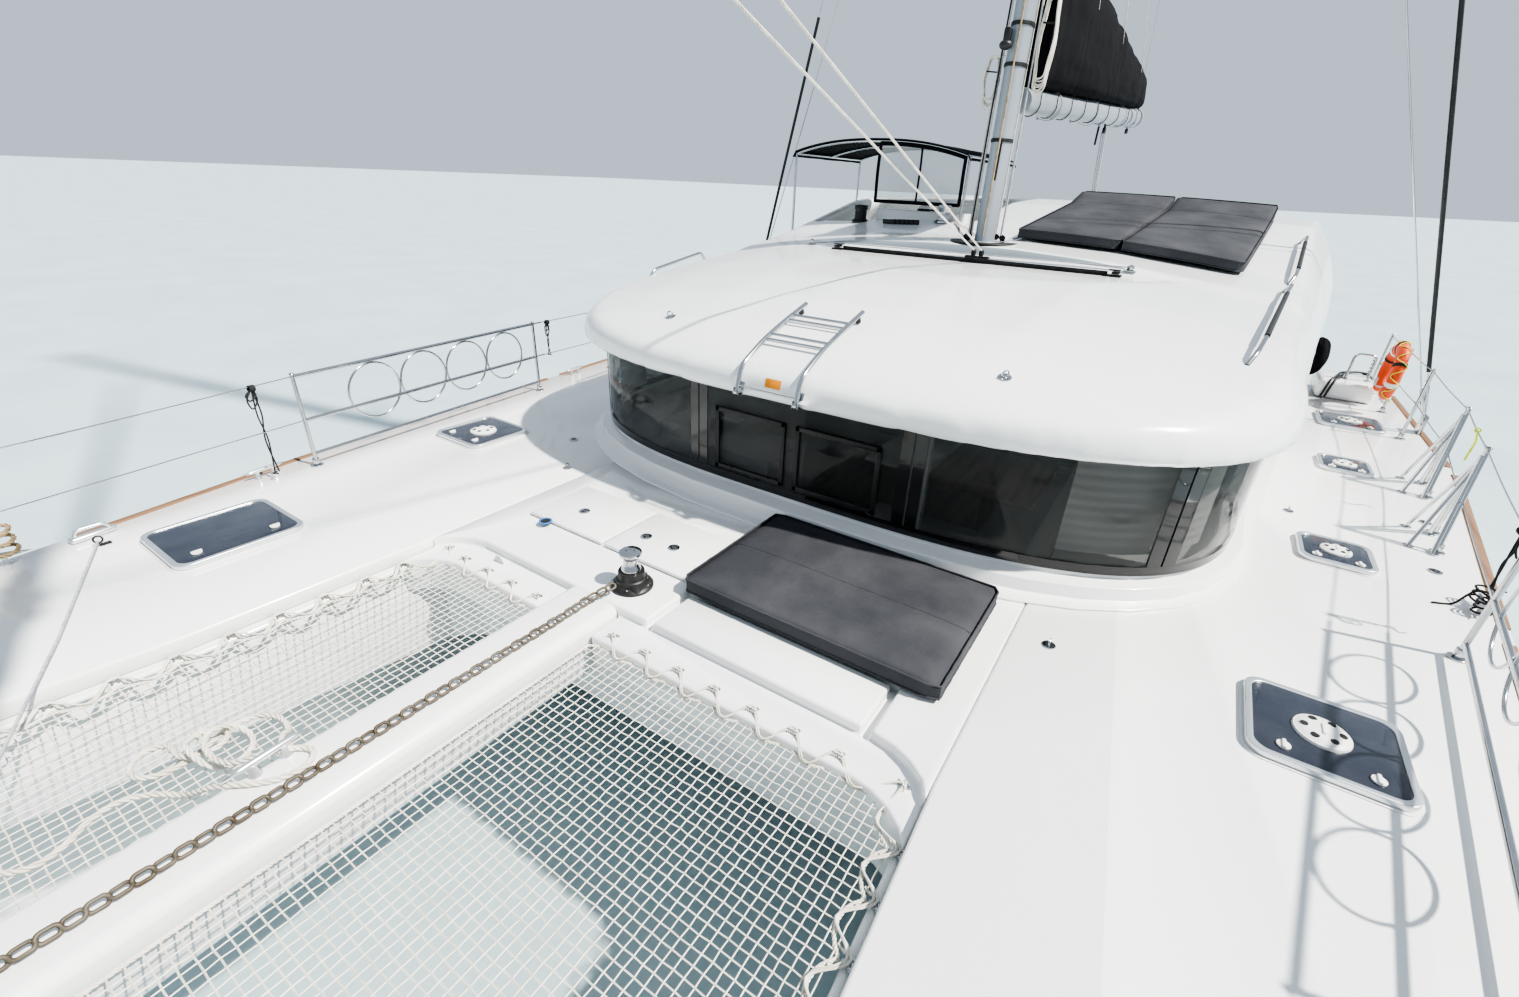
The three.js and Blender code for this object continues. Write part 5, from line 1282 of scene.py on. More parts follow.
class CATAMARAN_OT_pads(bpy.types.Operator):
    """Sews the sun pads and the foredeck cushion: crowned faces, piped edges, seams and creases"""

    bl_idname = "catamaran.pads"
    bl_label = "Pads and cushion"

    def execute(self, context):
        cord = context.scene.catamaran_sizes.piping
        for node, c0, c1, c2, c3, on_roof in PADS:
            corners = [Vector(c) for c in (c0, c1, c2, c3)]

            def plan(u, v, inset=0.0):
                u = min(max(u, inset), 1 - inset)
                v = min(max(v, inset), 1 - inset)
                front, back = corners[0].lerp(corners[1], u), corners[3].lerp(corners[2], u)
                return front.lerp(back, v)

            def height(x, y, v, share):
                base = roof_z(x, y) + 0.026 if on_roof else 1.67
                if on_roof and v > 0.8:
                    base += 0.068 * share * (v - 0.8) / 0.2
                return base + share * PAD_THICK

            def top(u, v):
                fade = min(1.0, min(u, 1 - u, min(v, 1 - v) * 1.6) / 0.06)
                p = plan(u, v, 0.006)
                crown = 0.012 * (1 - (2 * u - 1) ** 6) * (1 - (2 * v - 1) ** 6)
                drop = 0.012 * (1 - fade) ** 2
                pucker = creases(p.x, p.y, 0, 3.2, 0.0035) * fade
                dip = 0.004 * fade * noise.noise(Vector((p.x, p.y, 4)) * 1.3)
                return (p.x, p.y, height(p.x, p.y, v, 1.0) - 0.012 - drop + crown + pucker + dip)

            def under(u, v):
                p = plan(u, v, 0.008)
                return (p.x, p.y, height(p.x, p.y, v, 0.0) + 0.002)

            def rim(share):
                loop = []
                sides = (((0, 0), (1, 0)), ((1, 0), (1, 1)), ((1, 1), (0, 1)), ((0, 1), (0, 0)))
                for (u0, v0), (u1, v1) in sides:
                    for i in range(40):
                        t = 0.02 + 0.96 * i / 40
                        u, v = mix(u0, u1, t), mix(v0, v1, t)
                        p = plan(u, v)
                        bow = 0.003 * math.sin(share * math.pi) + 0.0012 * wave(i, u0 * 3 + v1)
                        out = (p - plan(0.5, 0.5)).normalized() * bow
                        loop.append(Vector((p.x + out.x, p.y + out.y,
                                            height(p.x, p.y, v, share) - 0.008 * share)))
                return loop

            levels = [rim(s) for s in (0.06, 0.28, 0.5, 0.72, 0.9)]
            count = len(levels[0])

            def wall(u, v):
                row = levels[min(len(levels) - 1, round(v * (len(levels) - 1)))]
                return row[round(u * count) % count]

            side = shaped(wall, count, len(levels) - 1)
            pad = joined([shaped(top, 44, 60), shaped(under, 6, 6), side])
            piping = [pipe([rim(share)], cord / 2, 2, True) for share in (0.07, 0.92)]
            seam = [Vector(top(i / 60, 0.8 if on_roof else 0.5)) + UP * 0.0004 for i in range(61)]
            parts = [pad, *piping, pipe([seam], 0.0016, 1)]
            stand_in(node + "_cover", parts, "upholstery", node, angle=0.9)
        return {"FINISHED"}


# Links of the anchor chain: radius of the bar, length and width over all
LINK = (0.0064, 0.062, 0.043)
# The chain's run from the windlass to the bow roller
CHAIN_RUN = (
    (3.345, -0.252, 1.702), (3.42, -0.272, 1.69), (3.5, -0.292, 1.676), (3.66, -0.29, 1.672),
    (4.4, -0.29, 1.672), (5.44, -0.29, 1.674), (5.56, -0.29, 1.694), (5.67, -0.29, 1.714), (5.9, -0.29, 1.71),
)
# The windlass's axis: x, y
WINDLASS = (3.24, -0.24)


class CATAMARAN_OT_ground_tackle(bpy.types.Operator):
    """Builds the anchor chain link by link, and the windlass"""

    bl_idname = "catamaran.ground_tackle"
    bl_label = "Ground tackle"

    def execute(self, context):
        wire, length, wide = LINK
        outline = []
        for k in range(20):
            angle = math.tau * k / 20
            bulge = (length - wide) / 2 * (1 if math.cos(angle) > 0 else -1)
            turn = wide / 2 - wire
            outline.append((turn * math.cos(angle) + bulge, turn * math.sin(angle), 0))
        link = pipe([outline], wire, 1, True)
        pitch = length - 2 * wire - 0.0006
        path = even([p + UP * 0.003 for p in flow(CHAIN_RUN, 8)], pitch)
        links = []
        for i, (a, b) in enumerate(zip(path, path[1:])):
            way = (b - a).normalized()
            roll = 0.18 * wave(i, 5) + (math.pi / 2 + 0.55 if i % 2 else -0.3)
            turn = way.to_track_quat("X", "Z").to_matrix().to_4x4() @ Matrix.Rotation(roll, 4, "X")
            new = link.copy()
            new.data = link.data.copy()
            context.scene.collection.objects.link(new)
            new.matrix_world = Matrix.Translation((a + b) / 2) @ turn
            links.append(settle(new))
        bpy.data.objects.remove(link)
        stand_in("chain_links", links, "chain", "chain", angle=1.2)

        x, y = WINDLASS
        base = turned(((0, 0), (0.108, 0), (0.108, 0.012), (0.1, 0.022), (0.082, 0.03), (0.078, 0.05),
                       (0.07, 0.056), (0.066, 0.092), (0.05, 0.094), (0, 0.094)), (x, y, 1.651), steps=48)
        box = block((0.11, 0.15, 0.05), (x + 0.01, y + 0.02, 1.676), 0.016)
        stand_in("windlass_body", [base, box], "black", "windlass_base")
        studs = [drum(0.006, 0.008, (x + 0.093 * math.cos(a), y + 0.093 * math.sin(a), 1.68), sides=6,
                      edge=0.001)
                 for a in (0.5, 1.75, 3.0, 4.25, 5.5)]
        done("windlass_bolts", studs, "stainless", 0.5)
        profile = ((0, 0.1), (0.05, 0.1), (0.049, 0.108), (0.038, 0.124), (0.034, 0.14), (0.034, 0.158),
                   (0.042, 0.172), (0.056, 0.184), (0.0585, 0.19), (0.057, 0.199), (0.05, 0.204),
                   (0.024, 0.206), (0.021, 0.2), (0, 0.2))
        drum_piece = turned(profile, (x, y, 1.65), steps=48)
        ribs = [block((0.004, 0.006, 0.034), (x + 0.0345 * math.cos(a), y + 0.0345 * math.sin(a), 1.799),
                      0.0015, (0, 0, a)) for a in (k * math.pi / 4 for k in range(8))]
        stand_in("windlass_drum_turned", [drum_piece, *ribs], "stainless", "windlass_drum")
        return {"FINISHED"}


# Rail posts: how far inside the deck's edge, height of the top, and the lower wire's share of it
POST_IN = 0.235
POST_TOP = 2.27
WIRE_LOW_SHARE = 0.52
# Each post from the bow: x of the foot, lean of the top
POSTS = ((5.75, 0), (3.47, 0), (1.38, 0), (0.05, -0.17), (-0.29, 0.17), (-1.03, -0.17), (-1.38, 0.17),
         (-2.62, 0), (-3.6, 0), (-4.56, 0))
# The bay with a tubed rail, the bays that are gates, and the rings' middles in the tubed bay
TUBED = 1
GATES = (3, 5)
RING_X = (1.741, 2.144, 2.546, 2.949)


class CATAMARAN_OT_rails(bpy.types.Operator):
    """Builds the posts, lifelines, ring railings and bow rails with their bases and lashings"""

    bl_idname = "catamaran.rails"
    bl_label = "Rails"

    def execute(self, context):
        sizes = context.scene.catamaran_sizes
        tube = sizes.tube / 2
        for side, sign in SIDES:
            def post(x, z):
                return Vector((x, sign * (edge_y(x) - POST_IN), z))

            tops = [post(x + lean, POST_TOP) for x, lean in POSTS]
            feet = [post(x, ON_DECK) for x, _ in POSTS]
            lows = [a.lerp(b, WIRE_LOW_SHARE) for a, b in zip(feet, tops)]
            bars, wires, bases, ties = [], [], [], []
            for a, b in zip(feet[1:], tops[1:]):
                bars.append([a, b + UP * 0.012])
                bases.append(drum(0.038, 0.008, a + UP * 0.004, edge=0.002))
                bases.append(drum(0.021, 0.05, a + UP * 0.03, edge=0.003))
                bases.append(ball(0.016, b + UP * 0.016, (1, 1, 0.6), sides=16))
            for i, (a, b, c, d) in enumerate(zip(tops, tops[1:], lows, lows[1:])):
                if i in GATES:
                    continue
                if i == TUBED:
                    bars += [[a, b], [c, d], [p - UP * 0.24 for p in (c, d)]]
                elif i > 0:
                    sag = Vector((0, 0, -0.006 * (b - a).length))
                    wires.append(flow([a, (a + b) / 2 + sag, b], 6))
                    wires.append(flow([c, (c + d) / 2 + sag, d], 6))
                    for p, q in ((a, b), (c, d)):
                        way = (q - p).normalized()
                        ties.append([p + way * 0.02, p + way * 0.11])
                else:
                    wires.append(flow([a, (a + b) / 2 - UP * 0.01, b], 6))
                    wires.append([c, d])
            wires += [tops[3:5], tops[5:7]]
            bow = [(5.75, edge_y(5.75) - POST_IN, ON_DECK), (5.75, edge_y(5.75) - POST_IN, POST_TOP),
                   (6.18, 2.56, 2.3), (6.3, 2.455, 2.3), (6.18, 2.35, 2.3), (5.9, 2.08, 2.28),
                   (5.85, 2.08, ON_DECK)]
            bars.append(bend([(x, sign * y, z) for x, y, z in bow], 0.12, 6))
            bars.append([(6.2, sign * 2.45, ON_DECK), (6.29, sign * 2.45, 2.29)])
            pulpit = [(x, sign * y, 1.654)
                      for x, y in ((5.75, edge_y(5.75) - POST_IN), (5.85, 2.08), (6.2, 2.45))]
            bases.extend(drum(0.036, 0.008, p, edge=0.002) for p in pulpit)
            rings = []
            for x in RING_X:
                axis = (sign * (edge_y(x + 0.1) - edge_y(x - 0.1)), -0.2, 0)
                rings.append(hoop(0.196, 0.0075, post(x, POST_TOP - 0.216), axis, 48, 8))
            runs = [pipe(bars, tube, 3), pipe(wires, sizes.wire / 2, 2), pipe(ties, sizes.wire * 0.85, 2)]
            stand_in(f"rail_{side}_tubes", [*runs, *bases, *rings], "stainless", f"rail_{side}", angle=0.9)
        return {"FINISHED"}


def on_roof(x, y):
    """The coachroof's surface above a place: the point and the way it faces."""
    hit, place, normal, _ = bpy.data.objects["coachroof_moulding"].ray_cast(Vector((x, y, 6)), DOWN)
    if not hit:
        raise RuntimeError(f"the coachroof isn't under {x}, {y}")
    return place, normal


def placed(obj, at, facing, turn=0.0):
    """Sets an object made about the origin on a surface, turned about its normal."""
    base = Vector(facing).to_track_quat("Z", "Y").to_matrix().to_4x4()
    obj.matrix_world = Matrix.Translation(at) @ base @ Matrix.Rotation(turn, 4, "Z")
    return settle(obj)


def oval_ring(along, across, count=40):
    """Points of an oval about the mast's axis."""
    turns = (math.tau * k / count for k in range(count))
    return [(MAST_X + along * math.cos(a), across * math.sin(a)) for a in turns]


def padeye(at, facing=(0, 0, 1), turn=0.0, size=1.0):
    """A folding ring on its round screwed base."""
    parts = [drum(0.034 * size, 0.005, (0, 0, 0.0025), edge=0.0015),
             hoop(0.019 * size, 0.0042 * size, (0, 0, 0.019 * size), (0, 1, 0), 28, 8),
             block((0.026 * size, 0.012, 0.011), (0, 0, 0.007), 0.003)]
    parts.extend(drum(0.0045, 0.002, (x, y, 0.0058), sides=12) for x, y in ((0.023, 0.012), (-0.023, 0.012),
                                                                          (0.0, -0.026)))
    return placed(joined(parts), at, facing, turn)


def sheave_block(at, way, size=0.03, axle=(0, 1, 0)):
    """A rigging block: two cheeks, a sheave and a shackle, hung along a way."""
    way, axle = Vector(way).normalized(), Vector(axle).normalized()
    at = Vector(at)
    parts = [drum(size, 0.005, at + axle * shift, axle, 28, 0.0018) for shift in (-0.0105, 0.0105)]
    parts.append(drum(size * 0.84, 0.014, at, axle, 28, 0.002))
    parts.append(drum(0.006, 0.032, at, axle, 12))
    parts.append(hoop(size * 0.42, 0.0035, at - way * size * 1.2, axle, 20, 6))
    return parts


# Winch outline: radius and height as shares of its size
WINCH = ((0, 0), (0.56, 0), (0.56, 0.05), (0.52, 0.1), (0.42, 0.14), (0.36, 0.3), (0.34, 0.55), (0.36, 0.7),
         (0.44, 0.8), (0.45, 0.84), (0.41, 0.86), (0.41, 0.9), (0.45, 0.92), (0.44, 0.98), (0.36, 1.0),
         (0.12, 1.01), (0.1, 0.97), (0, 0.97))


def winch(at, size):
    """A sheet winch with its ribs and stripper arm."""
    x, y, z = at
    parts = [turned([(r * size, h * size) for r, h in WINCH], at, steps=44)]
    for k in range(10):
        a = math.tau * k / 10
        parts.append(block((0.05 * size, 0.04 * size, 0.36 * size),
                           (x + 0.352 * size * math.cos(a), y + 0.352 * size * math.sin(a), z + 0.45 * size),
                           0.002, (0, 0, a)))
    parts.append(block((0.5 * size, 0.09 * size, 0.06 * size), (x + 0.2 * size, y, z + 1.0 * size), 0.003))
    return parts


# The mast's axis, the heights of its foot, of its top and of where shrouds and stay meet it
MAST_X, MAST_FOOT, MAST_TOP, HOUNDS = -1.1, 3.03, 20.4, 17.6
# Gooseneck: x and height; the boom's aft end; the port spreader's tip; the forestay's ends
GOOSE = (-1.315, 4.22)
BOOM_END = (-5.52, 0.41, 4.43)
SPREADER = (-1.72, 0.9, 10.5)
STAY_FOOT, STAY_HEAD = (5.65, 0.0, 2.03), (-0.964, 0.0, 17.6)
# Rail of the folding ladder: distance along the roof, height above it; and the heights of its treads
LADDER_FOOT = (2.375, -0.04, 2.47)
LADDER_RAIL = ((0.0, 0.0), (0.04, 0.118), (0.26, 0.122), (0.5, 0.088), (0.8, 0.03))
LADDER_TREADS = ((0.33, 0.112), (0.59, 0.07))
# Jib track: x, height of the roof's ledge, half length, y of the car; and the jib's clew
TRACK = (-0.55, 2.9755, 1.12, 0.12)
CLEW = (4.42, 0.0, 4.72)


class CATAMARAN_OT_ladder(bpy.types.Operator):
    """Bends the folding ladder's tubes, with its double treads, feet, stops and blank label"""

    bl_idname = "catamaran.ladder"
    bl_label = "Roof ladder"

    def execute(self, context):
        x0, y0, z0 = LADDER_FOOT
        reach = LADDER_RAIL[-1][0]
        slope = math.atan2(roof_z(x0 - reach, y0) + 0.045 - z0, reach)

        def at(along, lift, across):
            return Vector((x0 - along * math.cos(slope), y0 + across, z0 + along * math.sin(slope) + lift))

        sides = (-0.19, 0.19)
        steel = [pipe([bend([at(*p, side) for p in LADDER_RAIL], 0.11, 7) for side in sides], 0.0135, 5)]
        treads = [[at(along + shift, lift, side) for side in sides] for along, lift in LADDER_TREADS
                  for shift in (-0.024, 0.024)]
        steel.append(pipe(treads, 0.0085, 4))
        steel.append(pipe([[at(0.02, 0.02, side) for side in sides]], 0.006, 3))
        for side in sides:
            steel.append(drum(0.017, 0.02, at(0, 0, side), (0, 1, 0), 24, 0.002))
        stand_in("roof_ladder_tubes", steel, "stainless", "roof_ladder", angle=0.9)
        stops = [drum(0.016, 0.03, at(0.74, 0.018, side), (math.sin(slope), 0, math.cos(slope)), 20, 0.003)
                 for side in sides]
        done("roof_ladder_stops", stops, "black", body="roof_ladder")
        brackets = []
        for side in sides:
            for shift in (-0.016, 0.016):
                brackets.append(block((0.05, 0.004, 0.04), at(0.016, -0.004, side + shift), 0.0015))
            brackets.append(drum(0.005, 0.044, at(0, 0, side), (0, 1, 0), 14, 0.001))
            place, facing = on_roof(2.335, y0 + side)
            brackets.append(placed(block((0.05, 0.05, 0.004), (0, 0, 0.002), 0.0015), place, facing))
        done("roof_ladder_brackets", brackets, "stainless")
        place, facing = on_roof(2.318, -0.031)
        done("roof_label", [placed(block((0.1, 0.05, 0.0016), (0, 0, 0.001), 0.0005), place, facing)], "label")
        eyes = [padeye(*on_roof(1.945, 1.07 * sign), 0.6) for _, sign in SIDES]
        done("roof_padeyes", eyes, "stainless")
        return {"FINISHED"}


class CATAMARAN_OT_jib_track(bpy.types.Operator):
    """Lays the self-tacking track with its car, end stops and lines, and leads the sheets to the clew"""

    bl_idname = "catamaran.jib_track"
    bl_label = "Jib track and sheets"

    def execute(self, context):
        x, z, half, car = TRACK
        rail = [block((0.034, 2 * half, 0.01), (x, 0, z + 0.005), 0.002),
                block((0.016, 2 * half, 0.014), (x, 0, z + 0.016)),
                block((0.03, 2 * half, 0.012), (x, 0, z + 0.028), 0.003)]
        for sign in (-1, 1):
            end = Vector((x, sign * (half + 0.045), z))
            rail.append(block((0.1, 0.11, 0.014), end + UP * 0.007, 0.005))
            rail.append(block((0.07, 0.08, 0.008), end + UP * 0.046, 0.003))
            rail.extend(drum(0.028, 0.016, end + Vector((side * 0.022, 0.012 * sign, 0.028)), edge=0.003)
                        for side in (-1, 1))
        rail.append(block((0.075, 0.15, 0.022), (x, car, z + 0.042), 0.007))
        rail.extend(block((0.06, 0.045, 0.03), (x, car + shift, z + 0.04), 0.006) for shift in (-0.075, 0.075))
        for shift in (-0.032, 0.032):
            rail.extend(sheave_block((x + 0.005, car + shift, z + 0.078), (-0.9, 0, -0.3), 0.026, (0.1, 1, 0)))
        stand_in("jib_track_rail", rail, "track", "jib_track")
        bolts = [drum(0.0055, 0.002, (x, -half + 0.05 + 0.1 * k, z + 0.0348), sides=6) for k in range(24)
                 if abs(-half + 0.05 + 0.1 * k - car) > 0.11]
        done("jib_track_bolts", bolts, "stainless")
        hooks = [on_roof(-0.664, -1.521)[0] + UP * 0.03, on_roof(-0.685, 1.255)[0] + UP * 0.03]
        fittings = []
        for hook in hooks:
            fittings.append(block((0.05, 0.09, 0.006), hook - UP * 0.026, 0.002))
            fittings.append(block((0.012, 0.05, 0.036), hook - UP * 0.008, 0.004))
            fittings.append(drum(0.018, 0.02, hook, (1, 0, 0), edge=0.003))
        done("jib_control_fittings", fittings, "stainless")

        # A grey strip laid just over the roof behind the track: painted shade on the riser there
        def riser_shade(u, v):
            py = mix(-1.5, 1.24, u)
            px = -0.7 - 0.075 * math.sin(math.pi * u) ** 0.6 * v
            at, facing = on_roof(px, py)
            return tuple(at + facing * 0.0015)

        done("track_riser_shade", [shaped(riser_shade, 90, 8)], "riser_shade", 0.9)
        done("jib_control_line", [pipe([hooks], 0.0045, 2)], "line", 1.2)
        clew = Vector(CLEW)
        ends = (clew + Vector((0.02, 0.012, 0.1)), clew + Vector((0.03, -0.012, -0.09)))
        starts = [Vector((x + 0.02, car + shift, z + 0.1)) for shift in (0.032, -0.032)]
        sheets = [laid([a.lerp(b, k / 40) for k in range(41)], 0.0075, 0.05, 1) for a, b in zip(starts, ends)]
        done("jib_sheets", sheets, "rope", 1.2)
        done("jib_sheet_block", sheave_block(ends[1], (0.6, 0, 0.6), 0.03), "black")
        stay = Vector(STAY_FOOT).lerp(Vector(STAY_HEAD), 0.168)
        corner = [stay + UP * 0.35, stay - UP * 0.3, clew + Vector((-0.02, 0, 0.0))]

        def patch(u, v):
            ripple = Vector((0, 0.012 * math.sin(3 * u + 4 * v), 0))
            return corner[0].lerp(corner[1], u).lerp(corner[2], v * 0.98) + ripple

        done("jib_clew_patch", [shaped(patch, 10, 10, 0.006)], "sailcloth", 0.9)
        done("jib_clew_ring", [hoop(0.03, 0.006, clew, (0, 1, 0), 32, 8)], "stainless")
        return {"FINISHED"}


# Halyards: foot x, y; top x, y, z; finish
HALYARDS = (
    (-1.03, -0.13, -1.05, -0.088, 5.6, "line"), (-0.98, -0.1, -1.0, -0.08, 6.4, "lashing"),
    (-1.12, -0.13, -1.1, -0.09, 7.3, "rope"), (-1.25, -0.05, -1.26, -0.03, 16.9, "rope"),
    (-1.26, 0.0, -1.27, 0.0, 17.1, "line"), (-1.27, 0.05, -1.3, 0.02, 20.3, "rope"),
    (-1.2, 0.11, -1.2, 0.075, 8.2, "rope"), (-1.14, 0.13, -1.14, 0.088, 6.0, "line"),
    (-0.955, 0.02, -0.962, 0.02, 5.1, "tan"),
)
# One turn of a hank: the angle in degrees, and how far down it lies between the top and the fold at the bottom
HANK_TURN = (
    *((15 * i, 0) for i in range(7)), *((90, share / 6) for share in range(1, 6)),
    *((15 * i, 1) for i in range(6, 19)), *((270, share / 6) for share in range(5, 0, -1)),
    *((15 * i, 0) for i in range(18, 24)),
)
# Coils hung on the mast: x, y of the hook, z of the top, length, turns, radius, finish
HUNG_COILS = ((-1.07, -0.09, 4.5, 0.34, 5, 0.006, "rope"), (-1.15, 0.09, 4.9, 0.6, 7, 0.0065, "rope"))


class CATAMARAN_OT_mast(bpy.types.Operator):
    """Draws the mast's oval tube with its spreaders, collars, halyards, coils, blocks and masthead"""

    bl_idname = "catamaran.mast"
    bl_label = "Mast"

    def execute(self, context):
        def wall(u, v):
            z = mix(MAST_FOOT, MAST_TOP, v)
            share = 1.0 if z < HOUNDS else 1.0 - 0.2 * (z - HOUNDS) / (MAST_TOP - HOUNDS)
            a = math.tau * u
            return (MAST_X + 0.13 * share * math.cos(a), 0.08 * share * math.sin(a), z)

        parts = [shaped(wall, 48, 60, 0.0, True)]
        parts.append(block((0.022, 0.03, 15.4), (MAST_X - 0.135, 0, 12.2), 0.004))
        parts.append(plate([oval_ring(0.2, 0.15)], 3.06, 3.115, 0.006))
        gx, gz = GOOSE
        parts.append(block((0.12, 0.05, 0.1), (gx + 0.036, 0, gz), 0.008))
        for _, sign in SIDES:
            root = Vector((MAST_X - 0.03, sign * 0.07, SPREADER[2] - 0.09))
            tip = Vector((SPREADER[0], sign * (SPREADER[1] - 0.022), SPREADER[2]))

            def wing(u, v):
                a = math.tau * u
                p = root.lerp(tip, v)
                chord = mix(0.075, 0.042, v)
                return p + Vector((chord * math.cos(a), 0, chord * 0.26 * math.sin(a)))

            parts.append(shaped(wing, 20, 8, 0.0, True))
            parts.append(block((0.16, 0.02, 0.12), root + Vector((0, 0.012 * sign, 0)), 0.006))
        parts.append(block((0.52, 0.05, 0.08), (MAST_X - 0.07, 0, MAST_TOP), 0.008))
        stand_in("mast_tube", parts, "spar", "mast")

        bands = [plate([oval_ring(0.138, 0.088), oval_ring(0.1305, 0.0805)], z - 0.014, z + 0.014, 0.002)
                 for z in (4.43, 4.7, 3.9)]
        bands.append(plate([oval_ring(0.33, 0.29), oval_ring(0.125, 0.075)], 3.098, 3.112, 0.004))
        for z in (HOUNDS, 10.2):
            bands.append(plate([oval_ring(0.145, 0.095), oval_ring(0.129, 0.079)], z - 0.05, z - 0.01, 0.003))
        bands.append(block((0.006, 0.02, 0.3), (MAST_X + 0.126, 0.03, 3.75), 0.002))
        bands.append(block((0.07, 0.05, 0.09), (MAST_X + 0.16, -0.06, 4.62), 0.012))
        bands.append(ball(0.05, (MAST_X + 0.17, -0.06, 4.55), (1, 1, 0.7), sides=24))
        done("mast_collars", bands, "black")

        by_finish, blocks = {}, []
        for x, y, tx, ty, tz, finish in HALYARDS:
            slack = (mix(x, tx, 0.3), mix(y, ty, 0.3) * 1.05, 4.1)
            by_finish.setdefault(finish, []).append([(x, y, 3.16), slack, (tx, ty, tz)])
            if x < -0.97:
                blocks.extend(sheave_block((x, y * 1.12, 3.145), (0, 0, 1), 0.024, (1, 0.3, 0)))
                out = 1 if y >= 0 else -1
                apart = 0.02 * len(blocks) / 5
                end = (-2.2, -0.62 - apart) if out < 0 else (-1.62, 0.09 + apart)
                if out < 0 or x > -1.15:
                    lead = [(x, y * 1.25, 3.125)]
                    for k in range(1, 6):
                        px, py = mix(x, end[0], k / 5), mix(y * 1.25, end[1], k / 5)
                        if px > -2.12:
                            lead.append((px, py, on_roof(px, py)[0].z + 0.012))
                    by_finish[finish].append(lead)
        for finish, runs in by_finish.items():
            done(f"halyards_{finish}", [pipe(runs, 0.0068, 2)], finish, 1.2)
        done("mast_foot_blocks", blocks, "track")
        for k, (x, y, z, drop, turns, r, finish) in enumerate(HUNG_COILS):
            out = 1 if y > 0 else -1
            wide = 6.4 * r
            path = [Vector((x, y, z))]
            for turn in range(turns):
                fall = drop * (1 + 0.12 * wave(turn, k)) - 2 * wide
                for degrees, low in HANK_TURN:
                    a = math.radians(degrees)
                    bulge = 1 + 0.5 * math.sin(math.pi * low) ** 2
                    path.append(Vector((
                        x - (turn + degrees / 360) * 2.15 * r, y + out * (0.09 + wide * math.sin(a) * bulge),
                        z - wide * (1 - math.cos(a)) - low * fall,
                    )))
            path = even(path, 0.012)
            coil = pipe([path], r, 3)
            knot = (x - turns * 1.07 * r, y + out * 0.09, z - drop * 0.3)
            tie = hoop(max(0.046, 0.0079 * turns), 0.005, knot, (0.1, 0.1, 1), 28, 8)
            tied = done(f"halyard_coil_{k + 1}_tie", [tie], "lashing", 1.2)
            cord = done(f"halyard_coil_{k + 1}", [coil], finish, 1.2)
            tuple(path[0])
            path_length(path)
            [tuple(p) for p in path]

        top = [drum(0.003, 0.22, (MAST_X - 0.06, 0.02, 20.53), sides=10),
               drum(0.018, 0.05, (MAST_X, 0, 20.47), edge=0.004),
               drum(0.045, 0.03, (MAST_X - 0.28, 0, 20.455), (0, 1, 0), edge=0.006),
               drum(0.045, 0.03, (MAST_X + 0.15, 0, 20.41), (0, 1, 0), edge=0.006),
               block((0.2, 0.004, 0.02), (MAST_X - 0.02, 0.02, 20.6), 0.001)]
        done("masthead", top, "black")
        done("masthead_light", [drum(0.024, 0.06, (MAST_X, 0, 20.55), edge=0.008)], "clear")
        return {"FINISHED"}


def boom_at(t):
    """A point of the boom's axis: 0 at the gooseneck, 1 at its aft end."""
    return Vector((-1.405, 0.008, GOOSE[1])).lerp(Vector(BOOM_END), t)


# The sail bag: share of the boom, height, half width
BAG = ((0.02, 1.05, 0.125), (0.3, 0.92, 0.155), (0.5, 0.76, 0.15), (0.8, 0.5, 0.125), (0.96, 0.37, 0.085))
# Its outline across: half widths and heights as shares
BAG_SHAPE = ((0.0, 0.0), (0.55, 0.004), (0.86, 0.07), (1.0, 0.24), (0.97, 0.42), (0.84, 0.64), (0.62, 0.84),
             (0.22, 0.99), (0.0, 1.0))


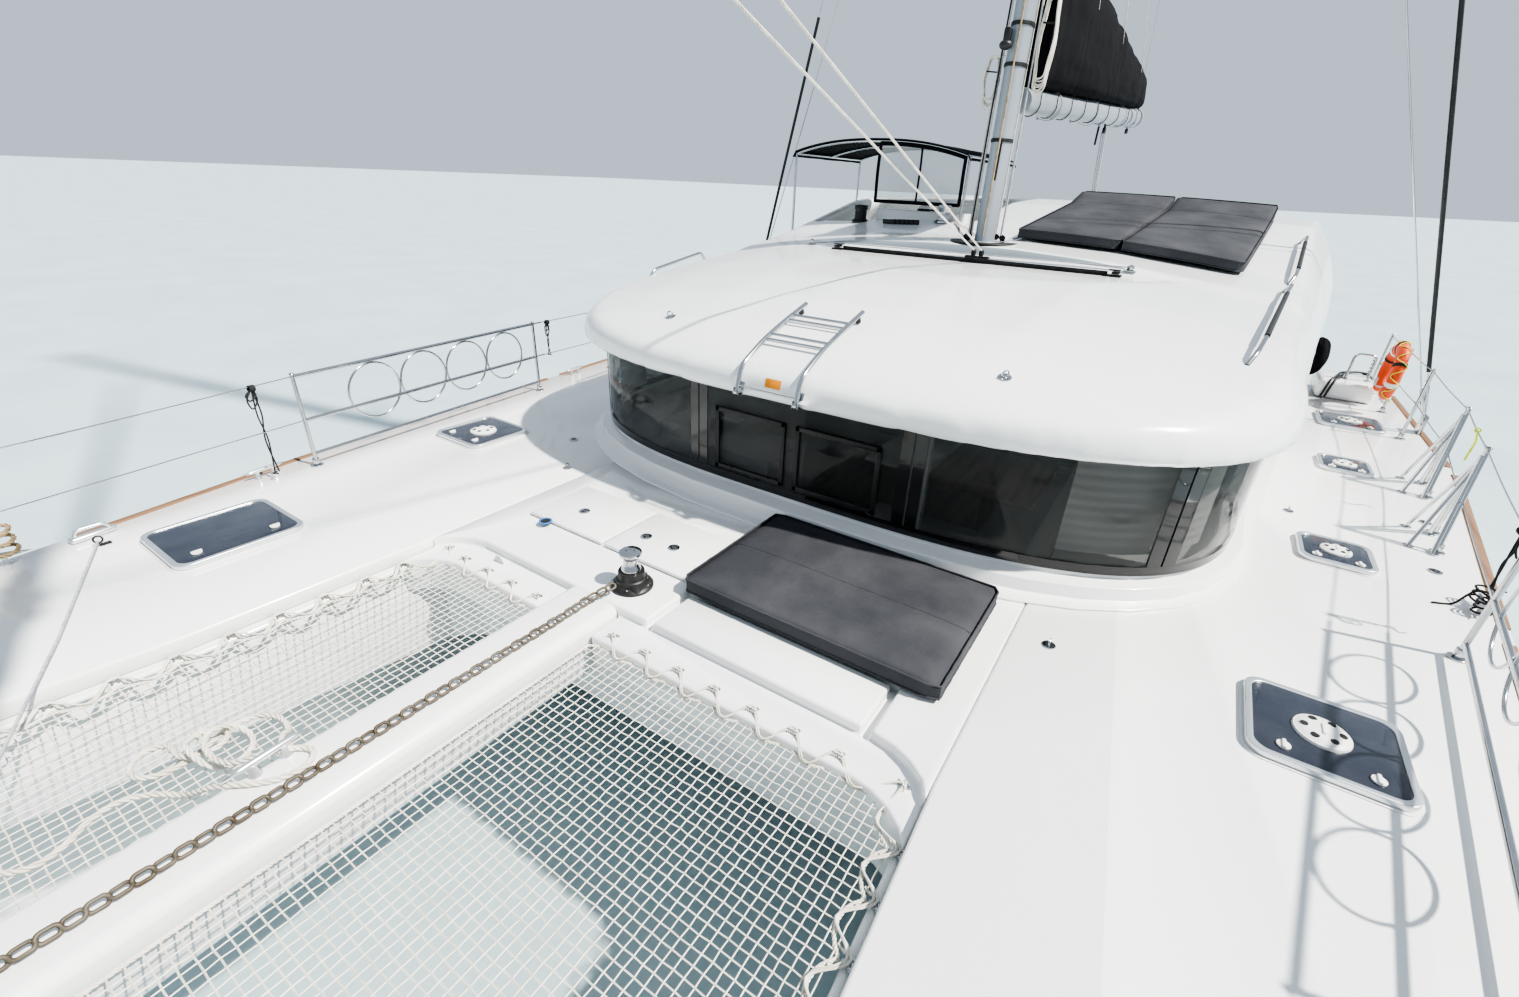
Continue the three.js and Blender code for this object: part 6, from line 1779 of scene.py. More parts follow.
class CATAMARAN_OT_boom(bpy.types.Operator):
    """Dresses the boom: its tube, end fitting, reefing lines, sheet and the stowed sail's canvas bag"""

    bl_idname = "catamaran.boom"
    bl_label = "Boom and sail bag"

    def execute(self, context):
        start, end = boom_at(0), boom_at(1)
        way = (end - start).normalized()
        side = UP.cross(way).normalized()
        up = way.cross(side)

        def tube(u, v):
            a = math.tau * u
            return start.lerp(end, v) + side * 0.086 * math.cos(a) + up * 0.1 * math.sin(a)

        parts = [shaped(tube, 40, 6, 0.0, True)]
        for t, r, wide in ((0.004, 0.1, 0.05), (0.985, 0.108, 0.05), (0.86, 0.1035, 0.012)):
            parts.append(drum(r, wide, boom_at(t), way, 44, 0.006))
        for drop in (0.062, -0.062):
            parts.append(block((0.2, 0.05, 0.012), (GOOSE[0] - 0.08, 0, GOOSE[1] + drop), 0.003))
        for t in (0.12, 0.36, 0.62, 0.8):
            parts.append(hoop(0.016, 0.004, boom_at(t) - up * 0.108, side, 20, 6))
        stand_in("boom_tube", parts, "spar", "boom")
        done("boom_end_cap", [drum(0.092, 0.012, boom_at(1.006), way, 40, 0.004),
                              *sheave_block(boom_at(0.93) - up * 0.15, -up, 0.032, side),
                              *sheave_block(boom_at(1.004) + up * 0.12, up, 0.028, side)], "black", body="boom")
        lines = []
        for t, reach in ((0.14, 0.02), (0.46, 0.03), (0.74, 0.02)):
            a, b = boom_at(t) - up * 0.104, boom_at(t + 0.075) - up * 0.104
            lines.append(flow([a + side * 0.05, a.lerp(b, 0.5) - up * reach, b - side * 0.03], 10))
        for t in (0.2, 0.5, 0.79, 0.92):
            turns = (math.tau * k / 28 for k in range(28))
            ring = [boom_at(t) + side * 0.0935 * math.cos(a) + up * 0.1075 * math.sin(a)
                    + way * 0.004 * math.sin(3 * a) for a in turns]
            lines.append([*ring, ring[0]])
        lines.append([boom_at(1.004) + up * 0.13, Vector((-1.405, 0.0, 20.3))])
        done("boom_lines", [pipe(lines, 0.004, 2)], "line", 1.2, body="boom")

        def bag(u, v):
            t = mix(BAG[0][0], BAG[-1][0], v)
            height, half = (read_edge([(-row[0], row[k]) for row in BAG], -t) for k in (1, 2))
            place = abs(2 * u - 1) * (len(BAG_SHAPE) - 1)
            i = min(int(place), len(BAG_SHAPE) - 2)
            across, lift = (mix(a, b, place - i) for a, b in zip(BAG_SHAPE[i], BAG_SHAPE[i + 1]))
            across, lift = across * half, lift * height
            sign = 1 if u > 0.5 else -1
            p = boom_at(t)
            seams = 0.006 * max(0.0, 1 - abs((t * 6.2) % 1 - 0.5) * 16)
            risen = lift / max(height, 0.01)
            sagged = 0.014 * math.sin(math.pi * min(1, risen)) * noise.noise(Vector((p.x * 2.1, 0, lift * 1.3)))
            fold = creases(p.x * 0.9, sign * 3 + across, lift * 1.6, 3.0, 0.012)
            drape = 0.012 * math.sin(p.x * 9 + lift * 7 + 1.3 * math.sin(p.x * 3.1)) * (lift / 0.8)
            out = across + (fold + drape + sagged - seams) * min(1.0, across / 0.05)
            sink = 0.03 * noise.noise(Vector((p.x * 1.7, 3, 0))) * risen ** 2
            shift = 0.012 * noise.noise(Vector((p.x * 3, lift * 4, sign)))
            return (p.x + shift, p.y + sign * out, p.z + 0.104 + lift + sink)

        cloth = shaped(bag, 64, 170, 0.0, True)
        stand_in("sail_bag_canvas", [cloth], "canvas", "sail_bag", angle=1.2)
        top = [Vector(bag(1.0, v / 90)) + UP * 0.004 for v in range(91)]
        done("sail_bag_zip", [pipe([top], 0.006, 2)], "black", 1.2, body="boom")
        ties = []
        for k in range(9):
            t = 0.06 + 0.108 * k
            p = boom_at(t)
            ring = [p + side * 0.092 * math.cos(a) + up * 0.106 * math.sin(a) for a in
                    (math.pi * (1.08 + 0.84 * j / 18) for j in range(19))]
            high = p + UP * 0.15
            if ring[0].y > ring[-1].y:
                ring.reverse()
            ties.append([high - Vector((0, 0.08, 0)), *ring, high + Vector((0, 0.08, 0))])
        done("sail_bag_ties", [pipe(ties, 0.004, 2)], "lashing", 1.2, body="boom")
        jacks = []
        for sign in (-1, 1):
            ring = Vector((-1.375, 0.035 * sign, 9.6))
            for t, h in ((0.3, 0.68), (0.56, 0.52), (0.82, 0.34)):
                p = boom_at(t)
                jacks.append([p + Vector((0, sign * 0.11, h + 0.1)), ring])
        done("lazy_jacks", [pipe(jacks, 0.003, 2)], "rope", 1.2, body="boom")
        hang = boom_at(0.68) - up * 0.112
        roof_end = on_roof(-4.16, 0.34)[0]
        done("mainsheet_boom_block", [*sheave_block(hang - up * 0.05, -up, 0.034, side),
                                      block((0.05, 0.02, 0.03), hang - up * 0.005, 0.005)], "track",
                                      body="boom")
        done("mainsheet_roof_block", [padeye(roof_end, size=1.2),
                                      *sheave_block(roof_end + UP * 0.075, UP, 0.034, side)], "track")
        low, high = roof_end + UP * 0.09, hang - up * 0.065
        falls = [[low.lerp(high, k / 30) + side * shift for k in range(31)] for shift in (-0.022, 0.0, 0.022)]
        sheet = done("mainsheet", [pipe(falls, 0.0065, 2)], "line", 1.2, body=None)
        tuple(low)
        tuple(high)
        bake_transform(sheet)
        strap = [hang + way * -0.16 + side * 0.02 + Vector((0.0, 0, 0.02 - 0.22 * k / 12)) for k in range(13)]
        done("boom_strap", [pipe([strap, [p + side * 0.008 for p in strap]], 0.008, 1)], "lashing", 1.0,
             body="boom")
        upper = [[(-1.375, 0.03 * sign, 9.62), (-1.24, 0.05 * sign, 12.6)] for sign in (-1, 1)]
        done("lazy_jack_risers", [pipe(upper, 0.003, 2)], "rope", 1.2)
        return {"FINISHED"}


class CATAMARAN_OT_standing_rigging(bpy.types.Operator):
    """Rolls the furled jib on its drum and fits the shrouds with turnbuckles and their dark sleeves"""

    bl_idname = "catamaran.standing_rigging"
    bl_label = "Furled jib and shrouds"

    def execute(self, context):
        foot, head = Vector(STAY_FOOT), Vector(STAY_HEAD)
        way = (head - foot).normalized()
        side = way.cross(Vector((0, 1, 0))).normalized()
        other = way.cross(side)

        def roll(u, v):
            a = math.tau * u
            swell = 0.4 + 0.6 * math.sin(math.pi * min(1, max(0, v)) ** 0.55) ** 0.5
            turn = (u - v * 26) % 1.0
            lap = 0.82 + 0.16 * turn + 0.012 * math.sin(6 * a + 40 * v)
            r = max(0.022, 0.088 * swell * lap)
            return foot.lerp(head, mix(0.05, 0.95, v)) + side * r * math.cos(a) + other * r * math.sin(a) * 0.9

        sail = shaped(roll, 40, 420, 0.0, True)
        stand_in("furled_jib_roll", [sail], "sailcloth", "furled_jib", angle=0.9)
        gear = [drum(0.095, 0.012, foot.lerp(head, 0.0215), way, 44, 0.003),
                drum(0.095, 0.012, foot.lerp(head, 0.0125), way, 44, 0.003),
                drum(0.06, 0.15, foot.lerp(head, 0.017), way, 40, 0.002),
                drum(0.03, 0.34, foot.lerp(head, 0.034), way, 28, 0.004),
                drum(0.045, 0.16, foot.lerp(head, 0.944), way, 32, 0.006)]
        done("furler", gear, "track")
        wraps = []
        for i in range(24 * 8):
            a = i * math.pi / 12
            out = side * math.cos(a) + other * math.sin(a)
            wraps.append(foot.lerp(head, 0.0135 + 0.0008 * i / 24) + out * 0.066)
        rods = [[foot, foot.lerp(head, 0.05)], [foot.lerp(head, 0.94), head]]
        done("furling_line", [pipe([wraps], 0.0045, 2)], "line", 1.2)
        toggles = [hoop(0.017, 0.007, foot + way * d, other, 24, 8) for d in (0.02, 0.075)]
        done("forestay_rods", [pipe(rods, 0.009, 3), *toggles], "stainless", 0.9)
        for name, sign in SIDES:
            chainplate = sign * 3.79
            low = Vector((-3.0, chainplate, 1.8))
            tip = Vector((SPREADER[0], sign * SPREADER[1], SPREADER[2]))
            top = Vector((MAST_X, sign * 0.09, HOUNDS - 0.06))
            inner = Vector((-2.94, chainplate, 1.74))
            tang = Vector((MAST_X, sign * 0.09, SPREADER[2] - 0.33))
            steel = [pipe([[low, tip], [tip, top], [inner, tang]], 0.0065, 2)]
            for a, b in ((low, tip), (inner, tang)):
                run = (b - a).normalized()
                screw = ((0, 0), (0.008, 0), (0.008, 0.04), (0.013, 0.045), (0.013, 0.1), (0.016, 0.11),
                         (0.016, 0.3), (0.013, 0.31), (0.013, 0.36), (0.008, 0.37), (0.008, 0.43), (0, 0.43))
                steel.append(turned(screw, a, run, 20))
                steel.append(hoop(0.016, 0.006, a, (1, 0, 0), 20, 8))
            run = (tip - low).normalized()
            sleeve = pipe([[low + run * 0.44, low + run * 3.6]], 0.017, 3)
            steel.append(block((0.16, 0.024, 0.17), (-2.98, chainplate, 1.738), 0.006))
            steel.extend(block((0.05, 0.03, 0.05), p, 0.006) for p in (top, tang))
            steel.append(ball(0.022, tip, sides=16))
            stand_in(f"shrouds_{name}_wires", steel, "stainless", f"shrouds_{name}", angle=0.9)
            done(f"shroud_{name}_sleeve", [sleeve], "black", 0.9)
        return {"FINISHED"}


# Helm wheel: centre and radius
HELM = (-2.52, -1.05, 2.96, 0.33)


class CATAMARAN_OT_helm(bpy.types.Operator):
    """Dresses the helm: wheel, instruments, levers, seat cushions, winches and clutches"""

    bl_idname = "catamaran.helm"
    bl_label = "Helm station"

    def execute(self, context):
        x, y, z, r = HELM
        rim = hoop(r, 0.014, (x, y, z), (1, 0, 0), 72, 14)
        stand_in("helm_wheel_rim", [rim], "black", "helm_wheel", angle=0.9)
        spokes = []
        for k in range(5):
            a = math.tau * k / 5
            out = Vector((0, math.sin(a), math.cos(a)))
            spokes.append(pipe([bend([Vector((x + 0.02, y, z)) + out * 0.03,
                                      Vector((x + 0.02, y, z)) + out * 0.16, Vector((x, y, z)) + out * r],
                                      0.06)], 0.0085, 3))
        spokes.append(drum(0.05, 0.03, (x + 0.015, y, z), (1, 0, 0), 36, 0.006))
        spokes.append(drum(0.022, 0.02, (x - 0.01, y, z), (1, 0, 0), 24, 0.004))
        done("helm_wheel_spokes", spokes, "stainless", 0.9, body="helm_wheel")
        dark, bright = [], []
        for cy, w, h, cz in ((-1.36, 0.2, 0.14, 3.14), (-1.12, 0.2, 0.14, 3.14), (-0.84, 0.26, 0.18, 3.13),
                             (-1.38, 0.12, 0.1, 2.9), (-0.66, 0.09, 0.16, 2.88)):
            dark.append(block((0.016, w, h), (-2.406, cy, cz), 0.006))
            bright.append(block((0.004, w * 0.84, h * 0.8), (-2.4155, cy, cz), 0.001))
        for k in range(6):
            dark.append(block((0.016, 0.018, 0.026), (-2.408, -1.45 + 0.032 * k, 2.76), 0.003))
        for shift in (-0.03, 0.03):
            dark.append(block((0.03, 0.02, 0.12), (-2.44, -0.66 + shift, 2.93), 0.008, (0, 0.3, 0)))
        dark.append(drum(0.075, 0.02, (-2.3, -1.05, 3.3), edge=0.005))
        done("helm_instruments", dark, "black")
        done("helm_screens", bright, "band")
        done("helm_compass", [ball(0.06, (-2.3, -1.05, 3.312), (1, 1, 0.75), sides=28)], "clear", 1.0)

        def cushion(name, x0, x1, y0, y1, z0, z1):
            def face(level):
                def place(u, v):
                    px, py = mix(x0, x1, u), mix(y0, y1, v)
                    crown = (1 - (2 * u - 1) ** 8) * (1 - (2 * v - 1) ** 8)
                    pinch = 0.01 * max(0, 1 - abs((v * 3) % 1 - 0.5) * 14) if 0.1 < v < 0.9 else 0
                    lift = 0.012 * crown - pinch * crown + creases(px, py, level, 5, 0.0022) * crown
                    return (px, py, z1 - 0.012 + lift if level else z0 + 0.002)
                return place

            core = block((x1 - x0, y1 - y0, z1 - z0 - 0.012),
                         ((x0 + x1) / 2, (y0 + y1) / 2, (z0 + z1 - 0.012) / 2), 0.012)
            edge = [(px, py, z1 - 0.012) for px, py in rounded_plan(x0, x1, y0, y1, 0.012)]
            low = [(px, py, z0 + 0.01) for px, py in rounded_plan(x0, x1, y0, y1, 0.012)]
            pad = done(name, [core, shaped(face(1), 24, 44, 0.004), pipe([edge, low], 0.005, 2, True)],
                       "upholstery", 0.9)

        cushion("helm_seat_cushion", -3.6, -3.17, -1.95, -0.53, 2.642, 2.72)
        cushion("cockpit_bench_cushion", -4.02, -3.72, -0.32, 2.1, 1.452, 1.53)
        back = block((0.07, 1.4, 0.24), (-3.575, -1.24, 2.9), 0.028, segments=4)
        seam = pipe([[(-3.54, -1.94, 2.9), (-3.54, -0.54, 2.9)]], 0.004, 2)
        done("helm_back_cushion", [back, seam], "upholstery", 0.9)
        seat = [block((0.36, 2.5, 0.4), (-3.87, 0.9, 1.251), 0.03),
                block((0.06, 2.5, 0.4), (-4.06, 0.9, 1.65), 0.02)]
        done("cockpit_bench", seat, "gelcoat")
        table = [block((0.75, 1.35, 0.035), (-2.95, 1.1, 1.76), 0.012),
                 drum(0.05, 0.66, (-2.95, 1.1, 1.4), edge=0.004),
                 drum(0.16, 0.012, (-2.95, 1.1, 1.062), edge=0.004)]
        done("cockpit_table", table, "wood")
        for k, (wx, wy) in enumerate(((-2.02, -1.68), (-2.02, -0.72))):
            place, _ = on_roof(wx, wy)
            done(f"winch_{k + 1}", winch((wx, wy, place.z - 0.004), 0.17), "black" if not k else "stainless")
        jams, levers = [], []
        for k in range(6):
            place, facing = on_roof(-1.86, -1.0 - 0.05 * k)
            jams.append(placed(block((0.17, 0.038, 0.045), (0, 0, 0.022), 0.006), place, facing))
            levers.append(placed(block((0.13, 0.022, 0.012), (0.01, 0, 0.052), 0.004, (0, -0.08, 0)), place,
                                 facing))
        done("clutches", jams, "black")
        done("clutch_levers", levers, "white")
        return {"FINISHED"}


# Awning: front and aft x, its two sides' y, height of its edge and of its crown
SHADE = (-2.05, -3.8, -2.6, -0.56, 3.85, 3.985)


class CATAMARAN_OT_awning(bpy.types.Operator):
    """Stretches the helm's awning over its bent tubes and hangs the clear front panel"""

    bl_idname = "catamaran.awning"
    bl_label = "Awning"

    def execute(self, context):
        x0, x1, y0, y1, edge, crown = SHADE
        middle, half = (y0 + y1) / 2, (y1 - y0) / 2

        def arch(share):
            return edge - 0.02 + (crown - edge) * (1 - abs(share) ** 2.4)

        bows = []
        for x in (x0 - 0.03, (x0 + x1) / 2, x1 + 0.03):
            bows.append([(x, middle + half * s, arch(s) - 0.012) for s in (-1 + k / 12 for k in range(25))])
        rails = [[(x0 - 0.03, y, edge - 0.032), (x1 + 0.03, y, edge - 0.032)] for y in (y0, y1)]
        posts = []
        for x in (x0 - 0.03, x1 + 0.03):
            for y in (y0, y1):
                hit = bpy.data.objects["coachroof_moulding"].ray_cast(Vector((x, y, 3.6)), DOWN)
                posts.append([(x, y, hit[1].z - 0.01 if hit[0] else 2.8), (x, y, edge - 0.032)])
        tubes = pipe(bows + rails + posts, 0.0145, 4)
        feet = [drum(0.034, 0.012, p[0], edge=0.003) for p in posts]
        stand_in("awning_tubes", [tubes, *feet], "stainless", "awning_frame", angle=0.9)

        def cloth(u, v):
            x = mix(x0 + 0.018, x1 - 0.018, v)
            s = (2 * u - 1) * 1.02
            between = abs(math.sin(math.tau * v))
            z = arch(min(1, abs(s))) + 0.008 - 0.02 * between * (1 - s * s)
            if abs(s) > 0.985:
                z -= 0.055 * (abs(s) - 0.985) / 0.035
            z += creases(x, s * 1.1, 0, 2.4, 0.006) * between
            return (x, middle + half * s, z)

        top = stand_in("awning_cloth", [shaped(cloth, 90, 90, 0.0025)], "canvas", "awning", angle=1.0)
        hems = [pipe([[cloth(u, v / 40) for v in range(41)] for u in (0.0, 0.012, 0.5, 0.988, 1.0)], 0.004, 1),
                pipe([[cloth(u / 60, v) for u in range(61)] for v in (0.0, 0.5, 1.0)], 0.004, 1)]
        seams = done("awning_hems", hems, "black", 1.0)
        width = path_length([cloth(k / 60, 0.5) for k in range(61)])

        low, edge_at = 3.36, -1.55

        def pane(u, v):
            y = mix(edge_at, y1 - 0.03, u)
            s = (y - middle) / half
            z = mix(low, arch(s) - 0.03, v)
            return (x0 - 0.012 + 0.012 * math.sin(5 * u + 3 * v) * math.sin(math.pi * v), y, z)

        front = done("awning_window", [shaped(pane, 40, 30, 0.0015)], "clear", 1.0)
        rim = [[pane(k / 40, v) for k in range(41)] for v in (0.0, 0.03, 0.97, 1.0)]
        rim += [[pane(u, k / 20) for k in range(21)] for u in (0.0, 0.015, 0.5, 0.985, 1.0)]
        border = done("awning_window_border", [pipe(rim, 0.011, 1)], "canvas", 1.0)
        return {"FINISHED"}


# Lifebuoy: centre, half width, half height, half thickness in its plane and across it, how far it reaches round
BUOY = ((-3.6, 3.545, 2.04), 0.222, 0.252, 0.062, 0.05, 1.6)


class CATAMARAN_OT_lifebuoy(bpy.types.Operator):
    """Stuffs the horseshoe lifebuoy's cover, with its straps, yellow line, bright patches and bracket"""

    bl_idname = "catamaran.lifebuoy"
    bl_label = "Lifebuoy"

    def execute(self, context):
        (cx, cy, cz), wide, high, thick, flat, reach = BUOY

        def core(t):
            a = math.pi * (0.5 - reach / 2 + reach * t)
            out = Vector((math.cos(a), 0, math.sin(a)))
            return Vector((cx + wide * math.cos(a), cy, cz + high * math.sin(a))), out

        def cover(u, v):
            place, outward = core(v)
            end = min(v, 1 - v) / 0.045
            round_off = math.sqrt(1 - (1 - min(1, end)) ** 2) if end < 1 else 1.0
            b = math.tau * u
            swell = 1 + 0.03 * math.sin(v * 40) * math.sin(3 * b) + creases(v * 3, u * 3, 0, 2.2, 0.05)
            seam = 1 - 0.06 * max(0, 1 - abs((v * 5) % 1 - 0.5) * 24)
            r = max(0.05, round_off) * swell * seam
            return place + outward * thick * math.cos(b) * r + Vector((0, flat * math.sin(b) * r, 0))

        body = shaped(cover, 36, 150, 0.0, True)
        stand_in("lifebuoy_cover", [body], "orange_cover", "lifebuoy", angle=1.0)

        def band(t, width, stand):
            def place(u, v):
                p, outward = core(t + (v - 0.5) * width)
                b = math.tau * u
                return (p + outward * (thick * stand) * math.cos(b)
                        + Vector((0, flat * stand * math.sin(b), 0)))
            return shaped(place, 32, 3, 0.002)

        done("lifebuoy_patches", [band(t, 0.03, 1.045) for t in (0.14, 0.62)], "white", 0.9)
        done("lifebuoy_straps", [band(t, 0.022, 1.07) for t in (0.28, 0.5, 0.72)], "lashing", 0.9)
        zig = []
        for k in range(61):
            t = k / 60
            p, out = core(t)
            swing = math.sin(k * 0.9)
            stand = thick * 1.12 * math.sqrt(max(0, 1 - 0.5 * swing * swing))
            zig.append(p + out * stand + Vector((0, flat * 0.95 * swing, 0)))
        done("lifebuoy_line", [pipe([flow(zig, 3)], 0.004, 2)], "yellow", 1.2)
        hook = [(cx + 0.03, cy + 0.075, 2.3), (cx + 0.03, cy + 0.075, 1.98), (cx + 0.03, cy + 0.02, 1.9),
                (cx + 0.03, cy - 0.08, 1.9), (cx + 0.03, cy - 0.08, 1.99)]
        other = [(px - 0.06, py, pz) for px, py, pz in hook]
        done("lifebuoy_bracket", [pipe([bend(hook, 0.03), bend(other, 0.03)], 0.005, 3)], "stainless", 0.9)
        return {"FINISHED"}


def lanyard(top, drop, sign):
    """A short black lanyard knotted on a wire, its two tails hanging to the deck."""
    top = Vector(top)
    parts = [hoop(0.017, 0.0045, top + Vector((0.008 * (k - 1.5), 0, 0)), (1, 0.15, 0.1), 18, 6)
             for k in range(4)]
    end = top + Vector((0, 0.01 * sign, -drop))
    for k in range(2):
        lean = Vector((0.012 * (1 if k else -1), 0.004, 0))
        parts.append(pipe([flow([top, top.lerp(end, 0.3) + lean, top.lerp(end, 0.6) - lean * 0.6, end + lean],
                                8)], 0.0045, 2))
    for reach in (0.07, 0.12):
        loop = [top, top + Vector((0.045, 0.02, -reach * 0.5)), top + Vector((0.03, 0.02, -reach)),
                top + Vector((-0.01, 0.01, -reach * 0.6)), top]
        parts.append(pipe([flow(loop, 8)], 0.0045, 2))
    parts.append(pipe([flow([end, end + Vector((0.03, 0.02, 0.006)), end + Vector((0.01, 0.05, 0.004))], 6)],
                      0.0045, 2))
    return parts


# Small round deck fittings: kind, x, y, height of the surface they stand on
PORTS = (
    ("socket", 3.087, -1.079, 1.676), ("latch", 2.861, -0.996, 1.676), ("latch", 2.863, -0.285, 1.676),
    ("latch", 2.863, -0.49, 1.676), ("fill", 0.374, 3.321, 1.651), ("fill", -0.45, 3.417, 1.651),
    ("fill", 0.374, -3.321, 1.651), ("pad", 2.45, 1.62, 1.651), ("pad", -0.071, 2.653, 1.651),
    ("pad", 2.45, -1.62, 1.651), ("fill", 2.05, -2.0, 1.651),
)
# Cleats with rope on them: x, y, height and turn of the one on the bow, x of the one at the port waist
TAN_CLEAT = (5.02, -2.86, ON_DECK, -0.35)
PORT_CLEAT_X = 0.77


def belay(name, start, turn, size, rise, radius, finish, fall=1.0):
    """A rope in three figures of eight about a cleat, its bare tail dropped on the deck."""
    path = []
    long, wide = size
    ahead = Vector((math.cos(turn), math.sin(turn), 0))
    beside = Vector((-ahead.y, ahead.x, 0)) * math.copysign(1, fall)
    for k in range(3 * 32 + 1):
        a = math.tau * k / 32
        path.append(start + UP * (rise * k / 32) + ahead * long * math.sin(a) + beside * wide * math.sin(2 * a))
    last = path[-1]
    deck = ON_DECK + radius - last.z
    reach = abs(fall)
    path += [last + beside * (wide + radius) - UP * 0.01,
             last + beside * 0.13 * reach + Vector((0, 0, deck * 0.5)),
             last + (beside * 0.2 + ahead * 0.05) * reach + UP * deck,
             last + (beside * 0.36 + ahead * 0.16) * reach + UP * deck]
    path = even(flow(path, 3), 0.01)
    rope = done(name, [laid(path, radius, radius * 6.8, 1)], finish, 1.2)
    tuple(path[0])
    path_length(path)
    [tuple(p) for p in path]


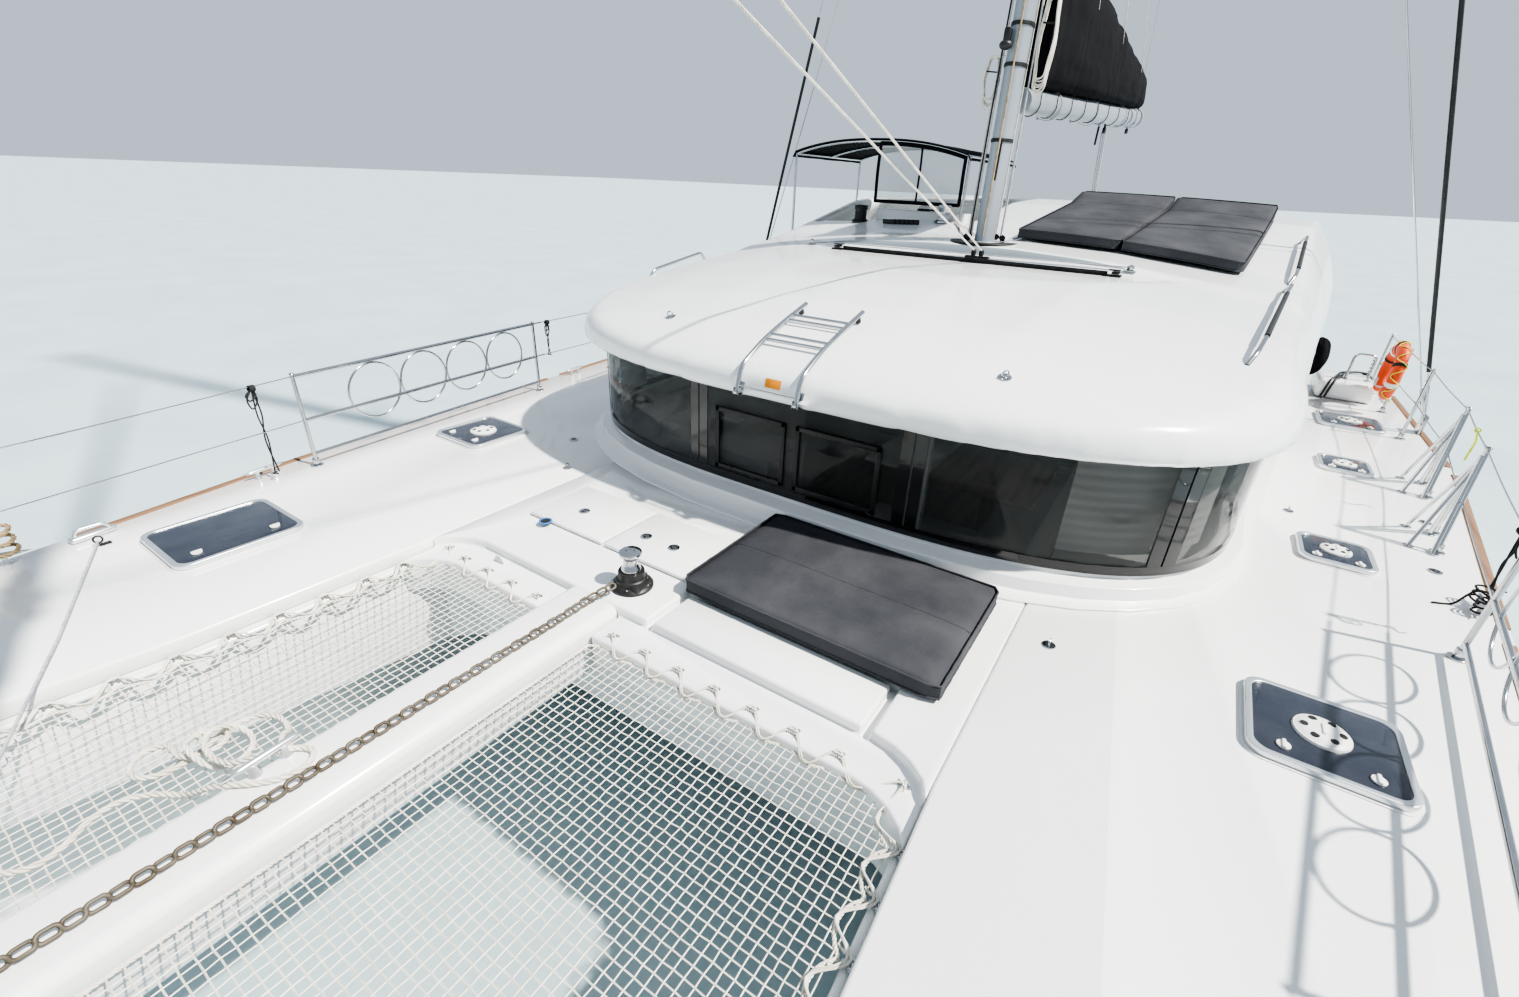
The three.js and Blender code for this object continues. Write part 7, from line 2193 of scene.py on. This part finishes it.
class CATAMARAN_OT_deck_details(bpy.types.Operator):
    """Adds the caps, latches, padeyes, mooring lines on deck, lashings and the port quarter's fittings"""

    bl_idname = "catamaran.deck_details"
    bl_label = "Deck details"

    def execute(self, context):
        bright, dark, blue, white = [], [], [], []
        for kind, x, y, z in PORTS:
            if kind == "socket":
                blue.append(plate([rounded_plan(x - 0.04, x + 0.04, y - 0.04, y + 0.04, 0.0399),
                                   rounded_plan(x - 0.028, x + 0.028, y - 0.028, y + 0.028, 0.0279)], z,
                                   z + 0.004, 0.001))
                dark.append(drum(0.027, 0.004, (x, y, z + 0.002), edge=0.001))
            elif kind == "latch":
                bright.append(drum(0.033, 0.004, (x, y, z + 0.002), edge=0.001))
                dark.append(block((0.04, 0.016, 0.003), (x, y, z + 0.005), 0.001))
                bright.append(hoop(0.012, 0.0025, (x - 0.008, y, z + 0.007), (0, 0, 1), 20, 6))
            elif kind == "fill":
                bright.append(drum(0.034, 0.006, (x, y, z + 0.003), edge=0.002))
                dark.append(drum(0.02, 0.002, (x, y, z + 0.0062)))
                bright.append(block((0.03, 0.004, 0.002), (x, y, z + 0.0075), 0.0008))
            else:
                bright.append(padeye((x, y, z), size=0.9))
        white.append(drum(0.04, 0.006, (3.457, -1.02, 1.6), (1, 0, 0), edge=0.002))
        done("deck_caps", bright, "stainless")
        done("deck_cap_centres", dark, "black")
        done("deck_socket_ring", blue, "blue")
        done("locker_vent", white, "white")

        taut = [Vector((4.654, -2.705, 1.685)), Vector((4.996, -1.855, 1.672)), Vector((5.63, -0.36, 1.7))]
        wraps = [Vector((5.63 + 0.02 * math.cos(a), -0.36 + 0.008 * k / 8, 1.69 + 0.02 * math.sin(a)))
                 for k, a in enumerate(i * math.pi / 4 for i in range(24))]
        done("guy_line", [laid(taut, 0.0065, 0.04, 1), pipe([wraps], 0.0055, 2)], "line", 1.2)
        done("guy_shackle", [hoop(0.018, 0.0045, (4.652, -2.712, 1.69), (0.3, 0.9, 0.2), 24, 8),
                             block((0.05, 0.03, 0.006), (4.63, -2.72, 1.655), 0.002)], "black")

        x, y, z, turn = TAN_CLEAT
        done("bow_cleat", [cleat((x, y, z), turn, 0.32)], "alloy", 0.9)
        belay("bow_rope", Vector((x, y, z + 0.03)), turn, (0.115, 0.05), 0.055, 0.011, "tan")
        x = PORT_CLEAT_X
        belay("waist_rope", Vector((x, edge_y(x) - 0.115, 1.673)), -0.13, (0.1, 0.036), 0.03, 0.006, "lashing",
              -0.5)

        knots = []
        for _, sign in SIDES:
            for px, drop in ((3.72, 0.56), (1.2, 0.3)):
                knots.append(joined(lanyard((px, sign * (edge_y(px) - POST_IN), POST_TOP - 0.012), drop, sign)))
        done("rail_lanyards", knots, "lashing", 1.2)
        tag = Vector((-0.62, edge_y(-0.62) - POST_IN, POST_TOP))
        ribbon = flow([tag, tag + Vector((0.02, 0.01, -0.06)), tag + Vector((-0.01, 0.02, -0.13)),
                       tag + Vector((0.015, 0.01, -0.2))], 6)
        done("gate_lanyard", [pipe([ribbon], 0.007, 2), hoop(0.014, 0.005, tag, (1, 0, 0), 18, 6)], "yellow",
             1.2)

        bars, lips = [], []
        for _, sign in SIDES:
            for x, lean in ((0.05, -0.17), (-0.29, 0.17), (-1.03, -0.17), (-1.38, 0.17)):
                foot = Vector((x, sign * (edge_y(x) - POST_IN - 0.3), ON_DECK))
                head = Vector((x + lean, sign * (edge_y(x + lean) - POST_IN), POST_TOP - 0.03))
                base = Vector((x, sign * (edge_y(x) - POST_IN), ON_DECK))
                bars.append([base + Vector((0.05, -0.03 * sign, 0)), head + Vector((0.03, -0.02 * sign, 0.0))])
                bars.append([base.lerp(foot, 0.45), head])
                spots = (base.lerp(foot, 0.45), base + Vector((0.05, -0.03 * sign, 0)))
                lips.extend(drum(0.03, 0.006, p + UP * 0.003, edge=0.002) for p in spots)
        done("gate_braces", [pipe(bars, 0.011, 3), *lips], "stainless", 0.9)

        hoop_path = bend([(-4.05, 3.3, 1.85), (-4.05, 3.3, 2.12), (-4.05, 3.48, 2.12), (-4.05, 3.48, 1.85)],
                         0.06, 6)
        done("quarter_hoop", [pipe([hoop_path], 0.0125, 4), drum(0.03, 0.006, (-4.05, 3.3, 1.853), edge=0.002),
                              drum(0.03, 0.006, (-4.05, 3.48, 1.853), edge=0.002)], "stainless", 0.9)
        done("quarter_locker", [block((0.62, 0.5, 0.2), (-4.15, 3.32, 1.75), 0.05, segments=4)], "gelcoat")
        hose = flow([(-3.8, 3.12, 1.66), (-3.86, 3.16, 1.84), (-4.0, 3.22, 1.868), (-4.3, 3.3, 1.866),
                     (-4.42, 3.5, 1.86), (-4.46, 3.6, 1.7)], 10)
        done("quarter_hose", [pipe([hose, [p + Vector((0.0, 0.035, 0.001)) for p in hose]], 0.011, 3)], "black",
             1.0)
        cord = [Vector((-4.05, 3.47, 2.1)) + Vector((0.016 * math.cos(a), 0.012 * math.sin(a), -0.004 * k))
                for k, a in enumerate(i * math.pi / 5 for i in range(50))]
        done("quarter_lashing", [pipe([cord], 0.005, 2)], "line", 1.2)

        def cover(u, v):
            a = math.tau * u
            b = math.pi * (v - 0.5)
            lump = 1 + 0.14 * noise.noise(Vector((math.cos(a) * 2, math.sin(a) * 2, v * 4)))
            return (-4.18 + 0.1 * lump * math.cos(b) * math.cos(a),
                    3.0 + 0.11 * lump * math.cos(b) * math.sin(a), 2.02 + 0.2 * math.sin(b) * lump)

        folded = done("quarter_cover", [shaped(cover, 36, 28)], "canvas", 1.0)

        a, b = on_roof(0.80, -2.3)[0], on_roof(0.02, -2.3)[0]
        rails = [bend([a, a + Vector((-0.06, 0, 0.07)), b + Vector((0.06, 0, 0.07)), b], 0.05, 6)]
        for x0, x1, y0, y1 in ((1.008, -1.002, 2.058, 2.248), (-1.277, -2.706, 2.283, 2.368)):
            points = [on_roof(mix(x0, x1, k / 6), mix(y0, y1, k / 6))[0] for k in range(7)]
            lift = Vector((0, 0.03, 0.065))
            run = [points[0], points[0] + lift + Vector((-0.07, 0, 0)), *[p + lift for p in points[1:-1]],
                   points[-1] + lift + Vector((0.07, 0, 0)), points[-1]]
            rails.append(bend(run, 0.05, 6))
        done("roof_grab_rails", [pipe(rails, 0.0125, 4)], "stainless", 0.9)
        grips = [pipe([[p + Vector((0, 0.001, 0.002)) for p in run[len(run) // 4: -len(run) // 4]]], 0.0155, 3)
                 for run in rails[1:]]
        done("roof_grab_grips", grips, "black", 0.9)
        return {"FINISHED"}


class CATAMARAN_OT_ends(bpy.types.Operator):
    """Finishes the bows: the beam's brackets and stays, the bow roller and the lights"""

    bl_idname = "catamaran.ends"
    bl_label = "Bows"

    def execute(self, context):
        steel = []
        for _, sign in SIDES:
            steel.append(drum(0.07, 0.02, (5.65, sign * 1.8, 1.56), (0, 1, 0), 36, 0.004))
            steel.append(block((0.1, 0.006, 0.16), (5.65, sign * 1.79, 1.54), 0.002))
        for shift in (-0.045, 0.045):
            steel.append(block((0.32, 0.008, 0.09), (5.82, -0.29 + shift, 1.7), 0.003))
        steel.append(block((0.3, 0.1, 0.008), (5.8, -0.29, 1.656), 0.003))
        done("bow_roller_cheeks", steel, "stainless")
        roller = turned(((0, -0.036), (0.032, -0.036), (0.022, -0.012), (0.02, 0), (0.022, 0.012),
                         (0.032, 0.036), (0, 0.036)),
                        (5.93, -0.29, 1.69), (0, 1, 0), 32)
        done("bow_roller", [roller], "black")
        stays = [pipe([[(5.65, sign * 1.7, 1.6), (5.65, 0, 2.0)]], 0.011, 3) for _, sign in SIDES]
        done("beam_stays", stays, "stainless", 0.9)
        for side, sign in SIDES:
            done(f"bow_light_{side}", [block((0.05, 0.03, 0.04), (6.24, sign * 2.52, 2.24), 0.008)], "black")
        return {"FINISHED"}


class CATAMARAN_PT_panel(bpy.types.Panel):
    """Lists the operators and the settings"""

    bl_idname = "CATAMARAN_PT_panel"
    bl_label = "Sailing catamaran"
    bl_space_type = "VIEW_3D"
    bl_region_type = "UI"
    bl_category = "Catamaran"

    def draw(self, context):
        for group in ("catamaran_looks", "catamaran_sizes", "catamaran_view"):
            settings = getattr(context.scene, group)
            column = self.layout.column()
            for key in settings.bl_rna.properties.keys():
                if key not in ("rna_type", "name"):
                    column.prop(settings, key)
        column = self.layout.column()
        for operator in STEPS:
            column.operator(operator.bl_idname)


GROUPS = (CatamaranLooks, CatamaranSizes, CatamaranView)
STEPS = (
    CATAMARAN_OT_finishes,
    CATAMARAN_OT_stage,
    CATAMARAN_OT_mouldings,
    CATAMARAN_OT_roof,
    CATAMARAN_OT_hatches,
    CATAMARAN_OT_nets,
    CATAMARAN_OT_mooring_rope,
    CATAMARAN_OT_deck_fittings,
    CATAMARAN_OT_cabin,
    CATAMARAN_OT_pads,
    CATAMARAN_OT_ground_tackle,
    CATAMARAN_OT_rails,
    CATAMARAN_OT_ladder,
    CATAMARAN_OT_jib_track,
    CATAMARAN_OT_mast,
    CATAMARAN_OT_boom,
    CATAMARAN_OT_standing_rigging,
    CATAMARAN_OT_helm,
    CATAMARAN_OT_awning,
    CATAMARAN_OT_lifebuoy,
    CATAMARAN_OT_deck_details,
    CATAMARAN_OT_ends,
)


def register():
    """Adds the classes and their settings."""
    for kind in (*GROUPS, *STEPS, CATAMARAN_PT_panel):
        bpy.utils.register_class(kind)
    bpy.types.Scene.catamaran_looks = bpy.props.PointerProperty(type=CatamaranLooks)
    bpy.types.Scene.catamaran_sizes = bpy.props.PointerProperty(type=CatamaranSizes)
    bpy.types.Scene.catamaran_view = bpy.props.PointerProperty(type=CatamaranView)


def unregister():
    """Takes the classes and their settings away."""
    del bpy.types.Scene.catamaran_view
    del bpy.types.Scene.catamaran_sizes
    del bpy.types.Scene.catamaran_looks
    for kind in (CATAMARAN_PT_panel, *reversed(STEPS), *reversed(GROUPS)):
        bpy.utils.unregister_class(kind)


def main():
    """Builds everything in order."""
    register()
    for operator in STEPS:
        family, step = operator.bl_idname.split(".")
        if getattr(getattr(bpy.ops, family), step)() != {"FINISHED"}:
            raise RuntimeError(f"{operator.bl_idname} didn't finish")


if __name__ == "__main__":
    main()
